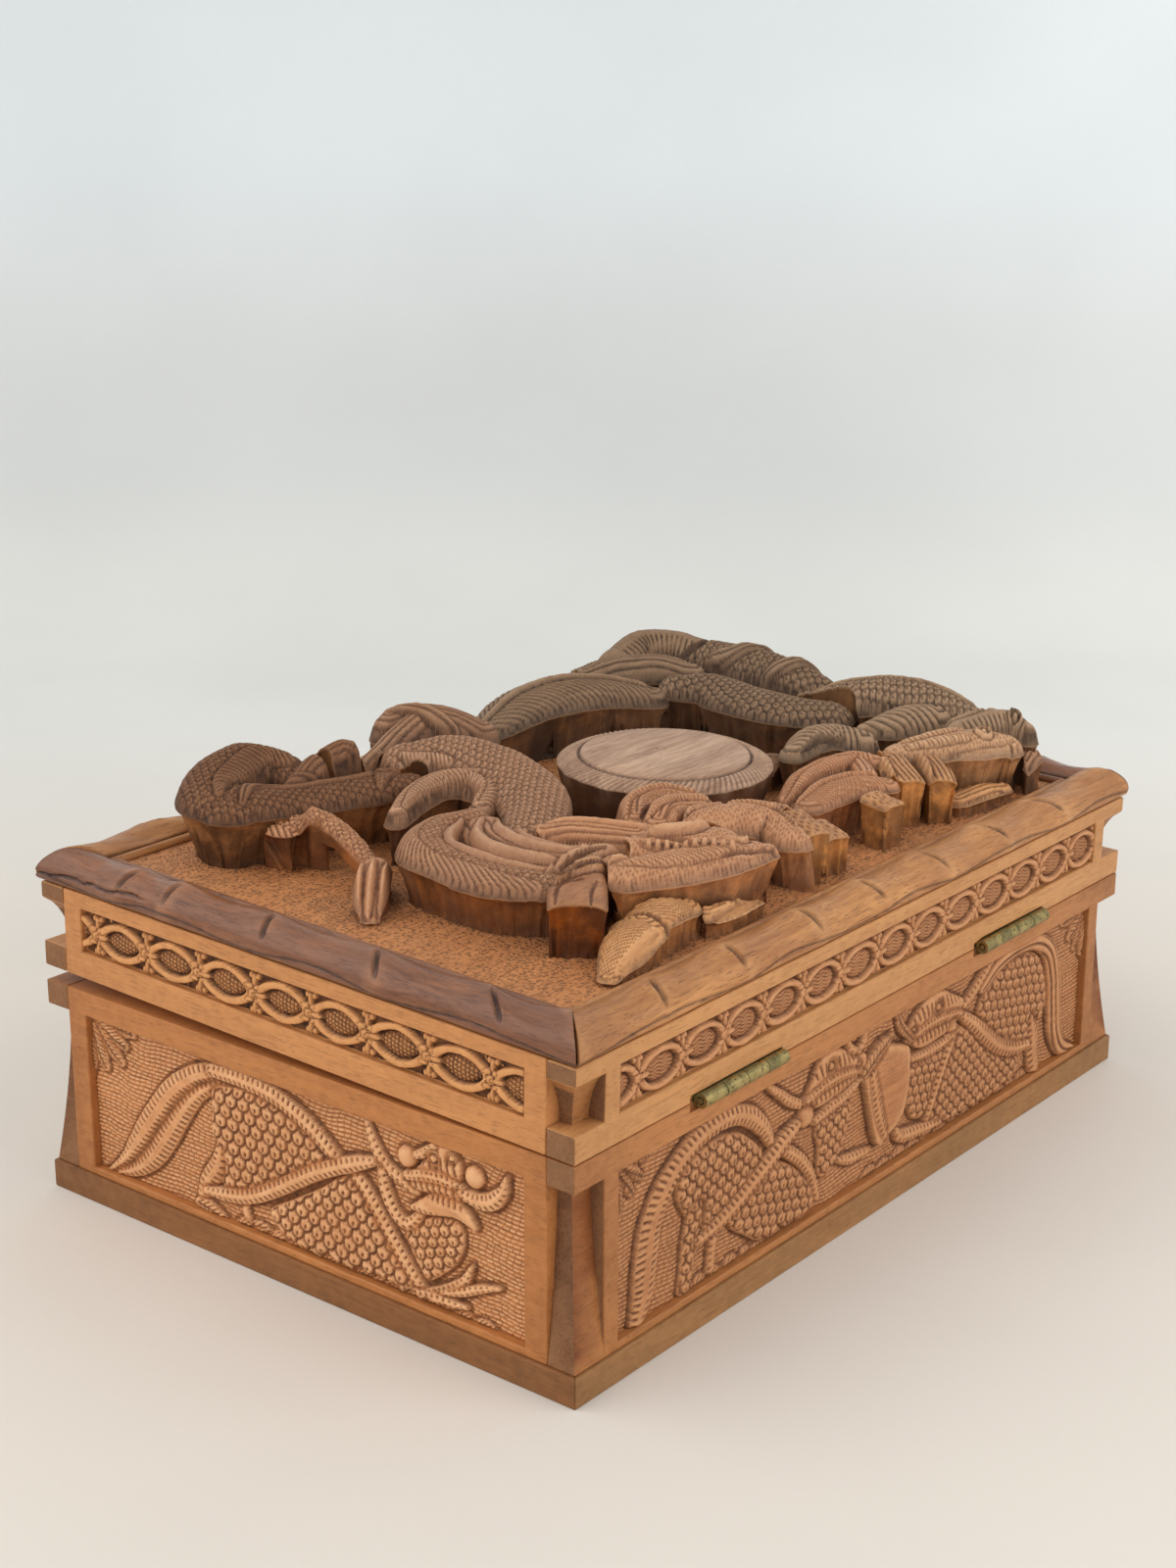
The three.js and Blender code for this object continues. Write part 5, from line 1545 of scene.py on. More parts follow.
@dataclass(frozen=True)
class Stroke:
    """One stroke of high relief: stations of [x, y, half width, crown, rim] and its marks.

    A stroke with an end that is cut off square has a flat top.
    """

    at: Stations
    cut: Cut = PLAIN
    square: tuple[bool, bool] = (False, False)

    def measure(self, x: Array, y: Array) -> tuple[Array, Array, Array]:
        """Measures points against the stroke.

        Args:
            x: First coordinates.
            y: Second coordinates.

        Returns:
            Depth inside its edge, height of its top, and depth of its marks from 0 to 1.
        """
        line = smooth_line(self.at, per_span=6)
        gap, along, off, (half, crown, rim) = nearest(line, x, y)
        depth = half - gap
        for end, sign in ((0, 1), (-1, -1)):
            if self.square[end]:
                step = np.diff(line[:, :2], axis=0)[end]
                ahead = step / np.maximum(np.hypot(step[0], step[1]), 1e-6)
                past = (x - line[end, 0]) * ahead[0] + (y - line[end, 1]) * ahead[1]
                depth = np.minimum(depth, sign * past)
        q = np.clip(gap / half, 0, 1)
        dome = 1 - q**4 if any(self.square) else (1 - q**2) ** 0.72
        return depth, rim + (crown - rim) * dome, self.cut.depths(x, y, Spot(depth, along, off, half))


@dataclass(frozen=True)
class Touch:
    """A detail on top of a figure: its line and half widths, how far it rises, its marks, and for a sunk detail how
    dark it is painted as shade.
    """

    at: Stations
    lift: float
    cut: Cut = PLAIN
    edge: float = 0.7
    dark: float = 0.9


@dataclass(frozen=True)
class Figurine:
    """One figure of the high relief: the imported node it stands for, strokes and details."""

    node: str
    strokes: tuple[Stroke, ...]
    touches: tuple[Touch, ...]
    under: float
    tone: str = ""

    def box(self) -> tuple[float, float, float, float]:
        """Gives the figure's least and greatest coordinates."""
        p = np.vstack([smooth_line(s.at)[:, :3] for s in self.strokes])
        return ((p[:, 0] - p[:, 2]).min(), (p[:, 1] - p[:, 2]).min(),
                (p[:, 0] + p[:, 2]).max(), (p[:, 1] + p[:, 2]).max())

    def depth(self, x: Array, y: Array) -> Array:
        """Gives the distance inside the figure's outline, negative outside."""
        return np.max([s.measure(x, y)[0] for s in self.strokes], axis=0)

    def top(self, x: Array, y: Array) -> tuple[Array, Array]:
        """Works out the carved top.

        Args:
            x: First coordinates.
            y: Second coordinates.

        Returns:
            Heights above the ground, and how deep the marks are from 0 to 1, with the painted shade of moats and sunk
            details.
        """
        best = inside = np.full(x.shape, -1e9)
        height = marks = amount = np.zeros_like(x)
        for stroke in self.strokes:
            depth, level, cut = stroke.measure(x, y)
            score = np.where(depth > 0, 1000 + level, depth)
            take = score > best
            best = np.where(take, score, best)
            height = np.where(take, level, height)
            marks = np.where(take, cut, marks)
            amount = np.where(take, stroke.cut.depth, amount)
            inside = np.maximum(inside, depth)
        for touch in self.touches:
            spot = Band(touch.at).inside(x, y)
            depth, raised = spot.depth, touch.lift > 0
            cut = touch.cut.depths(x, y, spot) * ramp(depth, 0.05, 0.45)
            # A sunk detail is painted dark as shade in it.
            if not raised:
                cut = np.maximum(cut, touch.dark)
            marks = np.where(depth > 0, cut, marks)
            amount = np.where(depth > 0, touch.cut.depth if raised else 0.0, amount)
            moat = ramp(depth, -0.9, -0.15) * (depth <= 0) * raised
            height = height + touch.lift * ramp(depth, 0, touch.edge) - 0.3 * moat
            # A raised detail gets a moat painted dark as shade round it.
            marks = np.maximum(marks, moat * 0.55)
        edge = ramp(inside, 0.0, 0.9)
        height = height - amount * marks * ramp(inside, 0.1, 0.8) - 0.35 * (1 - edge)
        return height + 0.1 * soft_noise(x / 1.4, y / 1.4, 61) + 0.22 * soft_noise(x / 6, y / 6, 62), marks


def scale_cut(pitch: float, turn: float = 0.0) -> Cut:
    """Gives the small punched scales of the lid's dragons."""
    return scales(1.08 * pitch, 0.5, turn)


def ringed_eye(x: float, y: float, size: float) -> list[Touch]:
    """Makes a round eye: rim, hollow and ball.

    Args:
        x: First coordinate.
        y: Second coordinate.
        size: Radius of its rim.

    Returns:
        The details.
    """
    return [Touch(((x - 0.1, y, size * part), (x + 0.1, y, size * part)), lift, edge=edge)
            for part, lift, edge in ((1, 1.6, 0.7), (0.72, -2.4, 0.3), (0.44, 1.8, 0.7))]


HAIR, FINE_HAIR = slant(1.8, 0.45), slant(1.4, 0.32)
STRANDS, FINE_STRANDS = ribs(1.7, 0.45), ribs(1.35, 0.3)
CHEEK, BLOCK = fur(0.95, 0.22, 25), fur(1.5, 0.2, 70)
BORDER = slant(2.5, 0.55, 60)

CURLS = (
    Touch(((84, 43, 0.8), (77, 43.4, 2.5), (69, 45.4, 2.7), (60.5, 48.8, 0.7)), 1.8, PLAIN, 1.2),
    Touch(((80, 43.8, 0.4), (73, 45, 1.2), (65.5, 47.6, 0.5)), -2.2, edge=0.9, dark=0.75),
    Touch(((90, 50.6, 0.8), (83, 50.4, 2.5), (75.5, 52.2, 2.7), (66.5, 55.6, 0.7)), 1.8, PLAIN, 1.2),
    Touch(((86, 51, 0.4), (79, 51.8, 1.2), (71.5, 54.2, 0.5)), -2.2, edge=0.9, dark=0.75),
)

RELIEF: tuple[Figurine, ...] = (
    Figurine("near_tail_coil", (
        Stroke(((74, -60, 7, 23, 16), (75, -68, 9, 26, 18), (83, -73, 9.5, 28.5, 19), (94, -72, 10, 27.5, 19), (103,
            -65, 10.5, 24, 17), (104, -57, 9.5, 21.5, 16)), scale_cut(2.3)),
        Stroke(((104, -62, 9.5, 23, 17), (97, -55, 9.5, 22, 16), (86, -50, 8, 20.5, 15), (73, -46, 8, 20, 14.5), (61,
            -42, 8, 20, 14.5), (50, -38, 6.5, 19, 14)), scale_cut(2.2, 20)),
        Stroke(((87, -53, 1.2, 19.5, 16), (80, -55, 3.2, 22, 17), (73.5, -57, 4.6, 24.2, 17.5), (69, -58.2, 4.8, 25.2,
            17.5)), FINE_STRANDS),
    ), (
        Touch(((106, -59, 1.2), (101, -63.5, 2.2), (94, -65.6, 2.8), (86, -67.6, 2.9), (79, -67.4, 2.7), (74.4, -61.5,
            1.8)), 0.7, HAIR),
        Touch(((104, -52, 0.8), (96, -56.5, 2.2), (87, -54.3, 3), (75, -50.4, 3.2), (63, -46.5, 3), (52, -41.5, 1.6)),
            1, STRANDS),
        Touch(((63, -37.5, 1), (58, -41, 2.6), (52.5, -42.5, 2.4)), 0.9, FINE_HAIR),
        Touch(((103, -58.8, 0.5), (99.5, -59.6, 0.8)), -2.2, edge=0.4),
    ), 5.5, "relief_umber"),
    Figurine("near_fin", (
        Stroke(((82, -56, 1.5, 21, 16), (74, -57.5, 4.4, 24.3, 17.5), (65, -58.5, 5.2, 26, 17.5), (58.5, -57.8, 4.8,
            27.2, 18), (55, -56.6, 3, 26.6, 18)), FINE_STRANDS),
    ), (), 3, "relief_umber"),
    Figurine("ground_claw", (
        Stroke(((95, -9, 4.5, 11.6, 8), (102, -4, 5, 10.6, 7), (108, 1, 4, 6, 3.5), (111, 4, 2.6, 2.6, 1.6))),
    ), (
        Touch(((96.5, -8.2, 0.9), (102, -4, 1.35), (108.4, 1, 1.2), (112, 4, 0.7)), 1.7, PLAIN, 1.2),
        Touch(((94.6, -5.2, 0.9), (99.8, -1.2, 1.3), (106, 3.6, 1.1), (109.6, 6, 0.6)), 1.5, PLAIN, 1.1),
        Touch(((98.8, -10.8, 0.9), (104.2, -6.8, 1.3), (110, -1.6, 1.1), (113, 1.8, 0.6)), 1.5, PLAIN, 1.1),
    ), 1),
    Figurine("near_arch", (
        Stroke(((41, -48, 8, 24, 17), (33, -38, 11.5, 26.5, 18), (30, -22, 12, 26, 17), (35, -6, 12, 23.5, 16.5), (46,
            7, 10, 21, 15), (58, 14, 8, 19, 14)), scale_cut(2.4, 35)),
        Stroke(((73, -22, 3.5, 18, 13), (61, -27, 4.5, 20.5, 14), (49, -28, 5, 21.5, 15), (40, -22, 5, 22, 15)), HAIR),
        Stroke(((42, -20, 5, 21, 15), (44, -12, 4.5, 20.5, 15), (53, -8, 4, 18, 14)), HAIR),
    ), (
        Touch(((70, -21.6, 0.7), (61, -25, 1.5), (50, -25.8, 1.9), (43.5, -21, 2), (45.6, -14.6, 1.7), (53, -10, 0.8)),
            0.8, FINE_HAIR),
        Touch(((45, -46, 0.8), (42.2, -38, 1.5), (40.6, -31, 1.2)), 0.7, FINE_HAIR),
    ), 3.2, "relief_fawn"),
    Figurine("stalk_leaf", (
        Stroke(((57, -54, 2.2, 19.5, 15), (44, -58, 3.6, 21.5, 15), (32, -62, 4.4, 23.5, 16), (21, -64, 6, 26, 17)),
            ribs(1.5, 0.5)),
        Stroke(((25, -70, 6, 26, 18), (15, -66, 8, 27.5, 18), (7, -59, 8, 25.5, 17), (2, -51, 5, 22, 16)), ribs(1.6,
            0.45)),
    ), (
        Touch(((24, -75, 1), (21.5, -69, 2.2), (16, -62, 2.4), (12, -54, 1.4)), 1.1, ribs(2, 0.5)),
    ), 3),
    Figurine("near_sweep", (
        Stroke(((62, -3, 6, 19, 14), (76, -3, 8, 19.5, 14), (88, 4, 9, 19, 13.5), (91, 17, 9, 18.5, 13.5), (91, 31, 9,
            18, 13), (86, 43, 8, 17.5, 13)), scale_cut(2)),
        Stroke(((66, 6, 9, 19, 14), (74, 20, 10, 19.5, 14), (74, 36, 10, 19, 14), (66, 46, 8, 19, 14)), ribs(2.9,
            0.5)),
    ), (
        Touch(((60, -6.5, 1), (75, -8.2, 2.4), (89, -3.2, 3), (96.4, 8, 3.3), (97.2, 20, 3.3), (96.4, 33, 3.1), (91.5,
            46, 1.8)), 0.4, BORDER, 1.6),
        Touch(((70, 0, 0.8), (81, 6, 2.1), (86.6, 17, 2.5), (86.6, 30, 2.3), (82.6, 43, 0.9)), 1.5, PLAIN, 2),
        Touch(((66, 4, 0.8), (75, 10, 1.9), (80.4, 20, 2.3), (80.2, 32, 2.1), (76, 44, 0.8)), 1.6, PLAIN, 2),
        Touch(((63, 8, 0.8), (70, 14, 1.8), (74.2, 23, 2.1), (73.8, 34, 2), (69, 45, 0.8)), 1.5, PLAIN, 1.9),
        Touch(((60.5, 11, 0.8), (65.5, 18, 1.7), (68.2, 27, 1.9), (67.4, 36, 1.8), (62, 45, 0.7)), 1.3, PLAIN, 1.7),
        *CURLS,
    ), 5, "relief_russet"),
    Figurine("near_shoulder", (
        Stroke(((63, 20, 3.6, 20, 15), (56, 31, 6.4, 21.5, 15), (49, 45, 7, 21, 15)), ribs(1.7, 0.6)),
    ), (
        Touch(((60, 21, 0.7), (53, 32, 1.8), (46, 45, 2)), 1.3, PLAIN, 1.4),
        *CURLS,
    ), 3),
    Figurine("near_crest", (
        Stroke(((95, 62, 7.8, 16.4, 14.6), (84, 53, 7.8, 18.5, 16.2), (73, 45, 7, 20, 16.5)), PLAIN, (True, False)),
    ), (
        Touch(((98, 57, 0.5), (91, 52.6, 0.8), (84, 55, 0.4)), -0.7, edge=0.8, dark=0.5),
        Touch(((94, 65.6, 0.4), (88, 61, 0.7), (82, 58, 0.4)), -0.7, edge=0.8, dark=0.5),
        *CURLS,
    ), 1.2),
    Figurine("near_head", (
        Stroke(((71, 58, 8, 20, 15), (58, 64, 9, 20.5, 15), (45, 69, 9, 21, 15.5), (34, 72, 6.4, 19.5, 15), (27.5, 74,
            3.6, 17.5, 14.5)), CHEEK),
        Stroke(((62, 48, 8, 21, 15), (46, 55, 10, 21.5, 15.5), (33, 60, 9, 20, 15)), CHEEK),
    ), (
        Touch(((72, 58, 1), (65, 62.6, 2.6), (57, 67.4, 2.8), (48, 71.5, 2.2), (38, 75, 0.9)), 0.8, slant(1.9, 0.4,
            50), 1.6),
        Touch(((57, 54, 0.9), (52.4, 60, 1.7), (48, 66.6, 1.8), (43, 73.4, 0.8)), 1.7, Cut(Mark.TEETH, 2.5, 1.4), 0.7),
        Touch(((52, 54.6, 0.8), (46, 60.6, 1.4), (41.6, 66.4, 0.7)), -1.4, edge=1.3, dark=0.6),
        Touch(((54.6, 48.6, 0.9), (47.6, 54.4, 2), (39, 57.4, 1.9), (30.6, 56, 0.8)), 2.4, PLAIN, 1.5),
        Touch(((53, 46.4, 0.6), (46, 50.4, 1.7), (37.6, 53.4, 1)), -2.4, edge=1.2, dark=0.9),
        *ringed_eye(35.2, 69, 3.5),
        Touch(((28, 76.4, 0.5), (38, 75.8, 0.7), (48, 73.8, 0.5)), -1.3, edge=0.5),
        Touch(((29.6, 72.6, 0.6), (28.8, 73.4, 0.6)), -1, edge=0.3),
        *CURLS,
    ), 4.5, "relief_rose"),
    Figurine("near_mane", (
        Stroke(((33, 33, 5, 19, 14), (25, 28, 6.5, 21, 14.5), (15, 29, 6.5, 21, 14.5), (8, 36, 5, 19, 14)),
            feather(1.8, 0.5)),
        Stroke(((35, 42, 6, 20, 15), (25, 38, 7, 21.5, 15), (14, 40, 6, 20, 15)), ribs(1.6, 0.5)),
    ), (
        Touch(((34, 35.4, 0.7), (27, 33.2, 1.3), (19, 33.6, 1.4), (11, 37.6, 0.8)), -2.4, edge=1.2),
        Touch(((36, 31, 1), (29, 25.6, 2.3), (20, 24.6, 2.6), (11, 28.4, 2), (7, 34, 1)), 1.3, HAIR, 0.9),
        Touch(((36, 39, 1), (28, 36.8, 2), (20, 37.4, 2), (12, 41, 1)), 1.3, FINE_HAIR, 0.9),
        Touch(((33, 44.6, 0.8), (26, 43, 1.7), (18, 44, 1)), 1, FINE_HAIR, 0.8),
    ), 3),
    Figurine("beard_slab_a", (
        Stroke(((1, 63, 4.8, 18.5, 17.3), (6.5, 77, 4.2, 16.5, 15.5)), BLOCK, (True, True)),
    ), (), 1, "slab"),
    Figurine("near_cheek", (
        Stroke(((24, 49, 8.5, 21, 15), (14, 54, 9.5, 21, 15), (7, 62, 9, 20, 14.5), (11, 71, 7, 18, 13)), CHEEK),
    ), (
        Touch(((9, 47.6, 0.8), (2.6, 54, 1.8), (0.6, 62, 2), (4, 71, 1.2)), 1.3, FINE_HAIR, 0.9),
        Touch(((12, 50, 0.8), (7, 56, 1.5), (5.6, 63, 1.6), (8.6, 71, 1)), 1, FINE_HAIR, 0.8),
        Touch(((30, 46, 1), (22, 45.4, 2), (13, 47.6, 1)), 1, FINE_HAIR, 0.8),
    ), 4, "relief_rose"),
    Figurine("beard_slab_b", (
        Stroke(((-7, 66, 4.6, 14, 13), (-4, 77, 4.6, 12.5, 11.5)), BLOCK, (True, True)),
    ), (), 1, "slab"),
    Figurine("leaf_pair", (
        Stroke(((102, 78, 3, 3, 2), (93, 75, 6.2, 8.5, 5), (84, 72.5, 8, 10.5, 7), (78, 71.5, 6.5, 9, 6.5)),
            FINE_HAIR),
        Stroke(((79, 71, 6.5, 10.5, 8), (71, 70.6, 8.4, 12.5, 9.5), (63, 71, 6, 11, 8)), FINE_HAIR),
    ), (
        Touch(((81.5, 63.5, 0.7), (78, 71, 0.9), (77.5, 79, 0.7)), -1.8, edge=0.9),
        Touch(((99, 79.5, 1.4), (91, 80, 2.6), (82, 78, 1.6)), -1.2, edge=2, dark=0),
    ), 1.4),
    Figurine("leaf_small", (
        Stroke(((57, 75, 5, 8, 5.5), (48, 76, 5.6, 8.5, 6), (39, 76, 4.8, 7.5, 5)), ribs(1.7, 0.35)),
    ), (
        Touch(((58, 79, 1.2), (48, 80, 2), (37, 79, 1.2)), -1.6, edge=0.8, dark=0.1),
    ), 1),
    Figurine("wing_leaf", (
        Stroke(((3, -54, 2.4, 18, 14), (-12, -59, 8, 21, 15), (-28, -62, 10.4, 23.5, 16), (-44, -60, 11.6, 24.5, 16.5),
            (-58, -51, 10.5, 24, 17), (-67, -38, 5.4, 21, 16)), leaf(3, 0.55)),
    ), (
        Touch(((4, -54, 0.5), (-12, -59, 0.9), (-28, -62, 1.1), (-44, -60, 1.1), (-58, -51, 0.9), (-66, -40, 0.5)),
            1.2, PLAIN, 0.6),
        Touch(((-6, -66, 0.6), (-26, -71, 0.9), (-46, -69.5, 1), (-62, -58, 0.8), (-69, -45, 0.5)), -1.2, edge=0.7),
    ), 3.5),
    Figurine("rear_arch", (
        Stroke(((-64, -65, 6, 23, 17), (-77, -62, 7, 24.5, 17), (-90, -54, 7, 24.5, 17), (-97, -44, 6, 22, 16)),
            ribs(2.2, 0.55)),
    ), (
        Touch(((-62, -69, 0.8), (-78, -66, 1.7), (-92, -57.6, 1.7), (-100, -46, 0.8)), 1.1, FINE_HAIR, 0.9),
    ), 3),
    Figurine("far_body", (
        Stroke(((-90, -71, 7.5, 24, 17), (-103, -71, 8.5, 27.5, 18), (-111, -62, 8, 27.5, 18), (-113, -49, 8, 26, 17)),
            hatch(2.2, 0.5)),
        Stroke(((-113, -53, 8, 26, 17), (-112.5, -38, 8.5, 27, 17), (-112, -22, 8.5, 27, 17), (-111, -7, 8, 25, 16),
            (-111, 4, 6, 21, 14)), scale_cut(2.4)),
    ), (
        Touch(((-106, -44, 1.2), (-108, -36, 2.8), (-114, -29, 2.8), (-119, -24, 1.4)), 1.6, STRANDS, 1.2),
        Touch(((-104, -20, 1.2), (-109, -13, 2.8), (-115, -8, 2.6), (-119, -3, 1.2)), 1.6, STRANDS, 1.2),
        Touch(((-105, -55, 1), (-111, -50, 1.8), (-118, -50, 1)), -1.6, edge=1.2),
    ), 3),
    Figurine("scaly_body", (
        Stroke(((-80, -39, 6, 22, 16), (-87, -29, 10, 23, 16), (-86, -13, 11, 22, 15.5), (-88, 2, 11, 21, 15), (-94,
            13, 9, 20, 14.5)), scale_cut(2.8, 10)),
        Stroke(((-65, -33, 1.6, 3, 2), (-72, -38, 1.8, 12, 11), (-79, -40, 2.6, 18, 16)), FINE_STRANDS),
    ), (
        Touch(((-88, -41, 0.8), (-95, -30, 1.8), (-96, -14, 1.9), (-97.5, 0, 1.6), (-101, 9, 0.8)), 0.9, FINE_HAIR,
            0.9),
    ), 3.5),
    Figurine("right_arch", (
        Stroke(((-99, 4, 9, 21, 15), (-106, 14, 9.5, 25, 16), (-111, 27, 9, 27.5, 17), (-112.5, 42, 8, 27, 17), (-112,
            55, 6.5, 24, 16)), scale_cut(2.5, -20)),
    ), (
        Touch(((-106, 0, 0.8), (-113, 12, 1.7), (-118, 27, 1.8), (-119, 42, 1.7), (-117, 55, 0.8)), 1, FINE_STRANDS,
            0.9),
        Touch(((-102.6, 3, 0.8), (-109, 14, 1.6), (-113.6, 28, 1.6), (-115, 42, 1.6), (-114, 55, 0.8)), 0.9,
            FINE_STRANDS, 0.9),
    ), 3, "relief_dun"),
    Figurine("ribbed_fan", (
        Stroke(((-88, 31, 3.4, 18, 14), (-93, 35, 7.2, 20.5, 15), (-99, 40, 9, 23, 16), (-105, 47, 8, 23.5, 16)),
            slant(2.6, 1, 40)),
    ), (), 3, "relief_dun"),
    Figurine("rear_head", (
        Stroke(((-100, 58, 5.5, 22, 16), (-108, 63, 6.5, 24, 16), (-114, 69, 5, 24, 15), (-114.5, 75, 3.6, 21, 15)),
            hatch(1.8, 0.5)),
    ), (
        *ringed_eye(-113, 71, 2.4),
        Touch(((-98, 55, 0.8), (-106, 58.5, 1.7), (-113, 63.5, 1)), 1.2, STRANDS, 0.9),
    ), 3, "relief_dun"),
    Figurine("right_head", (
        Stroke(((-76, 52, 6, 18, 14), (-87, 60, 9, 20.5, 14.5), (-97, 67, 9, 21, 14), (-104, 73, 6, 19, 14)), CHEEK),
    ), (
        Touch(((-78, 47, 0.9), (-88, 53, 2), (-98, 59.6, 2), (-105, 66, 0.9)), 1.3, HAIR, 1.2),
        Touch(((-77, 51, 0.8), (-86, 57, 1.7), (-94, 62.6, 0.8)), 1.2, FINE_HAIR, 1.2),
        Touch(((-75.6, 55, 0.8), (-83, 61.6, 1.7), (-90, 67.4, 0.8)), 1.2, FINE_HAIR, 1.2),
        Touch(((-80, 66, 0.6), (-88, 72, 1.4), (-97, 76, 1.2), (-103, 77, 0.6)), 0.8, PLAIN, 1.1),
        *ringed_eye(-97, 69, 2.8),
        Touch(((-100.6, 77.4, 0.6), (-101.4, 76.6, 0.6)), -1, edge=0.3),
    ), 5, "relief_pale"),
    Figurine("right_lobe", (
        Stroke(((-76, 73, 5, 6, 4), (-87, 75, 5.8, 7, 5), (-96, 76, 4.6, 6, 4)), ribs(2.2, 0.3)),
    ), (
        Touch(((-78, 70.5, 0.5), (-87, 72, 0.6), (-96, 73, 0.4)), -0.9),
    ), 1),
    Figurine("low_leaf", (
        Stroke(((-104, 77.5, 3.6, 9, 7), (-111, 77, 4.6, 13, 10), (-117.5, 76, 4.2, 14, 11)), ribs(1.6, 0.5)),
    ), (
        Touch(((-105, 75, 0.7), (-112, 74.4, 1.2), (-118, 74, 0.6)), 1.2, FINE_HAIR, 0.7),
    ), 1, "relief_fawn"),
    Figurine("ear_lump", (
        Stroke(((-58, 24, 4.5, 16, 12), (-67, 24, 6.5, 19.5, 14), (-75, 29, 6.5, 20, 14.5), (-77, 38, 5, 19, 14)),
            slant(2.2, 0.6, 40)),
    ), (
        Touch(((-58, 27, 0.8), (-66, 28.4, 1.4), (-72, 34, 0.8)), -2, edge=1.4, dark=0.6),
    ), 3, "relief_dun"),
    Figurine("claw_arc", (
        Stroke(((-24, 45, 3.6, 12, 9), (-36, 42, 4.8, 16, 12), (-48, 42, 5, 17.5, 13), (-60, 45, 5, 18, 13), (-62, 52,
            4, 17.5, 13.5)), HAIR),
        Stroke(((-20, 56, 5, 15, 12), (-31, 56, 7, 17, 13), (-41, 59, 6.5, 17.5, 14), (-47, 65, 4.5, 16.5, 14)),
            FINE_HAIR),
        Stroke(((-60, 46, 4, 17.5, 13.5), (-54, 53, 4, 17, 13.5), (-46, 60, 4, 17, 14)), STRANDS),
    ), (
        Touch(((-22, 46.6, 0.6), (-35, 44.4, 1.6), (-48, 44.6, 1.8), (-58, 46.8, 0.8)), 1, FINE_HAIR, 0.8),
        Touch(((-18, 53, 0.7), (-30, 52, 1.7), (-41, 55, 1.6), (-48, 61, 0.8)), 1.2, FINE_HAIR, 0.9),
    ), 3),
    Figurine("claw_slab_a", (
        Stroke(((-35, 67, 5, 16, 15), (-34, 77, 4.6, 14.5, 13.5)), BLOCK, (True, True)),
    ), (), 1, "slab"),
    Figurine("claw_slab_b", (
        Stroke(((-66, 54, 5.6, 17.5, 16), (-59, 62, 6, 17, 15.5), (-53, 70, 5, 16, 14.5)), STRANDS, (False, True)),
    ), (
        Touch(((-66, 50.4, 0.8), (-59, 57, 1.6), (-51, 65.6, 0.8)), 1.4, FINE_HAIR, 0.8),
    ), 1.5, "slab"),
    Figurine("claw_slab_c", (
        Stroke(((-74, 63, 4.4, 17, 15.5), (-68, 70, 5, 16.5, 15), (-62, 76, 4.4, 15.5, 14)), STRANDS, (False, True)),
    ), (
        Touch(((-73, 60, 0.8), (-67, 66.4, 1.6), (-60, 73, 0.8)), 1.4, FINE_HAIR, 0.8),
    ), 1.5, "slab"),
    Figurine("leaf_by_disc", (
        Stroke(((-54, 12, 6, 8, 5), (-61, 14, 8, 10, 7), (-63, 22, 5, 9, 6)), leaf(1.8, 0.45)),
    ), (), 1),
)


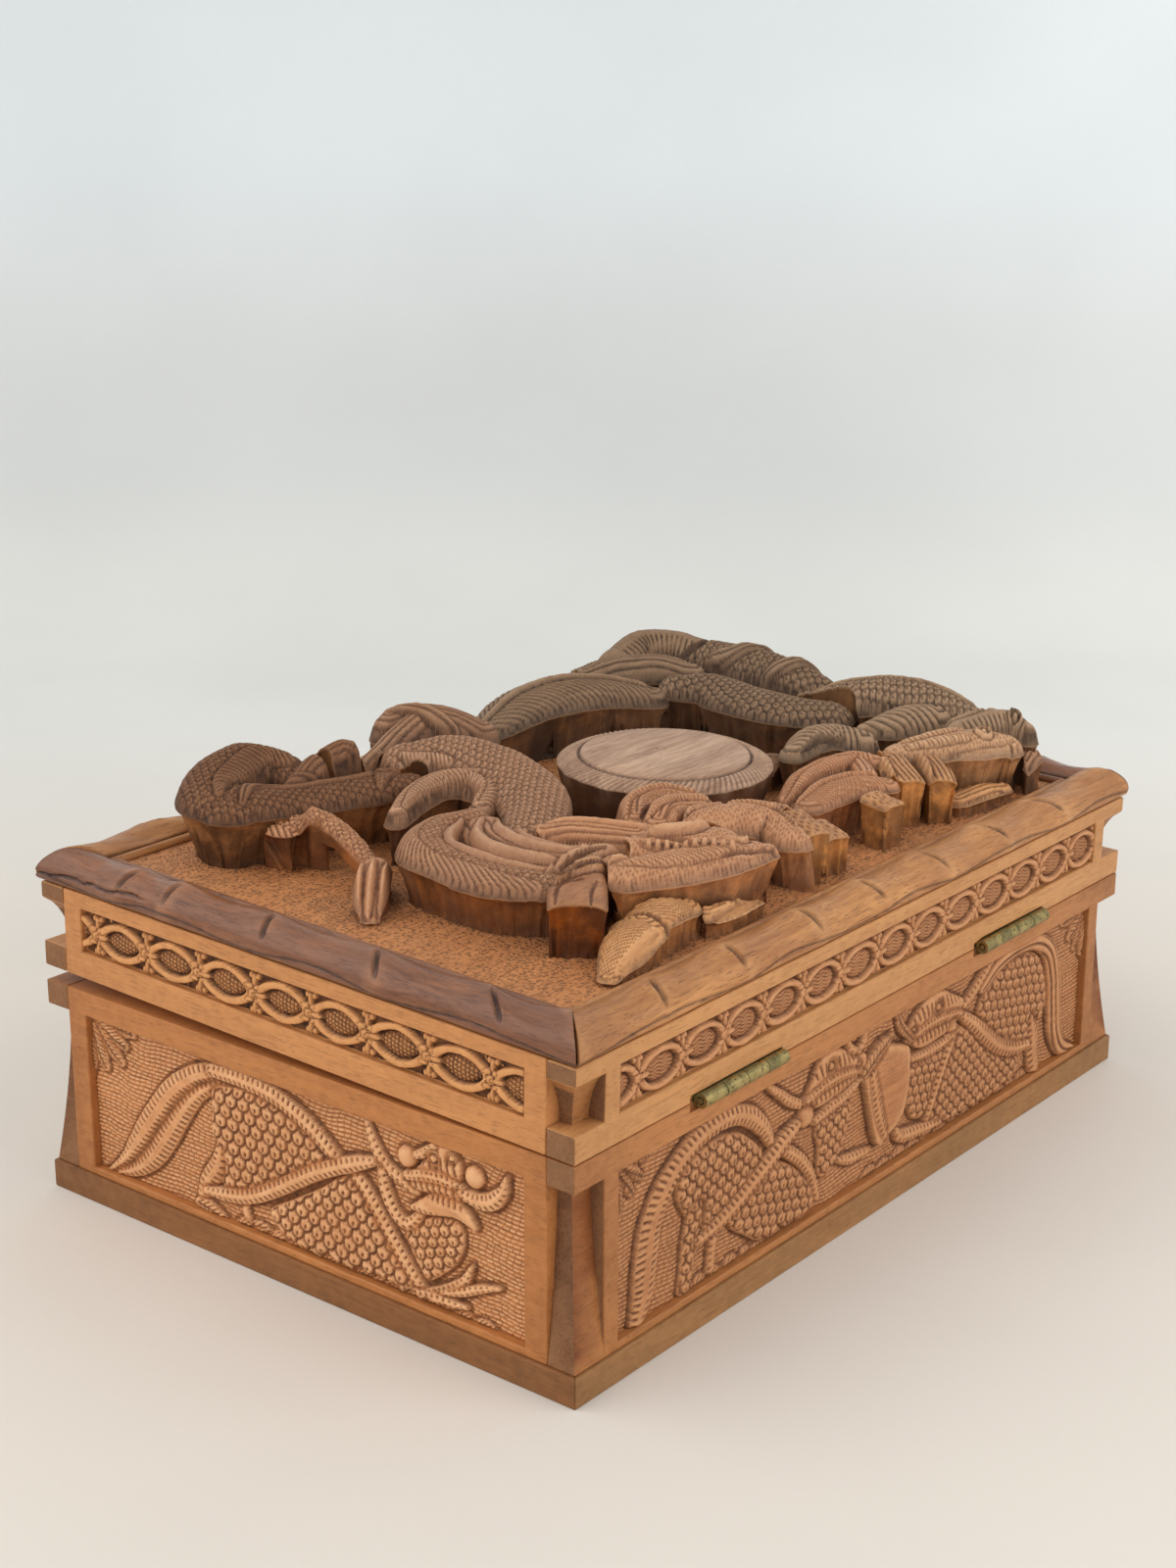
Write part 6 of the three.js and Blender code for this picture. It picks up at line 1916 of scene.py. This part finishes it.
@dataclass
class HighRelief:
    """The dragons and leaves on the lid, cut from above and undercut at the sides."""

    step: float = 0.42
    gap: float = 0.3
    sliver: float = 1.1
    rings: tuple[float, ...] = (0.02, 0.06, 0.13, 0.22, 0.32, 0.43, 0.54, 0.65, 0.76, 0.86, 0.94, 1.0)
    paw: Stations = ((91, -58, 3.0), (95, -48, 6.5), (99, -38, 7.0))
    limb: Stations = ((93, -46, 4.4), (89, -33, 4.4), (89, -27, 3.8), (92, -15, 3), (95, -8, 2.2))
    ahead: tuple[float, float] = (0.779, 0.627)

    def build(self) -> list[bpy.types.Object]:
        """Builds every figure, then the near foreleg.

        Returns:
            The pieces.
        """
        slots = {row["node"]: row["material_slot"] for row in frame["record"]["subparts"]}
        pieces = [self.figure(spec, RELIEF[:k], slots[spec.node]) for k, spec in enumerate(RELIEF)]
        return [*pieces, self.foreleg(slots["near_front_leg"])]

    def inside(self, spec: Figurine, near: Sequence[Figurine], x: Array, y: Array) -> Array:
        """Gives the distance inside a figure's own ground.

        Args:
            spec: The figure.
            near: Figures in front of it, which cut it back.
            x: First coordinates.
            y: Second coordinates.

        Returns:
            Distances, negative outside.
        """
        disc = np.hypot(x - Boss.x, y - Boss.y) - (Boss.face + Boss.ring) - self.gap
        depth = np.minimum(spec.depth(x, y), disc)
        for other in near:
            depth = np.minimum(depth, -other.depth(x, y) - self.gap)
        return depth

    def figure(self, spec: Figurine, before: Sequence[Figurine], slot: str) -> bpy.types.Object:
        """Carves one figure.

        Args:
            spec: The figure.
            before: Figures made before it.
            slot: Material slot of the record.

        Returns:
            The piece.
        """
        x0, y0, x1, y1 = spec.box()
        near = []
        for other in before:
            a0, b0, a1, b1 = other.box()
            if a0 < x1 + 1 and a1 > x0 - 1 and b0 < y1 + 1 and b1 > y0 - 1:
                near.append(other)
        nx, ny = math.ceil((x1 - x0) / self.step) + 2, math.ceil((y1 - y0) / self.step) + 2
        x0, y0 = x0 - self.step, y0 - self.step
        work = bmesh.new()
        kept, passing = ("cut", "rub", "side"), ("foot_x", "foot_y", "out_x", "out_y", "top")
        layers = {key: work.verts.layers.float.new(key) for key in (*kept, *passing)}
        flat, column, row = flat_grid(work, nx, ny)
        x, y = x0 + (flat[:, 0] + 1) / 2 * nx * self.step, y0 + (flat[:, 1] + 1) / 2 * ny * self.step
        move_to(work.verts, np.stack([x, y, x * 0], axis=1))
        depth = self.inside(spec, near, *flat_places(work.verts).T)
        keep = (depth > 0.4 * self.step) & self.opened(depth, column, row)
        bmesh.ops.delete(work, geom=[v for v, k in zip(list(work.verts), keep) if not k], context="VERTS")
        self.drop_crumbs(work)
        edge = [v for v in work.verts if v.is_boundary]
        out = self.snap(edge, spec, near)
        x, y = flat_places(work.verts).T
        height, marks = spec.top(x, y)
        hollow, proud = self.hollows(spec, x, y, x0 + np.arange(nx + 1) * self.step,
                                     y0 + np.arange(ny + 1) * self.step)
        worn = np.clip(proud - marks, 0, 1)
        # Marks and hollows on the top are painted dark: painted shade in them, with grime.
        dark = np.clip(0.72 * marks + 0.8 * hollow, 0, 1)
        for vert, z, c, r in zip(work.verts, height, dark, worn):
            vert.co.z = GROUND_Z + z
            vert[layers["cut"]], vert[layers["rub"]] = float(c), float(r)
        for vert, way in zip(edge, out):
            vert[layers["rub"]] = 0.8
            vert[layers["foot_x"]], vert[layers["foot_y"]], vert[layers["top"]] = vert.co
            vert[layers["out_x"]], vert[layers["out_y"]] = map(float, way)
        self.sides(work, layers, passing, spec.under)
        close_holes(work)
        bmesh.ops.recalc_face_normals(work, faces=work.faces)
        bmesh.ops.scale(work, vec=(MM, MM, MM), verts=work.verts)
        turn_with_lid(work)
        for key in passing:
            work.verts.layers.float.remove(work.verts.layers.float[key])
        return make_piece(spec.node + "_carved", work, "lid", [(spec.tone or slot) + "_oiled"],
                          [spec.node])

    def opened(self, depth: Array, column: Array, row: Array) -> Array:
        """Finds the points that are not in slivers left by a cut.

        Args:
            depth: Distance inside the outline at each point.
            column: Grid column of each point.
            row: Grid row of each point.

        Returns:
            Whether each point lies near a place that is wide enough.
        """
        wide = np.zeros((column.max() + 1, row.max() + 1), bool)
        wide[column, row] = depth > self.sliver
        for _ in range(round((self.sliver + 0.5) / self.step)):
            wide = wide | np.roll(wide, 1, 0) | np.roll(wide, -1, 0) | np.roll(wide, 1, 1) | np.roll(wide, -1, 1)
        return wide[column, row]

    def drop_crumbs(self, work: Work) -> None:
        """Removes every island of a flat grid but the largest, and loose corners.

        Args:
            work: The grid.
        """
        left = set(work.faces)
        islands = []
        while left:
            island, rim = [], [left.pop()]
            while rim:
                face = rim.pop()
                island.append(face)
                beside = {other for edge in face.edges for other in edge.link_faces} & left
                left -= beside
                rim += beside
            islands.append(island)
        islands.sort(key=len)
        crumbs = [f for island in islands[:-1] for f in island]
        bmesh.ops.delete(work, geom=crumbs, context="FACES")
        bmesh.ops.delete(work, geom=[v for v in work.verts if not v.link_faces], context="VERTS")

    def snap(self, edge: Sequence[bmesh.types.BMVert], spec: Figurine, near: Sequence[Figurine]) -> Array:
        """Moves the grid's border onto the outline.

        Args:
            edge: Border vertices.
            spec: The figure.
            near: Figures that cut it back.

        Returns:
            Outward direction at each border vertex.
        """
        p = flat_places(edge)
        tiny = 0.08
        out = np.zeros_like(p)
        for _ in range(3):
            here = self.inside(spec, near, p[:, 0], p[:, 1])
            gx = self.inside(spec, near, p[:, 0] + tiny, p[:, 1]) - here
            gy = self.inside(spec, near, p[:, 0], p[:, 1] + tiny) - here
            size = np.maximum(np.hypot(gx, gy), 1e-6)
            out = -np.stack([gx, gy], axis=1) / size[:, None]
            p = p + out * np.clip(here, -0.4, 0.6)[:, None]
        for vert, (x, y) in zip(edge, p):
            vert.co.x, vert.co.y = x, y
        return out

    def hollows(self, spec: Figurine, x: Array, y: Array, columns: Array, rows: Array) -> tuple[Array, Array]:
        """Finds the hollow and the proud places of a figure's top.

        Args:
            spec: The figure.
            x: First coordinates of its vertices.
            y: Second coordinates.
            columns: First coordinate of each column of its grid.
            rows: Second coordinate of each row.

        Returns:
            How hollow and how proud each vertex is.
        """
        gx, gy = np.meshgrid(columns, rows, indexing="ij")
        board, _ = spec.top(gx, gy)
        held = (spec.depth(gx, gy) > 0).astype(float)
        mean = blur(board * held, 3.0) / np.maximum(blur(held, 3.0), 0.05)
        small = blur(board * held, 1.4) / np.maximum(blur(held, 1.4), 0.05)
        i = np.clip(np.round((x - columns[0]) / self.step).astype(int), 0, len(columns) - 1)
        j = np.clip(np.round((y - rows[0]) / self.step).astype(int), 0, len(rows) - 1)
        low = np.clip((mean - board)[i, j] / 1.6, 0, 0.6) + np.clip((small - board)[i, j] / 1.0, 0, 0.4)
        return low, np.clip((board - mean)[i, j] / 1.2, 0, 0.7) + 0.25

    def sides(self, work: Work, layers: dict[str, bmesh.types.BMLayerItem], passing: Sequence[str],
              under: float) -> None:
        """Draws the undercut, chiselled sides down from the rim.

        Args:
            work: The figure with its carved top.
            layers: Its layers.
            passing: The layers with the rim's place, outward direction and height.
            under: How far the foot lies inside the rim.
        """
        rim = rim_edges(work)
        for share in self.rings:
            verts, rim = extruded(work, rim)
            x, y, ox, oy, top = np.array([[v[layers[key]] for key in passing] for v in verts]).T
            tall = top - GROUND_Z
            z = top - tall * share
            lean = under * np.clip(tall / 15, 0.25, 1.15) * (0.35 * share + 0.65 * share**0.8)
            facet = np.abs(soft_noise((x - y) / 4.2, (x + y) / 4.2, 71))
            gouge = soft_noise((x - y) / 2.1 + 7, z / 5.5, 72)
            rough = soft_noise((x + y) / 0.9, z / 1.4 + (x - y) / 0.9, 73)
            fringe = ramp(z, GROUND_Z + 2.2, GROUND_Z) * (0.5 + 0.7 * soft_noise((x + y) / 0.8, (x - y) / 0.8, 74))
            chips = ramp(np.array(share), 0.02, 0.2) * (1.2 * facet + 0.45 * gouge + 0.12 * rough)
            at_rim = share < 0.05
            inset = np.full(x.shape, -0.12) if at_rim else lean + chips - 0.9 * fringe
            # Sides are painted darker towards the ground, as shade under the undercut, and varied by the chip faces.
            dark = np.clip(0.12 + 0.5 * ramp(z, GROUND_Z + 12, GROUND_Z + 1) + 0.25 * facet - 0.12 * gouge, 0, 1)
            move_to(verts, np.stack([x - ox * inset, y - oy * inset, z - 0.05], axis=1))
            for vert, c in zip(verts, dark):
                vert[layers["side"]] = 0.0 if at_rim else 1.0
                vert[layers["cut"]] = 0.1 if at_rim else float(c)
                vert[layers["rub"]] = 0.7 if at_rim else 0.0

    def foreleg(self, slot: str) -> bpy.types.Object:
        """Tools the near foreleg, which arches clear of the ground.

        Args:
            slot: Material slot of the record.

        Returns:
            The finished piece.
        """
        rough = mesh_from("foreleg_rough", cad_copy("near_front_leg"))
        carrier = new_object("foreleg_carrier", rough)
        remesh = carrier.modifiers.new("even", "REMESH")
        remesh.mode, remesh.voxel_size = "VOXEL", 0.42 * MM
        smooth = carrier.modifiers.new("soft", "SMOOTH")
        smooth.factor, smooth.iterations = 0.5, 2
        mesh = bpy.data.meshes.new_from_object(carrier.evaluated_get(bpy.context.evaluated_depsgraph_get()))
        bpy.data.objects.remove(carrier)
        bpy.data.meshes.remove(rough)
        mesh.name = "near_front_leg_carved"
        co, normal = vertex_rows(mesh, "co"), vertex_rows(mesh, "normal")
        x, y, z = closed_lid(co).T
        paw, limb = Band(self.paw).inside(x, y), Band(self.limb).inside(x, y)
        marks = np.where(limb.depth > 0, scales(1.9, 0.5).depths(x, y, limb),
                         Cut(Mark.RAYS, 0.26, 0.8).depths(x, y, paw))
        top = ramp(normal[:, 2], 0.2, 0.6)
        facet = np.abs(soft_noise((x - y) / 4.2, (x + y) / 4.2, 71))
        push = -0.6 * marks * top - 0.35 * facet * (1 - top)
        moved = co + normal * (push * MM)[:, None]
        ax, ay = self.ahead
        high, aside, ahead = z - GROUND_Z, ax * y - ay * x, ax * x + ay * y
        on_paw = ramp(aside, -86.0, -90.0)
        moved[:, 2] -= 4.5 * MM * on_paw * ramp(ahead, 33.0, 48.0) * ramp(high, 8.0, 17.0)
        blade = -95.5 - 0.62 * high
        facing = ramp(ax * normal[:, 0] + ay * normal[:, 1], 0.1, 0.5)
        hollow = 3.4 * ramp(aside, blade + 1.0, blade + 3.0) * ramp(aside, -86.0, -88.5) * facing
        hollow *= ramp(high, 16.0, 12.0)
        moved -= np.array([ax, ay, 0]) * (hollow * MM)[:, None]
        mesh.vertices.foreach_set("co", moved.ravel())
        mesh.update()
        # Sides are painted darker, more so towards the ground, and marks on top dark: painted shade, with dirt.
        grime_and_shade = (1 - top) * (0.2 + 0.4 * ramp(z, GROUND_Z + 12, GROUND_Z))
        put_attribute(mesh, "cut", np.clip(0.9 * marks * top + grime_and_shade, 0, 1))
        put_attribute(mesh, "rub", np.clip(top * (1 - marks) * 0.5, 0, 1))
        put_attribute(mesh, "side", 1 - top)
        return make_piece("near_front_leg_carved", mesh, "lid", [slot + "_oiled"], ["near_front_leg"])


@dataclass
class Boss:
    """The round boss between the dragons: flat face, groove and a ring of slanted strokes."""

    x: float = -18.5
    y: float = 4.0
    face: float = 26.0
    ring: float = 7.0
    high: float = 18.4
    strokes: int = 96
    round_steps: int = 12

    def profile(self, low: float, top: float) -> list[tuple[float, float]]:
        """Gives the boss's profile from the middle of its foot to the middle of its face.

        Args:
            low: Height of its foot.
            top: Height of its face.

        Returns:
            Radius and height of each point.
        """
        outer, steps = self.face + self.ring, self.round_steps
        points = [(0.0, low), (outer - 4.2, low), (outer - 3.0, low + 4), (outer - 1.2, low + 10),
                  (outer - 0.1, top - 3.7), (outer, top - 3.2), (outer - 0.5, top - 2.7)]
        points += [(outer - 0.5 - (self.ring - 1.6) * k / steps, top - 2.7 + 2.0 * math.sin(k / steps * 1.45))
                   for k in range(1, steps + 1)]
        points += [(self.face + 0.7, top - 0.9), (self.face + 0.35, top - 1.35), (self.face - 0.05, top - 1.2),
                   (self.face - 0.35, top - 0.2), (self.face - 0.8, top), (self.face * 0.5, top)]
        return points + [(5.6 - 0.35 * k, top) for k in range(13)] + [(0.0, top)]

    def build(self) -> bpy.types.Object:
        """Spins the boss's profile and cuts the strokes of its ring.

        Returns:
            The boss.
        """
        outer, low = self.face + self.ring, GROUND_Z + 0.3
        top = low + self.high
        work = bmesh.new()
        chain = [work.verts.new((r, 0, z)) for r, z in self.profile(low, top)]
        edges = [work.edges.new(pair) for pair in zip(chain[:-1], chain[1:])]
        bmesh.ops.spin(work, geom=[*chain, *edges], cent=(0, 0, 0), axis=(0, 0, 1), angle=2 * math.pi,
                       steps=self.strokes * 4, use_merge=True)
        bmesh.ops.remove_doubles(work, verts=work.verts, dist=1e-4)
        bmesh.ops.recalc_face_normals(work, faces=work.faces)
        cut = work.verts.layers.float.new("cut")
        side = work.verts.layers.float.new("side")
        for vert in work.verts:
            x, y, z = vert.co
            r, angle = math.hypot(x, y), math.atan2(y, x)
            # Ring strokes, the groove round the face and the two holes are painted dark as shade in them.
            if self.face + 0.9 < r < outer + 0.2 and z > top - 3.4:
                phase = angle / (2 * math.pi) * self.strokes + (r - self.face) * 0.32
                deep = max(0.0, 1 - abs(phase - round(phase)) / 0.3)
                vert.co.z -= 0.55 * deep
                vert[cut] = 0.85 * deep
            if abs(r - self.face - 0.3) < 0.5:
                vert[cut] = 1.0
            if z > top - 0.1 and min(math.hypot(x + 1.2, y + 3.8), math.hypot(x + 2.7, y + 1.9)) < 0.42:
                vert.co.z -= 0.35
                vert[cut] = 1.0
            # The side is painted darker towards its foot: painted shade.
            if z < top - 3.5:
                vert[side] = 1.0
                vert[cut] = 0.35 + 0.5 * max(0.0, 1 - (z - low) / 11)
                wave = 0.35 * math.sin(angle * 17) * math.sin(angle * 5 + 1) * (r / outer)
                vert.co.x *= 1 + wave / outer
                vert.co.y *= 1 + wave / outer
        bmesh.ops.scale(work, vec=(MM, MM, MM), verts=work.verts)
        bmesh.ops.translate(work, vec=(self.x * MM, self.y * MM, 0), verts=work.verts)
        turn_with_lid(work)
        return make_piece("boss", work, "lid", ["boss_face"], ["disc"])


@dataclass
class LidGround:
    """The punched ground between the figures."""

    half_x: float = 123.2
    half_y: float = 82.0
    step: float = 0.72

    def build(self, figures: Sequence[bpy.types.Object]) -> None:
        """Builds the ground with torn fibres round the figures' feet, and painted shade round them and along its
        border.

        Args:
            figures: The figures that stand on it.
        """
        half = np.array([self.half_x, self.half_y])
        count = np.round(2 * half / self.step).astype(int)
        work = bmesh.new()
        flat, column, row = flat_grid(work, *map(int, count))
        x, y = (flat * half).T
        feet = np.zeros(count + 1)
        for piece in figures:
            at = closed_lid(vertex_rows(piece.data, "co"))
            at = at[at[:, 2] < GROUND_Z + 1.6, :2]
            feet[tuple(np.clip(np.round((at / half + 1) / 2 * count), 0, count).astype(int).T)] = 1.0
        near = np.clip(blur(feet, 1.3) * 2.6, 0, 1)[column, row]
        far = np.clip(blur(feet, 5.0) * 1.9, 0, 1)[column, row]
        edge = np.minimum(self.half_x - np.abs(x), self.half_y - np.abs(y))
        height = 0.12 + 0.1 * soft_noise(x / 6, y / 6, 51) + 0.09 * soft_noise(x / 1.5, y / 1.5, 52)
        height += near * (0.3 + 0.35 * np.abs(soft_noise(x / 0.9, y / 0.9, 53)))
        height = np.where(edge < 0.4, 0.15, height)
        move_to(work.verts, np.stack([x, y, GROUND_Z + 0.05 + np.clip(height, 0, 0.9)], axis=1) * MM)
        for vert in extruded(work, rim_edges(work))[0]:
            vert.co.z = (GROUND_Z - 0.5) * MM
        close_holes(work)
        turn_with_lid(work)
        piece = make_piece("punched_ground", work, "lid", ["punched_ground"])
        # Painted shade wide round the figures, in spots at their feet together with dirt, and along the border.
        cut = np.clip(0.13 * far + 0.6 * near * ramp(soft_noise(x / 1.2, y / 1.2, 54), -0.5, 0.4)
                      + ramp(edge, 2.5, 0.3) * 0.35, 0, 1)
        # The skirt is painted fully dark as shade; open ground away from the figures is painted paler, as light.
        put_attribute(piece.data, "cut", cut, 1.0)
        put_attribute(piece.data, "rub", 0.3 * (1 - far))


@dataclass
class LidFrame:
    """The lid's four boards and the underside of its top board."""

    def build(self) -> None:
        """Builds the boards and dresses the top board."""
        for side in ("front", "back"):
            Board(f"lid_{side}_board", "lid", "rail_wood", "rail_long").build()
        for side in ("left", "right"):
            Board(f"lid_{side}_board", "lid", "rail_wood", "rail_short", "rail_short").build()
        dress_node("lid_top_board", "inside_wood")


@dataclass
class Hinges:
    """The two butt hinges, with plain screw heads on their leaves."""

    length: float = 37.5
    places: tuple[float, float] = (70.5, -70.5)
    leaf_back: float = 89.8
    head: float = 1.5

    def build(self) -> None:
        """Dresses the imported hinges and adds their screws."""
        for letter, place in zip("ab", self.places):
            for part in ("lower_leaf", "upper_leaf", "pin"):
                node = dress_node(f"hinge_{letter}_{part}", "old_brass")
                eased = node.modifiers.new("eased", "BEVEL")
                eased.width, eased.segments, eased.limit_method = 0.12 * MM, 2, "ANGLE"
            self.screws(f"hinge_{letter}_lower_screws", place, -1, "base")
            self.screws(f"hinge_{letter}_upper_screws", place, 1, "lid")

    def screws(self, name: str, place: float, level: int, body: str) -> None:
        """Makes the three screw heads of one leaf.

        Args:
            name: Name of the piece.
            place: Middle of the hinge along the box.
            level: -1 for the base's leaf and 1 for the lid's.
            body: Body that carries the leaf.
        """
        work = bmesh.new()
        for k in (-1, 0, 1):
            rim = bmesh.ops.create_circle(work, cap_ends=True, segments=20, radius=self.head * MM)["verts"]
            faces = list({f for v in rim for f in v.link_faces})
            inner = bmesh.ops.inset_region(work, faces=faces, thickness=0.25 * MM, depth=0.06 * MM)["faces"]
            parts = list({*rim, *(v for f in (*inner, *faces) if f.is_valid for v in f.verts)})
            bmesh.ops.rotate(work, verts=parts, cent=(0, 0, 0), matrix=Matrix.Rotation(0.5 + k, 3, "Z"))
            if level > 0:
                bmesh.ops.rotate(work, verts=parts, cent=(0, 0, 0), matrix=Matrix.Rotation(math.pi, 3, "X"))
            shift = (place + k * self.length * 0.33, self.leaf_back + 2.9 + 0.5 * (k % 2),
                     SEAM_Z + level * 0.15)
            bmesh.ops.translate(work, verts=parts, vec=Vector(shift) * MM)
        if level > 0:
            turn_with_lid(work)
        make_piece(name, work, body, ["old_brass"])


# ---------------------------------------------------------------- studio


@dataclass
class Studio:
    """Camera at the photograph's viewing angle, pale floor and backdrop, and soft lights."""

    place: tuple[float, float, float] = (0.5559744, 0.4374762, 0.3271555)
    right: tuple[float, float, float] = (-0.6272879, 0.7787868, 0.0009739)
    upward: tuple[float, float, float] = (-0.2284587, -0.1852114, 0.9557737)
    lens: float = 56.592

    def build(self) -> None:
        """Builds the camera, the cloth and the lights."""
        self.camera()
        self.cloth()
        self.lights()

    def camera(self) -> None:
        """Sets the camera as solved from the box's own edges."""
        data = bpy.data.cameras.new("camera")
        data.lens, data.sensor_width, data.sensor_fit = self.lens, 36.0, "AUTO"
        data.clip_start, data.clip_end = 0.05, 20.0
        camera = new_object("camera", data)
        right, upward = Vector(self.right), Vector(self.upward)
        turn = Matrix((right, upward, right.cross(upward))).transposed().to_4x4()
        camera.matrix_world = Matrix.Translation(self.place) @ turn
        bpy.context.scene.camera = camera

    def cloth(self) -> None:
        """Lays a pale cloth that curves up behind the box."""
        away = Vector(self.right).cross(Vector(self.upward)) * -1
        away = Vector((away.x, away.y, 0)).normalized()
        aside = Vector((0, 0, 1)).cross(away)
        bend = np.linspace(0.1, math.pi / 2, 14)
        line = [(-1.6, 0.0), (0.55, 0.0), *((0.55 + 0.35 * math.sin(a), 0.35 - 0.35 * math.cos(a)) for a in bend),
                (0.9, 2.2)]
        work = bmesh.new()
        chain = [work.verts.new(away * u + Vector((0, 0, z)) - aside * 2.5) for u, z in line]
        edges = [work.edges.new(pair) for pair in zip(chain[:-1], chain[1:])]
        bmesh.ops.translate(work, vec=aside * 5.0, verts=extruded(work, edges)[0])
        bmesh.ops.recalc_face_normals(work, faces=work.faces)
        mesh = mesh_from("cloth", work)
        mesh.polygons.foreach_set("use_smooth", np.full(len(mesh.polygons), True))
        mesh.materials.append(self.cloth_material())
        new_object("cloth", mesh)

    def cloth_material(self) -> bpy.types.Material:
        """Builds the plain cloth: warm on the floor and cooler up the wall.

        Returns:
            The material.
        """
        made, sheet, shader, place = new_material("pale_cloth")
        up = sheet.add("ShaderNodeSeparateXYZ", Vector=place).outputs["Z"]
        back, aside = (
            sheet.add("ShaderNodeVectorMath", {"operation": "DOT_PRODUCT"}, _0=place, _1=way).outputs["Value"]
            for way in ((-0.779, -0.627, 0.0), (-0.627, 0.779, 0.0)))
        floor = sheet.blend(sheet.span(back, 0.1, 0.5), (0.76, 0.69, 0.61), (0.76, 0.74, 0.69))
        wall = sheet.blend(sheet.span(up, 0.1, 0.28), (0.66, 0.66, 0.635), (0.73, 0.765, 0.775))
        plain = sheet.blend(sheet.span(up, 0.0, 0.08), floor, wall)
        # Painted shading of cloth folds, and painted light that brightens the cloth by up to 15 percent towards the
        # right of the view.
        folds = sheet.span(sheet.noise(place, 5.0, 3.0), 0.3, 0.7, 0.975, 1.025)
        shade = sheet.times(folds, sheet.span(aside, -0.05, 0.5, 1.0, 1.15))
        sheet.feed(shader.inputs["Base Color"], sheet.blend(1.0, plain, shade, "MULTIPLY"))
        sheet.bump(shader, sheet.noise(place, 900.0, 2.0), 0.25, 0.2)
        shader.inputs["Roughness"].default_value = 0.9
        shader.inputs["Specular IOR Level"].default_value = 0.2
        return made

    def lights(self) -> None:
        """Hangs large soft lamps and a plain sky."""
        world = bpy.data.worlds.new("room")
        world.use_nodes = True
        sky = world.node_tree.nodes["Background"]
        sky.inputs["Color"].default_value = (0.88, 0.94, 1.0, 1)
        sky.inputs["Strength"].default_value = 0.6
        bpy.context.scene.world = world
        self.lamp("key", (0.75, -0.55, 0.95), 1.5, 9.1, (1.0, 0.97, 0.93))
        self.lamp("fill", (-0.35, 1.25, 0.75), 1.3, 9.8, (1.0, 0.98, 0.96))
        self.lamp("front", (1.3, 0.9, 0.55), 0.9, 3.2, (1.0, 0.97, 0.93))

    def lamp(self, name: str, place: tuple[float, float, float], size: float, power: float,
             colour: Colour) -> None:
        """Hangs one square lamp that faces the box.

        Args:
            name: Its name.
            place: Where it hangs.
            size: Its side.
            power: Its power in watts.
            colour: Its colour.
        """
        data = bpy.data.lights.new(name, "AREA")
        data.shape, data.size, data.energy, data.color = "SQUARE", size, power, colour
        lamp = new_object(name, data)
        lamp.location = place
        lamp.rotation_euler = (Vector((0, 0, 0.06)) - Vector(place)).to_track_quat("-Z", "Y").to_euler()


def main() -> None:
    """Builds every sub-assembly in order."""
    logging.basicConfig(level=logging.INFO, format="%(name)s: %(message)s")
    bpy.context.scene.view_settings.view_transform = "Standard"
    Studio().build()
    base = BaseBox()
    base.build_boards()
    base.build_panels()
    LidFrame().build()
    ChainFrieze().build()
    BambooBorder().build()
    figures = HighRelief().build()
    LidGround().build([*figures, Boss().build()])
    Hinges().build()


if __name__ == "__main__":
    main()
